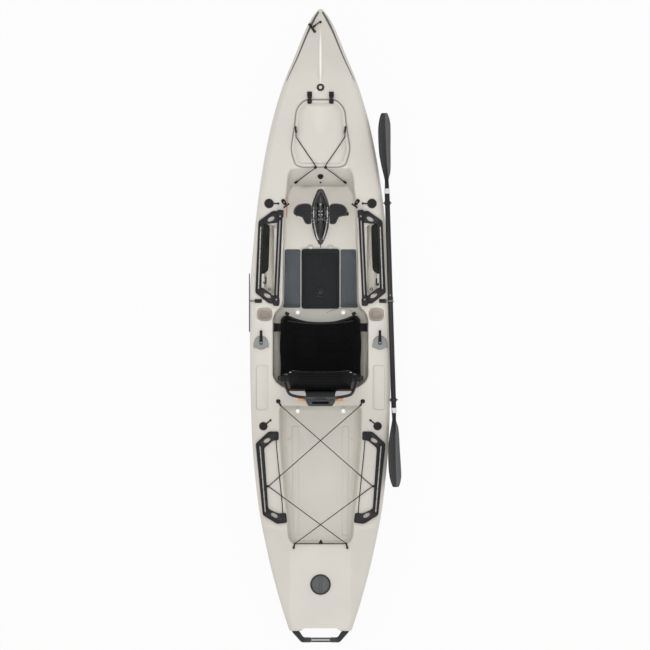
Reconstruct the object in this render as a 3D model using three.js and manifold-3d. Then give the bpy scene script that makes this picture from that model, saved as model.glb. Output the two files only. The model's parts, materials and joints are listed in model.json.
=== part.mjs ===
// A sit-on-top fishing kayak driven by two pedals and a pair of sweeping fins.
// Millimetres. +Z is up, +Y is the bow, +X is starboard. The origin lies on the
// flat of the keel at mid length.
import * as THREE from 'three';
import { mergeVertices } from 'three/addons/utils/BufferGeometryUtils.js';
import Module from 'manifold-3d';

const wasm = await Module();
wasm.setup();

// Driving dimensions
const overallLength = 3886;
const handleReach = 64;
const beam = 866;
const hullDepth = 300;
const hullWall = 5;
const gunwaleRound = 13;
const keelFlatHalf = 45;
const clearance = 0.3;
// How far pieces that are joined sink into each other, and how far a cut runs past a face.
const bite = 1;
const overrun = 6;
const roundSides = 12;
const smallSides = 8;
const cordSides = 6;

const hullLength = overallLength - handleReach;
const sternY = handleReach - overallLength / 2;
const bowY = overallLength / 2;

// Shapes of the hull, each as [share of the hull's length from the stern, share of the size it scales]
const beamShares = [[0, 0.44], [0.05, 0.58], [0.12, 0.74], [0.21, 0.89], [0.32, 0.975], [0.44, 1],
  [0.54, 1], [0.63, 0.945], [0.72, 0.852], [0.8, 0.725], [0.87, 0.555], [0.93, 0.345], [0.98, 0.155],
  [1, 0.03]];
const deckShares = [[0, 0.97], [0.14, 0.97], [0.25, 1], [0.74, 1], [0.87, 1.115], [1, 1.29]];
const keelShares = [[0, 0.36], [0.06, 0.2], [0.14, 0.07], [0.24, 0], [0.72, 0], [0.82, 0.03], [0.9, 0.11],
  [0.95, 0.24], [0.98, 0.42], [1, 0.72]];
const fullnessShares = [[0, 0.6], [0.3, 0.5], [0.65, 0.52], [0.85, 0.8], [1, 1]];
const crownShares = [[0, 0], [0.87, 0], [0.93, 1], [1, 0.4]];
// Rise of the bow's crown, and its fall outwards as shares of the half width and of the rise.
const bowCrown = 20;
const ridgeShares = { out: 0.45, rise: 0.45, end: 0.85 };
const edgeShare = 0.3;
const slopeShares = [0.74, 0.87];
// Solid plastic left at each end, in wall thicknesses.
const solidEnds = { bow: 12, stern: 2, clear: 3 };
const stationShares = [0, 0.04, 0.09, 0.14, 0.19, 0.25, 0.34, 0.44, 0.54, 0.62, 0.68, 0.72, 0.74, 0.8, 0.84,
  0.87, 0.9, 0.93, 0.955, 0.98, 1];

const outerSteps = 6;
const innerSteps = 3;

// Small solid tools

// Six times the volume that triangles enclose, negative where they face inwards.
function enclosed(position, corners) {
  const [a, b, c] = [0, 1, 2].map(() => new THREE.Vector3());
  let sum = 0;
  for (let i = 0; i < corners.length; i += 3) {
    [a, b, c].forEach((corner, n) => corner.fromBufferAttribute(position, corners[i + n]));
    sum += a.dot(b.cross(c));
  }
  return sum;
}

// A closed geometry becomes a solid, facing outwards, that can be joined and cut.
function solid(geometry) {
  const bare = geometry.clone();
  for (const name of Object.keys(bare.attributes)) {
    if (name !== 'position') bare.deleteAttribute(name);
  }
  const merged = mergeVertices(bare);
  const corners = [];
  for (let i = 0; i < merged.index.count; i += 3) {
    const [a, b, c] = [0, 1, 2].map((n) => merged.index.getX(i + n));
    if (a !== b && b !== c && c !== a) corners.push(a, b, c);
  }
  if (enclosed(merged.attributes.position, corners) < 0) corners.reverse();
  return new wasm.Manifold(new wasm.Mesh({
    numProp: 3, vertProperties: merged.attributes.position.array, triVerts: new Uint32Array(corners),
  }));
}

const box = (width, depth, height) => solid(new THREE.BoxGeometry(width, depth, height));

// A round bar along Z, centred on the origin.
function rod(radius, height, sides = roundSides, topRadius = radius) {
  return solid(new THREE.CylinderGeometry(topRadius, radius, height, sides)).rotate([90, 0, 0]);
}
const rodX = (radius, length, sides) => rod(radius, length, sides).rotate([0, 90, 0]);
const rodY = (radius, length, sides) => rod(radius, length, sides).rotate([90, 0, 0]);

// The hole a many-sided bar can turn in: its flats stay a clearance off the bar's corners.
const boreFor = (radius, sides = roundSides) => (radius + clearance) / Math.cos(Math.PI / sides);

// Rings of points with equal counts, joined by strips and closed at both ends.
function loft(given, flatten) {
  const clockwise = THREE.ShapeUtils.isClockWise(given[0].map(flatten));
  const rings = clockwise ? given.map((ring) => [...ring].reverse()) : given;
  const count = rings[0].length;
  const corners = [];
  for (let r = 0; r + 1 < rings.length; r += 1) {
    for (let i = 0; i < count; i += 1) {
      const j = (i + 1) % count;
      const [a, b, c, d] = [r * count + i, r * count + j, (r + 1) * count + j, (r + 1) * count + i];
      corners.push(a, b, c, a, c, d);
    }
  }
  const last = (rings.length - 1) * count;
  for (const [a, b, c] of THREE.ShapeUtils.triangulateShape(rings[0].map(flatten), [])) corners.push(a, c, b);
  for (const [a, b, c] of THREE.ShapeUtils.triangulateShape(rings.at(-1).map(flatten), [])) {
    corners.push(last + a, last + b, last + c);
  }
  const geometry = new THREE.BufferGeometry();
  geometry.setAttribute('position', new THREE.Float32BufferAttribute(rings.flat()
    .flatMap((p) => p.toArray()), 3));
  geometry.setIndex(corners);
  return solid(geometry);
}

// Corner points turned anticlockwise.
function anticlockwise(points) {
  const turned = points.map(([x, y]) => new THREE.Vector2(x, y));
  return THREE.ShapeUtils.isClockWise(turned) ? turned.reverse() : turned;
}

// An outline moved inwards by a distance, each corner along its own mitre.
function inset(points, distance) {
  return points.map((p, i) => {
    const before = points[(i + points.length - 1) % points.length];
    const after = points[(i + 1) % points.length];
    const a = p.clone().sub(before).normalize();
    const b = after.clone().sub(p).normalize();
    const mitre = new THREE.Vector2(-a.y - b.y, a.x + b.x);
    return p.clone().addScaledVector(mitre, distance / (1 + a.dot(b)));
  });
}

// Each corner of an outline becomes an arc of two or three points that is tangent to its sides.
function rounded(points, radius, steps = 2) {
  return points.flatMap((p, i) => {
    const before = points[(i + points.length - 1) % points.length];
    const after = points[(i + 1) % points.length];
    const a = before.clone().sub(p);
    const b = after.clone().sub(p);
    const reach = Math.min(radius, a.length() * 0.45, b.length() * 0.45);
    const start = p.clone().addScaledVector(a.normalize(), reach);
    const end = p.clone().addScaledVector(b.normalize(), reach);
    return new THREE.QuadraticBezierCurve(start, p, end).getPoints(steps);
  });
}

const mirrored = (points) => [...points, ...points.map(([x, y]) => [-x, y]).reverse()];

// A body between outlines with equal counts: each level is [outline, distance inwards, height].
function lofted(levels, radius, steps) {
  const ring = ([points, inwards, z]) => rounded(inset(anticlockwise(points), inwards), radius, steps)
    .map((p) => new THREE.Vector3(p.x, p.y, z));
  return loft(levels.map(ring), (p) => new THREE.Vector2(p.x, p.y));
}

// A body of one outline at several levels, each [distance inwards, height].
function stack(points, radius, levels, steps = 2) {
  return lofted(levels.map(([inwards, z]) => [points, inwards, z]), radius, steps);
}

// A round bar along a smooth or cornered path.
function tube(points, radius, steps, sides = smallSides) {
  const path = new THREE.CatmullRomCurve3(points.map((p) => new THREE.Vector3(...p)));
  const circle = new THREE.Path().absarc(0, 0, radius, 0, Math.PI * 2).getPoints(sides / 2);
  const section = new THREE.Shape(circle.slice(0, -1));
  return solid(new THREE.ExtrudeGeometry(section, { steps, extrudePath: path, bevelEnabled: false }));
}

const joined = (solids) => solids.reduce((a, b) => a.add(b));
const bothSides = (piece) => joined([piece, piece.mirror([1, 0, 0])]);

const group = new THREE.Group();
group.name = 'pedal_kayak';

function addNode(name, body, material) {
  const made = body.getMesh();
  const geometry = new THREE.BufferGeometry();
  geometry.setAttribute('position', new THREE.BufferAttribute(made.vertProperties, 3));
  geometry.setIndex(new THREE.BufferAttribute(made.triVerts, 1));
  geometry.computeVertexNormals();
  const mesh = new THREE.Mesh(geometry, material);
  mesh.name = name;
  group.add(mesh);
}

// The same piece on both sides of the boat.
function addPair(name, starboard, material) {
  addNode(`${name}_starboard`, starboard, material);
  addNode(`${name}_port`, starboard.mirror([1, 0, 0]), material);
}

function finish(color, roughness, metalness = 0) {
  return new THREE.MeshStandardMaterial({ color, roughness, metalness });
}
const hullPlastic = finish(0xd4cfc8, 0.45);
const blackPlastic = finish(0x1e1c1c, 0.5);
const railPlastic = finish(0x342d2f, 0.6);
const greyRubber = finish(0x54585c, 0.9);
const lidPlastic = finish(0x26292d, 0.6);
const aluminium = finish(0x86898c, 0.35, 0.9);
const steel = finish(0xb9bcc0, 0.25, 1);
const fabric = finish(0x17181a, 0.95);
const cordBlack = finish(0x161616, 0.9);
const gripGrey = finish(0xafb0b2, 0.6);
const discGrey = finish(0x949693, 0.55);
const finRubber = finish(0x2a2c2f, 0.7);
const bladeNylon = finish(0x323335, 0.5);

// Interpolation along the hull

// A smooth curve that never overshoots its table, by limited slopes at each entry.
function along(shares, place) {
  const slope = (n) => (shares[n + 1][1] - shares[n][1]) / (shares[n + 1][0] - shares[n][0]);
  const tangent = (n) => {
    if (n === 0) return slope(0);
    if (n === shares.length - 1) return slope(n - 1);
    const [before, after] = [slope(n - 1), slope(n)];
    return before * after <= 0 ? 0 : (2 * before * after) / (before + after);
  };
  const i = Math.max(0, Math.min(shares.length - 2, shares.findIndex(([at]) => at >= place) - 1));
  const [[from, low], [to, high]] = [shares[i], shares[i + 1]];
  const t = (place - from) / (to - from);
  const u = 1 - t;
  return low * (1 + 2 * t) * u * u + high * t * t * (3 - 2 * t)
    + (to - from) * (tangent(i) * t * u * u - tangent(i + 1) * t * t * u);
}

function straight(shares, place) {
  const i = Math.max(0, Math.min(shares.length - 2, shares.findIndex(([at]) => at >= place) - 1));
  const [[from, low], [to, high]] = [shares[i], shares[i + 1]];
  return low + ((high - low) * (place - from)) / (to - from);
}

const placeY = (share) => sternY + share * hullLength;
const shareAt = (y) => (y - sternY) / hullLength;
const halfBeamAt = (y) => (beam / 2) * along(beamShares, shareAt(y));
const deckAt = (y) => hullDepth * straight(deckShares, shareAt(y));
const keelAt = (y) => hullDepth * along(keelShares, shareAt(y));

// One cross-section of the hull, grown outwards or, if negative, drawn in.
function hullRing(share, grow, bottomSteps) {
  const y = placeY(share);
  const half = halfBeamAt(y) + grow;
  const keel = keelAt(y) - grow;
  const deck = deckAt(y) + grow;
  const edge = Math.min(gunwaleRound, half / 2);
  const side = deck - edge;
  const flat = Math.min(keelFlatHalf, half / 3);
  const power = along(fullnessShares, share);
  const crown = bowCrown * along(crownShares, share);
  const right = [[flat, keel]];
  for (let i = 1; i <= bottomSteps; i += 1) {
    const t = (i / bottomSteps) * (Math.PI / 2);
    const across = flat + (half - flat) * Math.sin(t) ** power;
    right.push([across, side - (side - keel) * Math.max(0, Math.cos(t)) ** power]);
  }
  right.push([half - edge * edgeShare, deck - edge * edgeShare], [half - edge, deck]);
  right.push([half * ridgeShares.out, deck + crown * ridgeShares.rise]);
  const left = right.map(([x, z]) => [-x, z]).reverse();
  return [...right, [0, deck + crown], ...left].map(([x, z]) => new THREE.Vector3(x, y, z));
}

function hullForm(grow, shares, bottomSteps) {
  return loft(shares.map((share) => hullRing(share, grow, bottomSteps)), (p) => new THREE.Vector2(p.x, p.z));
}

// Sizes of what is moulded into the hull. Each draft is sideways lean per unit of depth.
const moulding = { draft: 0.1, corner: 36 };
const cockpit = {
  half: 228, halfY: 700, flareY: 125, seatY: 60, seatHalf: 293, aft: -440, floor: 115, draft: 0.03,
};
// The cockpit's front wall is a bulkhead that slopes up from its foot to the rim behind the bow hatch.
const bulkhead = {
  foot: { fore: 862, z: 205, half: 180, kneeY: 829, kneeHalf: 197, shoulderY: 800, shoulderHalf: 208 },
  rim: { fore: 966, z: hullDepth, half: 180, kneeY: 929, kneeHalf: 199, shoulderY: 806, shoulderHalf: 210 },
};
const bulkheadRise = (bulkhead.rim.z - bulkhead.foot.z) / (bulkhead.rim.fore - bulkhead.foot.fore);
const bulkheadDegrees = THREE.MathUtils.radToDeg(Math.atan(bulkheadRise));
const bulkheadAt = (y) => bulkhead.foot.z + bulkheadRise * (y - bulkhead.foot.fore);
const cargo = {
  fore: -495, half: 250, shoulderLength: 220, aftHalf: 200, tailLength: 38, tailHalf: 172,
  clearOfStern: 531, floor: 175,
};
cargo.aft = sternY + cargo.clearOfStern;
const tray = { fore: 618, aft: 192, inner: 286, outer: 346, floor: 240 };
const cup = { x: 343, y: 67, width: 92, length: 80, floor: 232, corner: 24 };
const panel = { inner: 322, outer: 396, fore: -245, aft: -521, depth: 9, corner: 22 };
const frontTube = { x: 316, y: 748, radius: 22, bottom: 130 };
const rearTube = { x: 351, y: -620, radius: 19, bottom: 140 };
const scupper = { x: 140, foreY: 78, aftY: -527, radius: 12.5 };
const well = { fore: 832, foreHalf: 12, foreShoulderY: 792, foreShoulderHalf: 30, half: 48, foreY: 740,
  aftY: 625, aftShoulderHalf: 30, aftShoulderY: 560, aftHalf: 8, aft: 500, corner: 14 };
const bucket = { half: 100, fore: 452, aft: 118, depth: 92, wall: 2.5, flange: 15, corner: 24 };
const sternPort = { y: sternY + 286, opening: 50, radius: 63 };
const portSides = 20;
const mastStep = { ahead: 78, radius: 15, ringRadius: 23.5, bottom: 120 };
const notch = { mouthHalf: 123, baseHalf: 98, depth: 17 };
const rudderPost = { y: sternY + 134, radius: 12, top: hullDepth - 105 };
const leverPost = { x: 365, y: -107, radius: 8, depth: 24 };

// The forward deck, where the bow hatch lies, slopes evenly between two stations.
const [slopeStart, slopeEnd] = slopeShares.map(placeY);
const slopeDegrees = THREE.MathUtils.radToDeg(
  Math.atan2(deckAt(slopeEnd) - deckAt(slopeStart), slopeEnd - slopeStart));
const onBowDeck = (piece) => piece.rotate([slopeDegrees, 0, 0])
  .translate([0, slopeStart, deckAt(slopeStart)]);

const toggle = { x: -52, y: bowY - 117, holeY: bowY - 80, radius: 8, length: 70, turn: 36,
  reach: [26, 22, 2], stalk: 5, cord: 3, depth: 14, steps: 6 };
const bowHole = 4;

// Height of the deck at any point, with the bow's crown.
function topAt(x, y) {
  const half = halfBeamAt(y);
  const crown = bowCrown * along(crownShares, shareAt(y));
  const across = Math.abs(x) / half;
  const { out, rise, end } = ridgeShares;
  const share = across < out ? 1 - ((1 - rise) * across) / out : rise * (1 - (across - out) / (end - out));
  return deckAt(y) + crown * Math.max(0, share);
}

// The bow hatch lies on the slope of the forward deck. Its outline is its half widths and where each
// comes, as a share of its length from aft.
const hatchEnds = { aft: 0.052, fore: 0.875 };
const hatchShares = [0, 0.037, 0.264, 0.579, 0.866, 1];
const hatch = { halves: [118, 152, 180, 157, 145, 97], corner: 22, lip: 30 };
hatch.aft = slopeStart + hatchEnds.aft * (slopeEnd - slopeStart);
hatch.fore = slopeStart + hatchEnds.fore * (slopeEnd - slopeStart);
mastStep.y = hatch.fore + mastStep.ahead;
const hatchAt = (share) => hatch.aft + share * (hatch.fore - hatch.aft);
const hatchOutline = mirrored(hatch.halves.map((half, i) => [half, hatchAt(hatchShares[i]) - slopeStart]));
const wellOutline = mirrored([[well.foreHalf, well.fore], [well.foreShoulderHalf, well.foreShoulderY],
  [well.half, well.foreY], [well.half, well.aftY], [well.aftShoulderHalf, well.aftShoulderY],
  [well.aftHalf, well.aft]]);
const bucketOutline = mirrored([[bucket.half, bucket.fore], [bucket.half, bucket.aft]]);

// A moulded recess open to the deck. The grown copy is the plastic around it.
function recess(points, floor, top, grow, corner = moulding.corner, draft = moulding.draft, steps = 1) {
  return stack(points, corner, [[draft * (top - floor) - grow, floor - grow], [-grow, top]], steps);
}

// The cockpit's outline at one height, with the ends of its bulkhead as they are there.
function cockpitOutline({ fore, half, kneeY, kneeHalf, shoulderY, shoulderHalf }) {
  return mirrored([[half, fore], [kneeHalf, kneeY], [shoulderHalf, shoulderY], [cockpit.half, cockpit.halfY],
    [cockpit.half, cockpit.flareY], [cockpit.seatHalf, cockpit.seatY], [cockpit.seatHalf, cockpit.aft]]);
}

function hullCuts(grow) {
  const deck = hullDepth;
  const over = deck + (grow ? 0 : overrun);
  const rect = (inner, outer, fore, aft) => [[inner, fore], [outer, fore], [outer, aft], [inner, aft]];
  const centred = [
    lofted([
      [cockpitOutline(bulkhead.foot), cockpit.draft * (over - cockpit.floor) - grow, cockpit.floor - grow],
      [cockpitOutline(bulkhead.foot), -grow, bulkhead.foot.z - grow],
      [cockpitOutline(bulkhead.rim), -grow, bulkhead.rim.z],
      ...(grow ? [] : [[cockpitOutline(bulkhead.rim), 0, over]]),
    ], moulding.corner, 2),
    recess(mirrored([[cargo.half, cargo.fore], [cargo.half, cargo.fore - cargo.shoulderLength],
      [cargo.aftHalf, cargo.aft + cargo.tailLength], [cargo.tailHalf, cargo.aft]]), cargo.floor, over, grow),
    stack(wellOutline, well.corner, [[-grow, grow - overrun], [-grow, cockpit.floor + overrun - grow]], 1),
    rod(mastStep.radius + grow, 2 * hullDepth).translate([0, mastStep.y, mastStep.bottom - grow + hullDepth]),
    rod(boreFor(rudderPost.radius) + grow, rudderPost.top + 2 * grow)
      .translate([0, rudderPost.y, rudderPost.top / 2]),
    stack(mirrored([[notch.baseHalf, sternY + notch.depth], [notch.mouthHalf, sternY],
      [notch.mouthHalf, sternY - overrun]]), clearance, [[-grow, -overrun], [-grow, deck + overrun]]),
  ];
  const paired = [
    recess(rect(tray.inner, tray.outer, tray.fore, tray.aft), tray.floor, over, grow, moulding.corner / 2),
    recess(rect(cup.x - cup.width / 2, cup.x + cup.width / 2, cup.y + cup.length / 2, cup.y - cup.length / 2),
      cup.floor, over, grow, cup.corner),
    recess(rect(panel.inner, panel.outer, panel.fore, panel.aft), deck - panel.depth, over, grow,
      panel.corner),
    ...[frontTube, rearTube].map(({ x, y, radius, bottom }) => rod(radius + grow, over - bottom + grow)
      .translate([x, y, (over + bottom - grow) / 2])),
    ...[scupper.foreY, scupper.aftY].map((y) => rod(scupper.radius + grow, 2 * cargo.floor)
      .translate([scupper.x, y, 0])),
    rod(boreFor(leverPost.radius) + grow, leverPost.depth + (grow || overrun))
      .translate([leverPost.x, leverPost.y, deck - leverPost.depth / 2 + (grow ? -grow / 2 : overrun / 2)]),
  ];
  return joined([...centred, ...paired.map(bothSides)]);
}

function makeHull() {
  const outer = hullForm(0, stationShares, outerSteps);
  const tip = hullWall / hullLength;
  const [from, to] = [solidEnds.stern * tip, 1 - solidEnds.bow * tip];
  const between = stationShares.filter((share) => share > solidEnds.clear * tip && share < to);
  const inner = hullForm(-hullWall, [from, ...between, to], innerSteps);
  const plastic = outer.subtract(inner).add(hullCuts(hullWall).intersect(outer));
  const openings = joined([
    hullCuts(0),
    onBowDeck(stack(hatchOutline, hatch.corner, [[hatch.lip, -2 * overrun], [hatch.lip, overrun]], 1)),
    stack(bucketOutline, bucket.corner, [[0, cockpit.floor - 2 * hullWall], [0, cockpit.floor + overrun]], 1),
    rod(sternPort.opening, 2 * hullWall + 2 * overrun, portSides)
      .translate([0, sternPort.y, deckAt(sternPort.y)]),
  ]);
  return plastic.subtract(openings);
}

const hull = makeHull().subtract(rod(bowHole, 4 * overrun).translate([0, toggle.holeY,
  topAt(0, toggle.holeY)]));
addNode('hull', hull, hullPlastic);

// A piece that rests on the curved deck or side is trimmed to it, a clearance away.
const skin = hullForm(clearance, stationShares, outerSteps);
const seated = (piece) => piece.subtract(skin);

// A pin held between two cheeks over a base, pin along X at the origin.
function fork({ pin, cheek, slot, radius, height, base, reach }) {
  const side = box(cheek, 2 * radius, height).translate([0, 0, -height / 2])
    .add(rodX(radius, cheek, smallSides));
  return joined([
    side.translate([(slot + cheek) / 2, 0, 0]),
    side.translate([-(slot + cheek) / 2, 0, 0]),
    box(slot + 2 * cheek, reach, base).translate([0, reach / 2 - radius, base / 2 - height]),
    rodX(pin, slot + 2 * cheek, smallSides),
  ]);
}

// The eye that turns on that pin, with an arm towards -Y.
function eye({ pin, slot, radius }, arm) {
  const width = slot - 2 * clearance;
  const outer = radius - clearance;
  return rodX(outer, width, smallSides).add(box(width, arm, 1.5 * outer).translate([0, -arm / 2, 0]))
    .subtract(rodX(boreFor(pin, smallSides), slot, smallSides));
}

// Bow hatch: a domed lid on a rubber seal, hinged at its front edge
const hatchHinge = { pin: 4, cheek: 6, slot: 16, radius: 9, height: 15, base: 4, reach: 40, x: 67,
  y: hatch.fore + 21 };
const hatchSeal = { inset: 9, width: 11, height: 4 };
const lidRim = { thick: 8, shoulder: 5, panelInset: 32, panelSlope: 9, panelRise: 8, hollowInset: 24,
  hollow: 9 };
const lidBase = clearance * 2 + hatchSeal.height;
const lidTop = lidBase + lidRim.thick + lidRim.shoulder;
const panelTop = lidTop + lidRim.panelRise;
{
  const { inset: gasket, width, height } = hatchSeal;
  const seal = stack(hatchOutline, hatch.corner, [[gasket, clearance], [gasket, clearance + height]], 1)
    .subtract(stack(hatchOutline, hatch.corner, [[gasket + width, -overrun],
      [gasket + width, height + overrun]], 1));
  addNode('bow_hatch_seal', onBowDeck(seal), blackPlastic);
  const eyeAt = [hatchHinge.x, hatchHinge.y - slopeStart, hatchHinge.height + clearance];
  const arm = hatchHinge.y - hatch.fore + hullWall;
  const lid = stack(hatchOutline, hatch.corner, [[0, lidBase], [0, lidBase + lidRim.thick],
    [lidRim.shoulder, lidTop], [lidRim.panelInset, lidTop],
      [lidRim.panelInset + lidRim.panelSlope, panelTop]])
    .subtract(stack(hatchOutline, hatch.corner, [[lidRim.hollowInset, -overrun],
      [lidRim.hollowInset, lidBase + lidRim.hollow]], 1))
    .add(bothSides(eye(hatchHinge, arm).translate(eyeAt)));
  addNode('bow_hatch_lid', onBowDeck(lid), hullPlastic);
  addPair('bow_hatch_hinge', onBowDeck(fork(hatchHinge).translate(eyeAt)), blackPlastic);
}

// Elastic cords that hold the hatch down: from an eye on the lid, over a ball, to a hook on the bulkhead
const hold = { radius: 3, eyeX: 146, eyeY: hatchAt(0.5624), ballX: 31, ballY: hatch.aft - 3, ball: 9,
  ballSides: 8, hookX: 150, hookY: hatch.aft - 94, hookWidth: 24, hookLength: 11, hookHeight: 9,
  hookTurn: -40, hookLift: 3, eyeSize: 14, steps: 9 };
const onBulkhead = (piece, x, y) => piece.rotate([bulkheadDegrees, 0, 0]).translate([x, y, bulkheadAt(y)]);
{
  const over = panelTop + hold.radius + clearance * 2;
  const across = new THREE.Vector3(1, 0, 0);
  const onLid = (x, y, z) => new THREE.Vector3(x, y - slopeStart, z)
    .applyAxisAngle(across, THREE.MathUtils.degToRad(slopeDegrees))
    .add(new THREE.Vector3(0, slopeStart, deckAt(slopeStart))).toArray();
  const ball = onLid(hold.ballX, hold.ballY, over);
  const hook = [hold.hookX, hold.hookY, bulkheadAt(hold.hookY) + hold.hookHeight + hold.hookLift];
  const cord = tube([
    onLid(hold.eyeX, hold.eyeY, over),
    onLid((hold.eyeX + hold.ballX) / 2, (hold.eyeY + hold.ballY) / 2, over),
    onLid(hold.ballX, hold.ballY + hold.ball, over),
    onLid(hold.ballX + hold.ball, hold.ballY - hold.ball, over - hold.radius),
    ball.map((at, n) => (at + hook[n]) / 2),
    hook,
  ], hold.radius, hold.steps, cordSides);
  const eye = box(hold.eyeSize, hold.eyeSize, over - lidTop - clearance)
    .translate([hold.eyeX, hold.eyeY - slopeStart, (over + lidTop + clearance) / 2]);
  const hooked = box(hold.hookWidth, hold.hookLength, hold.hookHeight).rotate([0, 0, hold.hookTurn])
    .translate([0, 0, hold.hookHeight / 2 + hold.hookLift]);
  addPair('bow_hatch_cord', joined([
    cord,
    onBowDeck(eye),
    solid(new THREE.SphereGeometry(hold.ball, hold.ballSides, hold.ballSides / 2)).translate(ball),
    onBulkhead(hooked, hold.hookX, hold.hookY),
  ]), cordBlack);
}

// Bow fittings: a knob behind the hatch, the plugged mast step and the lifting toggle
const knob = { y: hatch.aft - 58, radius: 18, height: 13, taper: 3 };
const plug = { flange: 8, lift: 2, length: 30, drop: 12, dimpleLift: 6 };
{
  const turned = rod(knob.radius, knob.height, roundSides, knob.radius - knob.taper);
  const raised = turned.translate([0, 0, clearance + knob.height / 2]);
  addNode('deck_knob', onBulkhead(raised, 0, knob.y), blackPlastic);
  const onMast = (piece) => piece.translate([0, mastStep.y, topAt(0, mastStep.y)]);
  const cap = onMast(rod(mastStep.ringRadius, plug.flange).translate([0, 0, plug.lift])).subtract(skin)
    .add(onMast(rod(mastStep.radius - clearance, plug.length).translate([0, 0, -plug.drop])))
    .subtract(onMast(rod(mastStep.radius / 2, overrun).translate([0, 0, plug.dimpleLift])));
  addNode('mast_step_plug', cap, discGrey);
  const { x, y, holeY, radius, length, turn, reach, stalk, cord, depth, steps } = toggle;
  const z = topAt(x, y) + radius;
  const mouth = topAt(0, holeY);
  const bar = rodY(radius, length).rotate([0, 0, turn]).translate([x, y, z]);
  const stalkEnd = [x + reach[0], y + reach[1], z + reach[2]];
  const rope = tube([[0, holeY, mouth - depth], [0, holeY, mouth + cord],
    [-2 * cord, holeY - cord, mouth + 3 * cord],
    stalkEnd], cord, steps, cordSides);
  const stem = (grow) => tube([[x, y, z], stalkEnd], stalk + grow, 1);
  addNode('bow_toggle', seated(bar.add(stem(0)).subtract(rope)), blackPlastic);
  addNode('bow_toggle_cord', rope.subtract(stem(clearance)), cordBlack);
}

// Pedal drive. Two cranks swing fore and aft on one cross shaft; each turns the drum of one
// fin through the spine, so the fins sweep across each other under the keel.
const dock = { wall: 3, flange: 16, thick: 4, bottom: 12 };
const cam = { pin: 3, cheek: 4, slot: 12, radius: 6, height: 9, base: 0.5, reach: 12, y: 690, lever: 58,
  leverThick: 5 };
const dockTop = cockpit.floor + clearance + dock.thick;
const camX = well.half + dock.flange - cam.radius;
{
  const liner = stack(wellOutline, well.corner, [[clearance, dock.bottom], [clearance, dockTop]], 1)
    .add(stack(wellOutline, well.corner, [[-dock.flange, cockpit.floor + clearance],
      [-dock.flange, dockTop]], 1))
    .subtract(stack(wellOutline, well.corner,
      [[clearance + dock.wall, -overrun], [clearance + dock.wall, dockTop + overrun]], 1));
  const hinge = fork(cam).rotate([0, 0, 90]).translate([camX, cam.y, dockTop + cam.height - clearance]);
  addNode('drive_dock', liner.add(bothSides(hinge)), blackPlastic);
  const tab = box(cam.slot - 2 * clearance, cam.lever, cam.leverThick)
    .translate([0, -cam.lever / 2 - cam.radius, 0]);
  const lever = eye(cam, 2 * cam.radius).add(tab).rotate([0, 0, 90]);
  addPair('dock_cam', lever.translate([camX, cam.y, dockTop + cam.height - clearance]), railPlastic);
}

const spine = { plate: 6, overlap: 6, bottom: 8, top: 182, shoulder: 122, fore: 800, foreHalf: 10, half: 21,
  foreY: 745, aftY: 612, aft: 545, aftHalf: 8, corner: 10 };
const drum = { z: -16, radius: 22, axle: 6, length: 100, midY: 675, lug: 12, lugHalf: 19 };
const crank = { y: 690, z: 150, shaft: 9, hub: 24, thick: 12, armX: 42, tube: 8, pedalZ: 358,
  shaftLength: 118, axle: 6.5, steps: 8 };
const slotLength = 2 * drum.length + 3 * clearance;
{
  const gap = clearance + dock.wall + clearance;
  const outline = mirrored([[spine.foreHalf, spine.fore], [spine.half, spine.foreY], [spine.half, spine.aftY],
    [spine.aftHalf, spine.aft]]);
  const plateZ = dockTop + clearance;
  const legs = [1, -1].map((end) => {
    const y = drum.midY + end * (slotLength + drum.lug) / 2;
    const height = spine.bottom - drum.z + spine.plate;
    return box(2 * drum.lugHalf, drum.lug, height).translate([0, y, drum.z + height / 2])
      .add(rodY(drum.lugHalf, drum.lug).translate([0, y, drum.z]));
  });
  const body = joined([
    stack(wellOutline, well.corner, [[gap, spine.bottom], [gap, plateZ + spine.plate / 2]], 1),
    stack(wellOutline, well.corner, [[-spine.overlap, plateZ], [-spine.overlap, plateZ + spine.plate]], 1)
      .subtract(bothSides(box(4 * cam.radius, 6 * cam.radius, 4 * cam.radius)
        .translate([camX, cam.y, plateZ]))),
    stack(outline, spine.corner, [[0, spine.shoulder - spine.plate], [0, crank.z],
      [spine.corner / 2, spine.top]]),
    ...legs,
    rodY(drum.axle, slotLength + drum.lug).translate([0, drum.midY, drum.z]),
    rodX(crank.shaft, 2 * (spine.half + clearance + crank.thick)).translate([0, crank.y, crank.z]),
  ]);
  addNode('drive_spine', body, railPlastic);
}
{
  const { y, z } = crank;
  const hubX = spine.half + clearance + crank.thick / 2;
  const arm = tube([[hubX, y, z], [hubX + bite, y, z + 2 * crank.hub],
    [crank.armX, y, crank.pedalZ - 2 * crank.hub],
    [crank.armX, y, crank.pedalZ + crank.tube]], crank.tube, crank.steps);
  const axle = rodX(crank.axle, crank.shaftLength).translate([crank.armX + crank.shaftLength / 2, y,
    crank.pedalZ]);
  const body = joined([rodX(crank.hub, crank.thick).translate([hubX, y, z]), arm, axle])
    .subtract(rodX(boreFor(crank.shaft), 3 * crank.thick).translate([hubX, y, z]));
  addPair('crank', body.subtract(box(spine.half * 2 + clearance, 4 * crank.hub, spine.top * 2)
    .translate([0, y, z - clearance])), aluminium);
}

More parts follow.
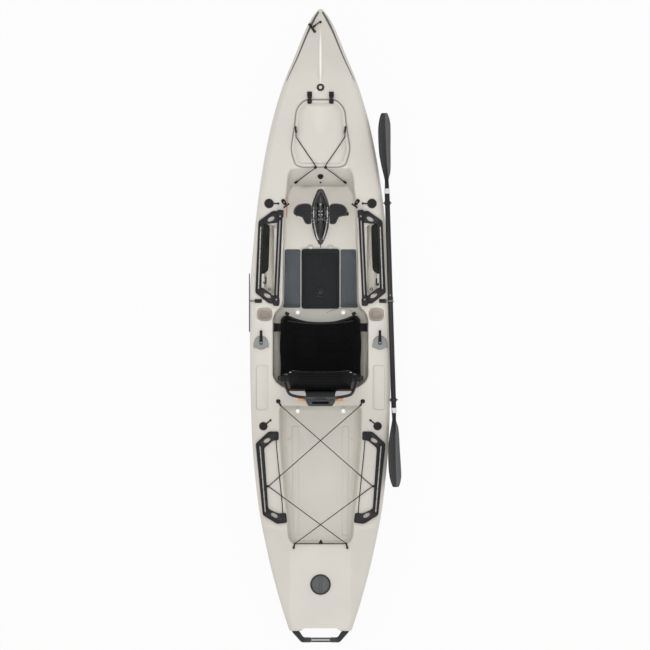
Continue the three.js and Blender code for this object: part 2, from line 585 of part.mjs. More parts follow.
// Foot pedals: a curved pad with a side guard and a heel rest, free to tilt on the crank's axle
const pad = { inner: 52, outer: 168, fore: 749, foreKneeX: 150, foreKneeY: 736, outerAft: 690,
  heelOuter: 100, heelY: 662, aft: 624, heelInner: 58, thick: 20, dish: 5, hollow: 3, corner: 16,
  guard: 22 };
{
  const outline = [[pad.inner, pad.fore - pad.corner], [(pad.inner + pad.outer) / 2 - pad.corner, pad.fore],
    [pad.foreKneeX, pad.foreKneeY], [pad.outer, pad.outerAft + pad.corner],
      [pad.outer, pad.outerAft - pad.corner],
    [pad.heelOuter, pad.heelY], [pad.heelOuter - pad.corner / 2, pad.aft], [pad.heelInner, pad.aft],
      [pad.inner, pad.heelY]];
  const base = crank.pedalZ - pad.thick / 2;
  const tread = stack(outline, pad.corner, [[pad.dish, base], [0, base + pad.dish], [0, base + pad.thick]])
    .subtract(stack(outline, pad.corner, [[3 * pad.dish, base + pad.thick - pad.hollow],
      [2 * pad.dish, base + pad.thick + overrun]]));
  const rim = stack(outline, pad.corner, [[0, base + pad.thick - bite],
    [clearance, base + pad.thick + pad.guard]])
    .subtract(stack(outline, pad.corner, [[pad.dish, base], [pad.dish, base + 2 * pad.thick + pad.guard]]))
    .intersect(box(pad.outer, 2 * pad.guard, 4 * pad.guard)
      .translate([pad.outer + pad.foreKneeX / 4, pad.foreKneeY - pad.guard, crank.pedalZ]));
  addPair('pedal', tread.add(rim).subtract(rodX(boreFor(crank.axle), 2 * (crank.shaftLength - pad.corner))
    .translate([crank.armX + 2 * clearance + pad.corner, crank.y, crank.pedalZ])), blackPlastic);
}

// Fins: a tapered foil of rubber on a steel mast, whose drum turns on the spine's axle
const fin = { root: -58, mid: -230, tip: -400, lead: 17, rootLead: 12, rootTrail: 70, midTrail: 79,
  tipTrail: 38, tipLead: 6, rootThick: 19, midThick: 13, tipThick: 6, tailShare: 0.75, mast: 4.5,
  mastEnd: -210, count: 12 };
{
  // A foil section: an ellipse ahead of the mast, drawn out to a thin tail behind it.
  const section = (lead, trail, thick, z) => Array.from({ length: fin.count }, (_, i) => {
    const t = (i / fin.count) * Math.PI * 2;
    const reach = Math.cos(t) > 0 ? lead : trail;
    const waist = Math.cos(t) > 0 ? 1 : 1 + fin.tailShare * Math.cos(t);
    return new THREE.Vector3((thick / 2) * Math.sin(t) * waist, reach * Math.cos(t), z);
  });
  const foil = loft([
    section(fin.rootLead, fin.rootTrail, fin.rootThick, fin.root),
    section(fin.lead, fin.midTrail, fin.rootThick, (fin.root + fin.mid) / 2),
    section(fin.lead, fin.midTrail, fin.midThick, fin.mid),
    section((fin.lead + fin.tipLead) / 2, (fin.midTrail + fin.tipTrail) / 2,
      (fin.midThick + fin.tipThick) / 2,
      (fin.mid + 2 * fin.tip) / 3),
    section(fin.tipLead, fin.tipTrail, fin.tipThick, fin.tip),
  ], (p) => new THREE.Vector2(p.x, p.y));
  const mast = rod(fin.mast, drum.z - fin.mastEnd, smallSides).translate([0, 0, (drum.z + fin.mastEnd) / 2]);
  const bore = rod(boreFor(fin.mast, smallSides), drum.z - fin.mastEnd + clearance, smallSides)
    .translate([0, 0, (drum.z + fin.mastEnd - clearance) / 2]);
  const wheel = rodY(drum.radius, drum.length).add(mast.translate([0, 0, -drum.z]))
    .add(rod(2 * fin.mast, drum.radius * 2 - overrun).translate([0, 0, -drum.radius]))
    .subtract(rodY(boreFor(drum.axle), 2 * drum.length)).translate([0, 0, drum.z]);
  const offset = (drum.length + clearance) / 2;
  for (const [name, y] of Object.entries({ fore: drum.midY + offset, aft: drum.midY - offset })) {
    addNode(`fin_mast_${name}`, wheel.translate([0, y, 0]), steel);
    addNode(`fin_${name}`, foil.subtract(bore).translate([0, y, 0]), finRubber);
  }
}

// Centre hatch: a tub under the cockpit floor with a hinged lid and a twist latch
const centreHinge = { pin: 3, cheek: 5, slot: 20, radius: 7, height: 9, base: 2, reach: 16, x: 60, y: 481 };
const centreLid = { half: 115, fore: 469, aft: 103, corner: 20, thick: 14, edge: 4, rib: 18, rise: 4,
  hollow: 9, wall: 9 };
const latch = { y: 204, radius: 34, taper: 5, height: 13, stem: 9, tongue: 60, tongueWidth: 14,
  tongueThick: 4, sides: 6 };
const tubFlange = 3;
const centreLidBase = cockpit.floor + tubFlange + 2 * clearance;
const centreLidTop = centreLidBase + centreLid.thick + centreLid.rise;
{
  const floor = cockpit.floor;
  const { wall, flange, corner, depth } = bucket;
  const tub = stack(bucketOutline, corner, [[clearance, floor - depth],
    [clearance, floor + clearance + tubFlange]], 1)
    .add(stack(bucketOutline, corner, [[-flange, floor + clearance],
      [-flange, floor + clearance + tubFlange]], 1))
    .subtract(stack(bucketOutline, corner,
      [[clearance + wall, floor - depth + wall], [clearance + wall, floor + overrun]], 1));
  const hingeAt = [centreHinge.x, centreHinge.y, centreLidBase + centreHinge.height - clearance];
  const bridge = box(centreHinge.slot + 2 * centreHinge.cheek, 3 * flange, tubFlange)
    .translate([centreHinge.x, centreHinge.y - flange, floor + clearance + tubFlange / 2]);
  addNode('gear_bucket', tub.add(bothSides(bridge.add(fork(centreHinge).translate(hingeAt)))), lidPlastic);
  const outline = mirrored([[centreLid.half, centreLid.fore], [centreLid.half, centreLid.aft]]);
  const top = centreLidBase + centreLid.thick;
  const hole = rod(boreFor(latch.stem), 4 * centreLid.thick).translate([0, latch.y, top]);
  const lid = stack(outline, centreLid.corner, [[0, centreLidBase], [0, top - centreLid.edge],
    [centreLid.edge, top],
    [centreLid.rib, top], [centreLid.rib + centreLid.rise, centreLidTop]])
    .subtract(stack(outline, centreLid.corner, [[2 * centreLid.wall, centreLidBase - overrun],
      [2 * centreLid.wall, centreLidBase + centreLid.hollow]]))
    .add(bothSides(eye(centreHinge, centreHinge.y - centreLid.fore + overrun).translate(hingeAt)))
    .subtract(hole);
  addNode('centre_hatch_lid', lid, lidPlastic);
  const stemTop = centreLidTop + clearance;
  const tongueZ = centreLidBase + centreLid.hollow - clearance - latch.tongueThick;
  addNode('centre_hatch_latch', joined([
    rod(latch.radius, latch.height, latch.sides, latch.radius - latch.taper)
      .translate([0, latch.y, stemTop + latch.height / 2]),
    rod(latch.stem, stemTop - tongueZ + bite).translate([0, latch.y, (stemTop + tongueZ + bite) / 2]),
    box(latch.tongue, latch.tongueWidth, latch.tongueThick).translate([0, latch.y, tongueZ
      + latch.tongueThick / 2]),
  ]), blackPlastic);
}

// Foam mats either side of the centre hatch
const mat = { inner: 123, foreOuter: 211, aftOuter: 217, fore: 466, aft: 108, thick: 5, corner: 12,
  bevel: 1.5, holeMargin: 2 };
{
  const outline = [[mat.inner, mat.fore], [mat.foreOuter, mat.fore], [mat.aftOuter, mat.aft],
    [mat.inner, mat.aft]];
  const base = cockpit.floor + clearance;
  const hole = rod(scupper.radius + mat.holeMargin, 4 * mat.thick)
    .translate([scupper.x, scupper.foreY, base]);
  addPair('mat', stack(outline, mat.corner, [[0, base], [0, base + mat.thick - mat.bevel],
    [mat.bevel, base + mat.thick]]).subtract(hole), greyRubber);
}

// Soft caps of the rod holders, each with its plug, strap and stud in one piece
const cap = { thick: 7, plug: 24, strap: 8, strapThick: 3, stud: 6, studHeight: 7, foreDisc: 29.5,
  aftDisc: 26, foreReach: [-56, 0], aftReach: [-44, 36] };
function rodCap({ x, y, radius }, discRadius, towards) {
  const z = hullDepth + clearance;
  const reach = Math.hypot(...towards);
  const strap = box(reach, cap.strap, cap.strapThick).translate([reach / 2, 0, cap.strapThick / 2])
    .rotate([0, 0, THREE.MathUtils.radToDeg(Math.atan2(towards[1], towards[0]))]);
  return joined([
    rod(discRadius, cap.thick, roundSides, discRadius - cap.strapThick).translate([0, 0, cap.thick / 2]),
    rod(radius - clearance, cap.plug).translate([0, 0, cap.thick / 2 - cap.plug / 2]),
    strap,
    rod(cap.stud, cap.studHeight, smallSides).translate([towards[0], towards[1], cap.studHeight / 2]),
  ]).translate([x, y, z]);
}
addPair('rod_cap_front', rodCap(frontTube, cap.foreDisc, cap.foreReach), blackPlastic);
addPair('rod_cap_rear', rodCap(rearTube, cap.aftDisc, cap.aftReach), blackPlastic);

// Side rails. Each is one moulded frame: a slotted track along the gunwale with an arm at either end.
const rail = { thick: 12, slot: 8, slotDepth: 7, ovalWide: 46, ovalTall: 24, ovalTurn: 30 };
const frontRail = {
  outline: [[381, 640], [292, 704], [231, 699], [233, 636], [259, 631], [309, 624], [353, 622], [363, 229],
    [351, 229], [287, 180], [257, 180], [257, 133], [318, 133], [401, 200]],
  slot: [[367, 606], [381, 222]], ovals: [[304, 652], [327, 182]],
};
const rearRail = {
  outline: [[399, -727], [318, -653], [257, -652], [256, -706], [292, -709], [346, -755], [321, -1126],
    [298, -1139],
    [257, -1157], [211, -1152], [204, -1213], [267, -1221], [355, -1166]],
  slot: [[372, -742], [339, -1150]], ovals: [[329, -708], [283, -1168]],
};
function railFrame({ outline, slot, ovals }) {
  const base = hullDepth + clearance;
  const [[x1, y1], [x2, y2]] = slot;
  const turn = THREE.MathUtils.radToDeg(Math.atan2(x1 - x2, y2 - y1));
  const groove = box(rail.slot, Math.hypot(x2 - x1, y2 - y1), 2 * rail.slotDepth).rotate([0, 0, turn])
    .translate([(x1 + x2) / 2, (y1 + y2) / 2, base + rail.thick]);
  const holes = ovals.map(([x, y], i) => rod(rail.ovalTall / 2, 4 * rail.thick, smallSides)
    .scale([rail.ovalWide / rail.ovalTall, 1, 1]).rotate([0, 0, (i ? 1 : -1) * rail.ovalTurn])
      .translate([x, y, base]));
  return stack(outline, rail.thick / 2, [[0, base], [0, base + rail.thick]], 1)
    .subtract(joined([groove, ...holes]));
}

// The raised grab rail of the front frames sits in a socket at each end.
const grab = { radius: 16, sides: 12, rise: 18, fore: [247, 690], aft: [272, 138], socket: 40, depth: 26,
  cover: 4 };
{
  const z = hullDepth + clearance + rail.thick + grab.rise;
  const [a, b] = [grab.fore, grab.aft].map(([x, y]) => new THREE.Vector3(x, y, z));
  const way = b.clone().sub(a).normalize();
  const bar = (radius, extra) => tube([a.clone().addScaledVector(way, -extra).toArray(),
    b.clone().addScaledVector(way, extra).toArray()], radius, 1, grab.sides);
  const sockets = [[a, 1], [b, -1]].map(([at, side]) => {
    const middle = at.clone().addScaledVector(way, side * (grab.depth - grab.socket) / 2);
    return box(grab.socket, grab.socket + grab.depth / 2, grab.rise + grab.radius + 2 * grab.cover)
      .translate([middle.x, middle.y, z + (grab.radius - grab.rise) / 2]);
  });
  const frame = joined([railFrame(frontRail), ...sockets]);
  addPair('rail_frame_front', frame.subtract(bar(grab.radius + clearance, clearance)), railPlastic);
  addPair('grab_rail', bar(grab.radius, 0), aluminium);
}
const railCord = { radius: 3, fore: [273, -695], aft: [231, -1166], rise: 12, steps: 6 };
{
  const z = hullDepth + clearance + rail.thick;
  const [[x1, y1], [x2, y2]] = [railCord.fore, railCord.aft];
  const { radius, rise, steps } = railCord;
  const cord = tube([[x1, y1, z - 2 * bite], [x1, y1 - rise, z + radius],
    [(x1 + x2) / 2, (y1 + y2) / 2, z + radius],
    [x2, y2 + rise, z + radius], [x2, y2, z - 2 * bite]], radius, steps, cordSides);
  addPair('rail_frame_rear', railFrame(rearRail).add(cord), railPlastic);
}

// Steering: a lever each side, and a rudder on a post that turns in the stern
const lever = { disc: 43, taper: 4, sides: 18, height: 14, arm: 78, armWidth: 18, armHeight: 12, armSink: 3,
  ear: 12, earY: -34 };
{
  const base = hullDepth + clearance;
  const body = joined([
    rod(lever.disc, lever.height, lever.sides, lever.disc - lever.taper).translate([0, 0, lever.height / 2]),
    box(lever.armWidth, lever.arm, lever.armHeight)
      .translate([0, lever.arm / 2, lever.height + lever.armHeight / 2 - lever.armSink]),
    bothSides(box(lever.ear, 2 * lever.ear, lever.height)
      .translate([lever.disc - 2 * bite, lever.earY / 2, lever.height / 2])),
    rod(leverPost.radius, leverPost.depth).translate([0, 0, 2 * bite - leverPost.depth / 2]),
  ]);
  addPair('steering_lever', body.translate([leverPost.x, leverPost.y, base]), discGrey);
}
const pull = { x: 230, y: 757, knob: 11, taper: 2, height: 16, bar: 44, barRadius: 5, turn: 52 };
{
  const z = hullDepth + clearance;
  const grip = rodX(pull.barRadius, pull.bar).rotate([0, 0, -pull.turn])
    .translate([pull.x - pull.barRadius, pull.y - pull.barRadius, z + pull.height]);
  const body = rod(pull.knob, pull.height, roundSides, pull.knob - pull.taper)
    .translate([pull.x, pull.y, z + pull.height / 2]);
  addPair('rudder_pull', body.add(grip), blackPlastic);
}
const head = { under: 6.3, cheek: 6, slot: 18, length: 44, height: 58, pin: 5, pinDrop: 44 };
head.top = keelAt(rudderPost.y) - head.under;
head.bottom = head.top - head.height;
head.pinZ = head.top - head.pinDrop;
const blade = { lug: 14, thick: 12, edge: 3 };
const bladeOutline = [[12, 10], [14, -14], [36, -36], [34, -180], [8, -226], [-44, -226], [-70, -150],
  [-72, -44], [-16, -12], [-12, 10]];
{
  const y = rudderPost.y;
  const postTop = rudderPost.top - overrun;
  const body = joined([
    rod(rudderPost.radius, postTop - head.top + overrun).translate([0, y,
      (postTop + head.top - overrun) / 2]),
    box(head.slot + 2 * head.cheek, head.length, head.top - head.bottom)
      .translate([0, y, (head.top + head.bottom) / 2]),
  ]).subtract(box(head.slot, 2 * head.length, head.pinZ - head.bottom + blade.lug + 2 * overrun)
    .translate([0, y, (head.pinZ + head.bottom + blade.lug - overrun) / 2 + overrun / 2]))
    .add(rodX(head.pin, head.slot + 2 * head.cheek).translate([0, y, head.pinZ]));
  addNode('rudder_head', body, blackPlastic);
  const plate = stack(bladeOutline, blade.lug, [[blade.edge, -blade.thick / 2], [0, -blade.edge / 2],
    [0, blade.edge / 2], [blade.edge, blade.thick / 2]], 1).rotate([90, 0, 90]);
  const foil = plate.add(rodX(blade.lug, head.slot - 2 * clearance))
    .subtract(rodX(boreFor(head.pin), 2 * head.slot)).translate([0, y, head.pinZ]);
  addNode('rudder_blade', foil, blackPlastic);
}

// Seat: a bent tube frame on four feet, with a back that folds down over the cushion
const seat = { half: 235, front: 62, bow: 6, kneeHalf: 200, cornerY: 18, rear: -346, tube: 11, steps: 16,
  z: 214, footFore: -4, footAft: -316, foot: 15, footHeight: 6, crossbars: [-60, -210, -316] };
const hinge = { y: -327, z: 336, plate: 6, width: 44, pin: 8, knob: 16, knobDepth: 18 };
const lean = 16;
{
  const { half, front, bow, kneeHalf, cornerY, rear, z } = seat;
  const loop = tube([[-half, rear, z], [-half, rear / 2, z], [-half, cornerY, z], [-kneeHalf, front - bow, z],
    [0, front, z], [kneeHalf, front - bow, z], [half, cornerY, z], [half, rear / 2, z], [half, rear, z]],
  seat.tube, seat.steps);
  const floor = cockpit.floor + clearance;
  const legs = [seat.footFore, seat.footAft].map((y) => rod(seat.tube - bite, z - floor, smallSides)
    .translate([half, y, (z + floor) / 2])
    .add(rod(seat.foot, seat.footHeight, smallSides).translate([half, y, floor + seat.footHeight / 2])));
  const plateX = half + seat.tube - hinge.plate / 2;
  const top = hinge.z + hinge.width / 2;
  const plate = box(hinge.plate, hinge.width, hinge.z - z).translate([plateX, hinge.y, (hinge.z + z) / 2])
    .add(rodX(hinge.width / 2, hinge.plate).translate([plateX, hinge.y, hinge.z]))
    .subtract(rodX(boreFor(hinge.pin), top).translate([plateX, hinge.y, hinge.z]));
  const crossbars = seat.crossbars.map((y) => rodX(seat.tube, 2 * half, smallSides).translate([0, y, z]));
  addNode('seat_frame', joined([loop, ...crossbars, bothSides(joined([...legs, plate]))]), railPlastic);
}

// A cushion: a pillow of two grids that share one edge. Its crown, drawn-in sides, bolsters and
// sewn channels are functions of the shares u, across from -1 to 1, and v, from the front.
const cushionAcross = 12;
const cushionAlong = 16;
const pillowShares = { square: 5, soft: 0.4, tuck: 0.04 };
function cushion({ widthAt, startAt, end, low, high, top }) {
  const [nu, nv] = [cushionAcross, cushionAlong];
  const spread = (i, n) => Math.sin((Math.PI / 2) * ((2 * i) / n - 1));
  const points = [];
  const corners = [];
  const names = new Map();
  const corner = (i, j, side) => {
    const edge = i === 0 || j === 0 || i === nu || j === nv;
    const key = `${i},${j},${edge ? 0 : side}`;
    if (!names.has(key)) {
      const u = spread(i, nu);
      const v = (spread(j, nv) + 1) / 2;
      const w = 2 * v - 1;
      const { square, soft, tuck } = pillowShares;
      const swell = edge ? 0 : ((1 - Math.abs(u) ** square) * (1 - Math.abs(w) ** square)) ** soft;
      const height = side > 0 ? top(u, v) * swell : -low * swell;
      names.set(key, points.length / 3);
      const half = widthAt(v) * (1 - tuck * (1 - swell) * Math.abs(w));
      points.push(u * half, startAt(u) + v * (end - startAt(u)), height + low);
    }
    return names.get(key);
  };
  for (let i = 0; i < nu; i += 1) {
    for (let j = 0; j < nv; j += 1) {
      for (const side of [1, -1]) {
        const around = [[i, j], [i + 1, j], [i + 1, j + 1], [i, j + 1]];
        const [a, b, c, d] = around.map(([m, n]) => corner(m, n, side));
        corners.push(...(side > 0 ? [a, c, b, a, d, c] : [a, b, c, a, c, d]));
      }
    }
  }
  const geometry = new THREE.BufferGeometry();
  geometry.setAttribute('position', new THREE.Float32BufferAttribute(points, 3));
  geometry.setIndex(corners);
  return solid(geometry);
}
const channelShares = { narrow: 6, bolsterAt: 0.8, bolsterWidth: 0.16, seamWidth: 0.06 };
function channel(v, count, depth) {
  return depth * Math.max(0, Math.cos(2 * Math.PI * count * v)) ** channelShares.narrow;
}
const seatPad = { frontHalf: 210, half: 252, front: 20, horn: 47, rear: -276, low: 14, high: 34,
  bolster: 14, channel: 5, channels: 6, seam: 3 };
const backPad = { half: 188, bottom: -22, top: 326, low: 12, high: 30, bolster: 9, channel: 5, channels: 6,
  taperShare: 0.08 };
const bolster = (u) => Math.exp(-(((Math.abs(u) - channelShares.bolsterAt) / channelShares.bolsterWidth) ** 2));
const sewn = (u, v, p) => channel(v, p.channels, p.channel) * (1 - bolster(u));
{
  const p = seatPad;
  const pad = cushion({
    widthAt: (v) => p.frontHalf + (p.half - p.frontHalf) * Math.sin(Math.min(1, 1.5 * v) * (Math.PI / 2)),
    startAt: (u) => p.front + p.horn * Math.abs(u) ** 3, end: p.rear, low: p.low,
    top: (u, v) => p.high - p.channel + p.bolster * bolster(u) - sewn(u, v, p)
      - p.seam * Math.exp(-((u / channelShares.seamWidth) ** 2)),
  });
  addNode('seat_cushion', pad.translate([0, 0, seat.z + seat.tube + clearance]), fabric);
}
const onBack = (piece) => piece.rotate([90 + lean, 0, 0]).translate([0, hinge.y, hinge.z]);
const back = { half: 220, waist: 205, shoulder: 190, top: 436, kneeY: 60, bendY: 250, shoulderY: 345,
  archHalf: 95, archY: 424, braces: [[220, 40], [205, 250]], tube: 10, steps: 14, boss: 2, pinSink: 4 };
{
  const b = back;
  const side = [[b.half, 0], [b.half, b.kneeY], [b.waist, b.bendY], [b.shoulder, b.shoulderY],
    [b.archHalf, b.archY]];
  const bent = [...side.map(([x, y]) => [x, y, 0]), [0, b.top, 0],
    ...side.map(([x, y]) => [-x, y, 0]).reverse()];
  const pinEnd = seat.half + seat.tube;
  const pins = rodX(hinge.pin, pinEnd - b.half + b.pinSink)
    .translate([(pinEnd + b.half + b.pinSink) / 2, 0, 0])
    .add(rodX(hinge.knob, hinge.knobDepth).translate([pinEnd + clearance + hinge.knobDepth / 2, 0, 0]))
    .add(rodX(b.tube + b.boss, 2 * b.tube).translate([b.half, 0, 0]));
  const braces = b.braces.map(([reach, y]) => rodX(b.tube, 2 * reach, smallSides).translate([0, y, 0]));
  addNode('back_frame', onBack(joined([tube(bent, b.tube, b.steps), ...braces, bothSides(pins)])),
    railPlastic);
  const p = backPad;
  const pad = cushion({
    widthAt: (v) => p.half * (1 - p.taperShare * v), startAt: () => p.bottom, end: p.top, low: p.low,
    top: (u, v) => p.high - p.channel + p.bolster * bolster(u) - sewn(u, v, p),
  });
  addNode('back_cushion', onBack(pad.mirror([0, 0, 1]).translate([0, 0, -b.tube - clearance])), fabric);
}
const carry = { half: 92, tail: 74, rise: 434, reach: 44, thick: 16, slotHalf: 52, slotDepth: 18, wall: 12 };
{
  const { half, tail, reach, thick } = carry;
  const start = back.tube + clearance;
  const outline = [[half, start], [tail, start + reach], [-tail, start + reach], [-half, start]];
  const slot = [[carry.slotHalf, start + carry.wall], [carry.slotHalf, start + carry.wall + carry.slotDepth],
    [-carry.slotHalf, start + carry.wall + carry.slotDepth], [-carry.slotHalf, start + carry.wall]];
  const levels = (grow) => [[0, -thick / 2 - grow], [0, thick / 2 + grow]];
  const plate = stack(outline, carry.wall, levels(0)).subtract(stack(slot, carry.wall / 2, levels(overrun)));
  addNode('carry_handle', onBack(plate.rotate([90, 0, 0]).mirror([0, 1, 0])
    .translate([0, carry.rise - thick / 2, 0])),
    blackPlastic);
}

// Cargo cord: one elastic, hooked at six places and crossing itself twice over the well
const lash = { radius: 3, foreX: 252, foreY: cargo.fore + 13, midX: 316, midY: cargo.fore - 490, aftX: 164,
  aftY: cargo.aft - 18, base: 2, lift: 12, hook: 16, hookHeight: 10 };
{
  const z = hullDepth + clearance + lash.radius + lash.base;
  const sternZ = deckAt(lash.aftY) + clearance + lash.radius + lash.base;
  const crossFore = (lash.foreY + (lash.midY - lash.foreY) * lash.foreX / (lash.foreX + lash.midX));
  const crossAft = (lash.midY + (lash.aftY - lash.midY) * lash.midX / (lash.aftX + lash.midX));
  const over = z + lash.lift;
  const route = [[-lash.foreX, lash.foreY, z], [0, crossFore, z], [lash.midX, lash.midY, z], [0, crossAft, z],
    [-lash.aftX, lash.aftY, sternZ], [lash.aftX, lash.aftY, sternZ], [0, crossAft, over],
      [-lash.midX, lash.midY, z],
    [0, crossFore, over], [lash.foreX, lash.foreY, z]];
  const legs = route.slice(1).map((to, i) => tube([route[i], to], lash.radius, 1, cordSides));
  const hooks = [0, 2, 4, 5, 7, 9].map((n) => {
    const [x, y, at] = route[n];
    return box(lash.hook, lash.hook, lash.hookHeight).translate([x, y, at]);
  });
  addNode('cargo_cord', seated(joined([...legs, ...hooks])), cordBlack);
}

// Stern: a round twist hatch in its ring, and the carrying handle with its grip
const twist = { ring: 9, taper: 3, shelf: 44, shelfTop: 2, lid: 52.7, neck: 16, lidThick: 8, rib: 12,
  ribHalf: 44, ribHeight: 8 };
{
  const z = deckAt(sternPort.y) + clearance;
  const { shelfTop } = twist;
  const ring = rod(sternPort.radius, twist.ring, portSides, sternPort.radius - twist.taper)
    .translate([0, 0, twist.ring / 2])
    .add(rod(sternPort.opening - clearance, twist.neck, portSides).translate([0, 0, bite - twist.neck / 2]))
    .subtract(rod(boreFor(twist.lid, portSides), 2 * twist.ring, portSides)
      .translate([0, 0, twist.ring + shelfTop]))
    .subtract(rod(twist.shelf, 4 * twist.neck, portSides));
  addNode('stern_hatch_ring', ring.translate([0, sternPort.y, z]), blackPlastic);
  const lid = rod(twist.lid, twist.lidThick, portSides).translate([0, 0, shelfTop + clearance
    + twist.lidThick / 2])
    .add(box(2 * twist.ribHalf, twist.rib, twist.ribHeight)
      .translate([0, 0, shelfTop + twist.lidThick + twist.ribHeight / 2]));
  addNode('stern_hatch_lid', lid.translate([0, sternPort.y, z]), railPlastic);
}
const handle = { outerHalf: 176, barHalf: 115, innerHalf: 129, slotHalf: 105, bar: 32, thick: 22,
  z: hullDepth - 50, neckHalf: 60, neckThick: 12, neckBar: 18, gripWall: 5, corner: 6 };
{
  const y0 = sternY - clearance;
  const end = -overallLength / 2;
  const inner = end + handle.bar;
  const outline = [[handle.outerHalf, y0], [handle.barHalf, end], [-handle.barHalf, end],
    [-handle.outerHalf, y0],
    [-handle.innerHalf, y0], [-handle.slotHalf, inner], [handle.slotHalf, inner], [handle.innerHalf, y0]];
  const frame = stack(outline, handle.corner, [[0, handle.z], [0, handle.z + handle.thick]]);
  const barAt = [0, end + handle.bar / 2, handle.z + handle.thick / 2];
  const neck = box(2 * handle.neckHalf, handle.neckBar, handle.neckThick).translate(barAt);
  const cutOut = box(2 * handle.neckHalf, handle.bar + bite, 2 * handle.thick).translate(barAt);
  addNode('stern_handle', frame.subtract(cutOut).add(neck), blackPlastic);
  const length = 2 * (handle.neckHalf - clearance);
  const grip = box(length, handle.neckBar + 2 * handle.gripWall, handle.neckThick + 2 * handle.gripWall)
    .subtract(box(length + overrun, handle.neckBar + 2 * clearance, handle.neckThick + 2 * clearance));
  addNode('stern_grip', grip.translate(barAt), gripGrey);
}

// Paddle: two halves joined by a ferrule, lying along the starboard gunwale
const paddle = { x: 429.6, y: 155, length: 2300, turn: 1.78, shaft: 15.5, ringLift: 2.2, bladeHalf: 82,
  bladeLength: 462, bladeThick: 7, bladeEdge: 2, tilt: 60, ferrule: 12, ferruleLength: 70, neck: 12,
  spine: 8.5, rings: [596, -614], ring: 24, ringWidth: 9 };
// Corners of a blade: shares of its half width and of its length from root to tip.
const bladeShares = [[0.15, -0.02], [0.72, 0.3], [1, 0.7], [0.86, 0.94], [0.4, 1], [-0.5, 1], [-1, 0.88],
  [-1, 0.66], [-0.72, 0.3], [-0.15, -0.02]];
const bladeSpineShare = 0.4;
const shaftZ = hullDepth + paddle.shaft + clearance + paddle.ringLift;
const onPaddle = (piece) => piece.rotate([0, 0, paddle.turn]).translate([paddle.x, paddle.y, shaftZ]);
{
  const { shaft, length, bladeHalf, bladeLength, bladeThick, bladeEdge, neck } = paddle;
  const root = length / 2 - bladeLength;
  const outline = bladeShares.map(([out, at]) => [bladeHalf * out, root + bladeLength * at]);
  const levels = [[bladeEdge, -bladeThick / 2], [0, 0], [bladeEdge, bladeThick / 2]];
  const blade = stack(outline, bladeHalf / 2, levels)
    .add(tube([[0, root - neck, 0], [0, root + bladeLength * bladeSpineShare, 0]], paddle.spine, 1))
    .rotate([0, paddle.tilt, 0]);
  const half = rodY(shaft, root).translate([0, root / 2, 0]).add(blade);
  const bore = rodY(boreFor(paddle.ferrule), 2 * paddle.ferruleLength);
  const front = half.subtract(bore).subtract(box(4 * shaft, 2 * clearance, 4 * shaft));
  const rear = half.mirror([0, 1, 0])
    .add(rodY(paddle.ferrule, paddle.ferruleLength).translate([0, paddle.ferruleLength / 2 - bite, 0]));
  addNode('paddle_front', onPaddle(front), bladeNylon);
  addNode('paddle_rear', onPaddle(rear), bladeNylon);
  Object.entries({ front: paddle.rings[0], rear: paddle.rings[1] }).forEach(([name, y]) => {
    const collar = rodY(paddle.ring, paddle.ringWidth).subtract(rodY(shaft + clearance,
      2 * paddle.ringWidth));
    addNode(`drip_ring_${name}`, onPaddle(collar.translate([0, y, 0])), blackPlastic);
  });
}

// Paddle keepers: a bar bolted to the side deck with an elastic loop over the side
const keeper = { inner: 360, outer: 404, y: 149, width: 24, thick: 8, cord: 3, turnZ: hullDepth - 6,
  low: hullDepth - 38, fore: 318, aft: -40, edgeX: beam / 2 - 4, edgeZ: hullDepth + 5,
  sideZ: hullDepth - 18, wrap: [180, 150, 120, 90, 60, 30, 0], steps: 12 };
{
  const base = hullDepth + clearance;
  const bar = box(keeper.outer - keeper.inner, keeper.width, keeper.thick)
    .translate([(keeper.outer + keeper.inner) / 2, keeper.y, base + keeper.thick / 2]);
  const shaftX = paddle.x - (keeper.y - paddle.y) * Math.tan(THREE.MathUtils.degToRad(paddle.turn));
  const reach = paddle.shaft + keeper.cord + clearance * 4;
  const arc = keeper.wrap.map((degrees) => {
    const t = THREE.MathUtils.degToRad(degrees);
    return [shaftX + reach * Math.cos(t), keeper.y, shaftZ + reach * Math.sin(t)];
  });
  const side = beam / 2 + keeper.cord + clearance;
  const loop = tube([[keeper.outer - keeper.thick, keeper.y, base + keeper.thick / 2], ...arc,
    [(shaftX + reach + side) / 2, keeper.y, keeper.turnZ], [side, keeper.y, keeper.low]],
  keeper.cord, keeper.steps, cordSides);
  addNode('paddle_keeper_starboard', seated(bar.add(loop)), cordBlack);
  const over = [[keeper.outer - keeper.thick, keeper.y, base + keeper.thick / 2],
    [keeper.edgeX, keeper.y, keeper.edgeZ], [side, keeper.y, keeper.sideZ]];
  const alongSide = [keeper.fore, (keeper.fore + keeper.y) / 2, keeper.y, (keeper.aft + keeper.y) / 2,
    keeper.aft]
    .map((y) => [halfBeamAt(y) + keeper.cord + 2 * clearance, y, keeper.sideZ]);
  const cords = [over, alongSide].map((path) => tube(path, keeper.cord, keeper.steps / 2, cordSides));
  addNode('paddle_keeper_port', seated(joined([bar, ...cords])).mirror([1, 0, 0]), cordBlack);
}

export default group;
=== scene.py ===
# %% [markdown]
# # A pedal kayak, dressed
#
# The CAD model gives a sit-on-top fishing kayak: a rotomoulded hull with a pedal drive, a framed seat,
# side rails, hatches, a rudder and a stowed paddle. This script makes it look real. Lengths are metres,
# +Z is up, +Y is the bow and +X is starboard, as in the CAD.
#
# The order is: the camera, the light, the finishes, the hull, and then each fitting from bow to stern.
# Most shapes are grids of points that a short formula places, so their faces are even and their
# outlines smooth.

# %% Libraries and the frame
import json
import math

import bpy
import bmesh
import numpy as np
from mathutils import Matrix, Vector
from mathutils.bvhtree import BVHTree


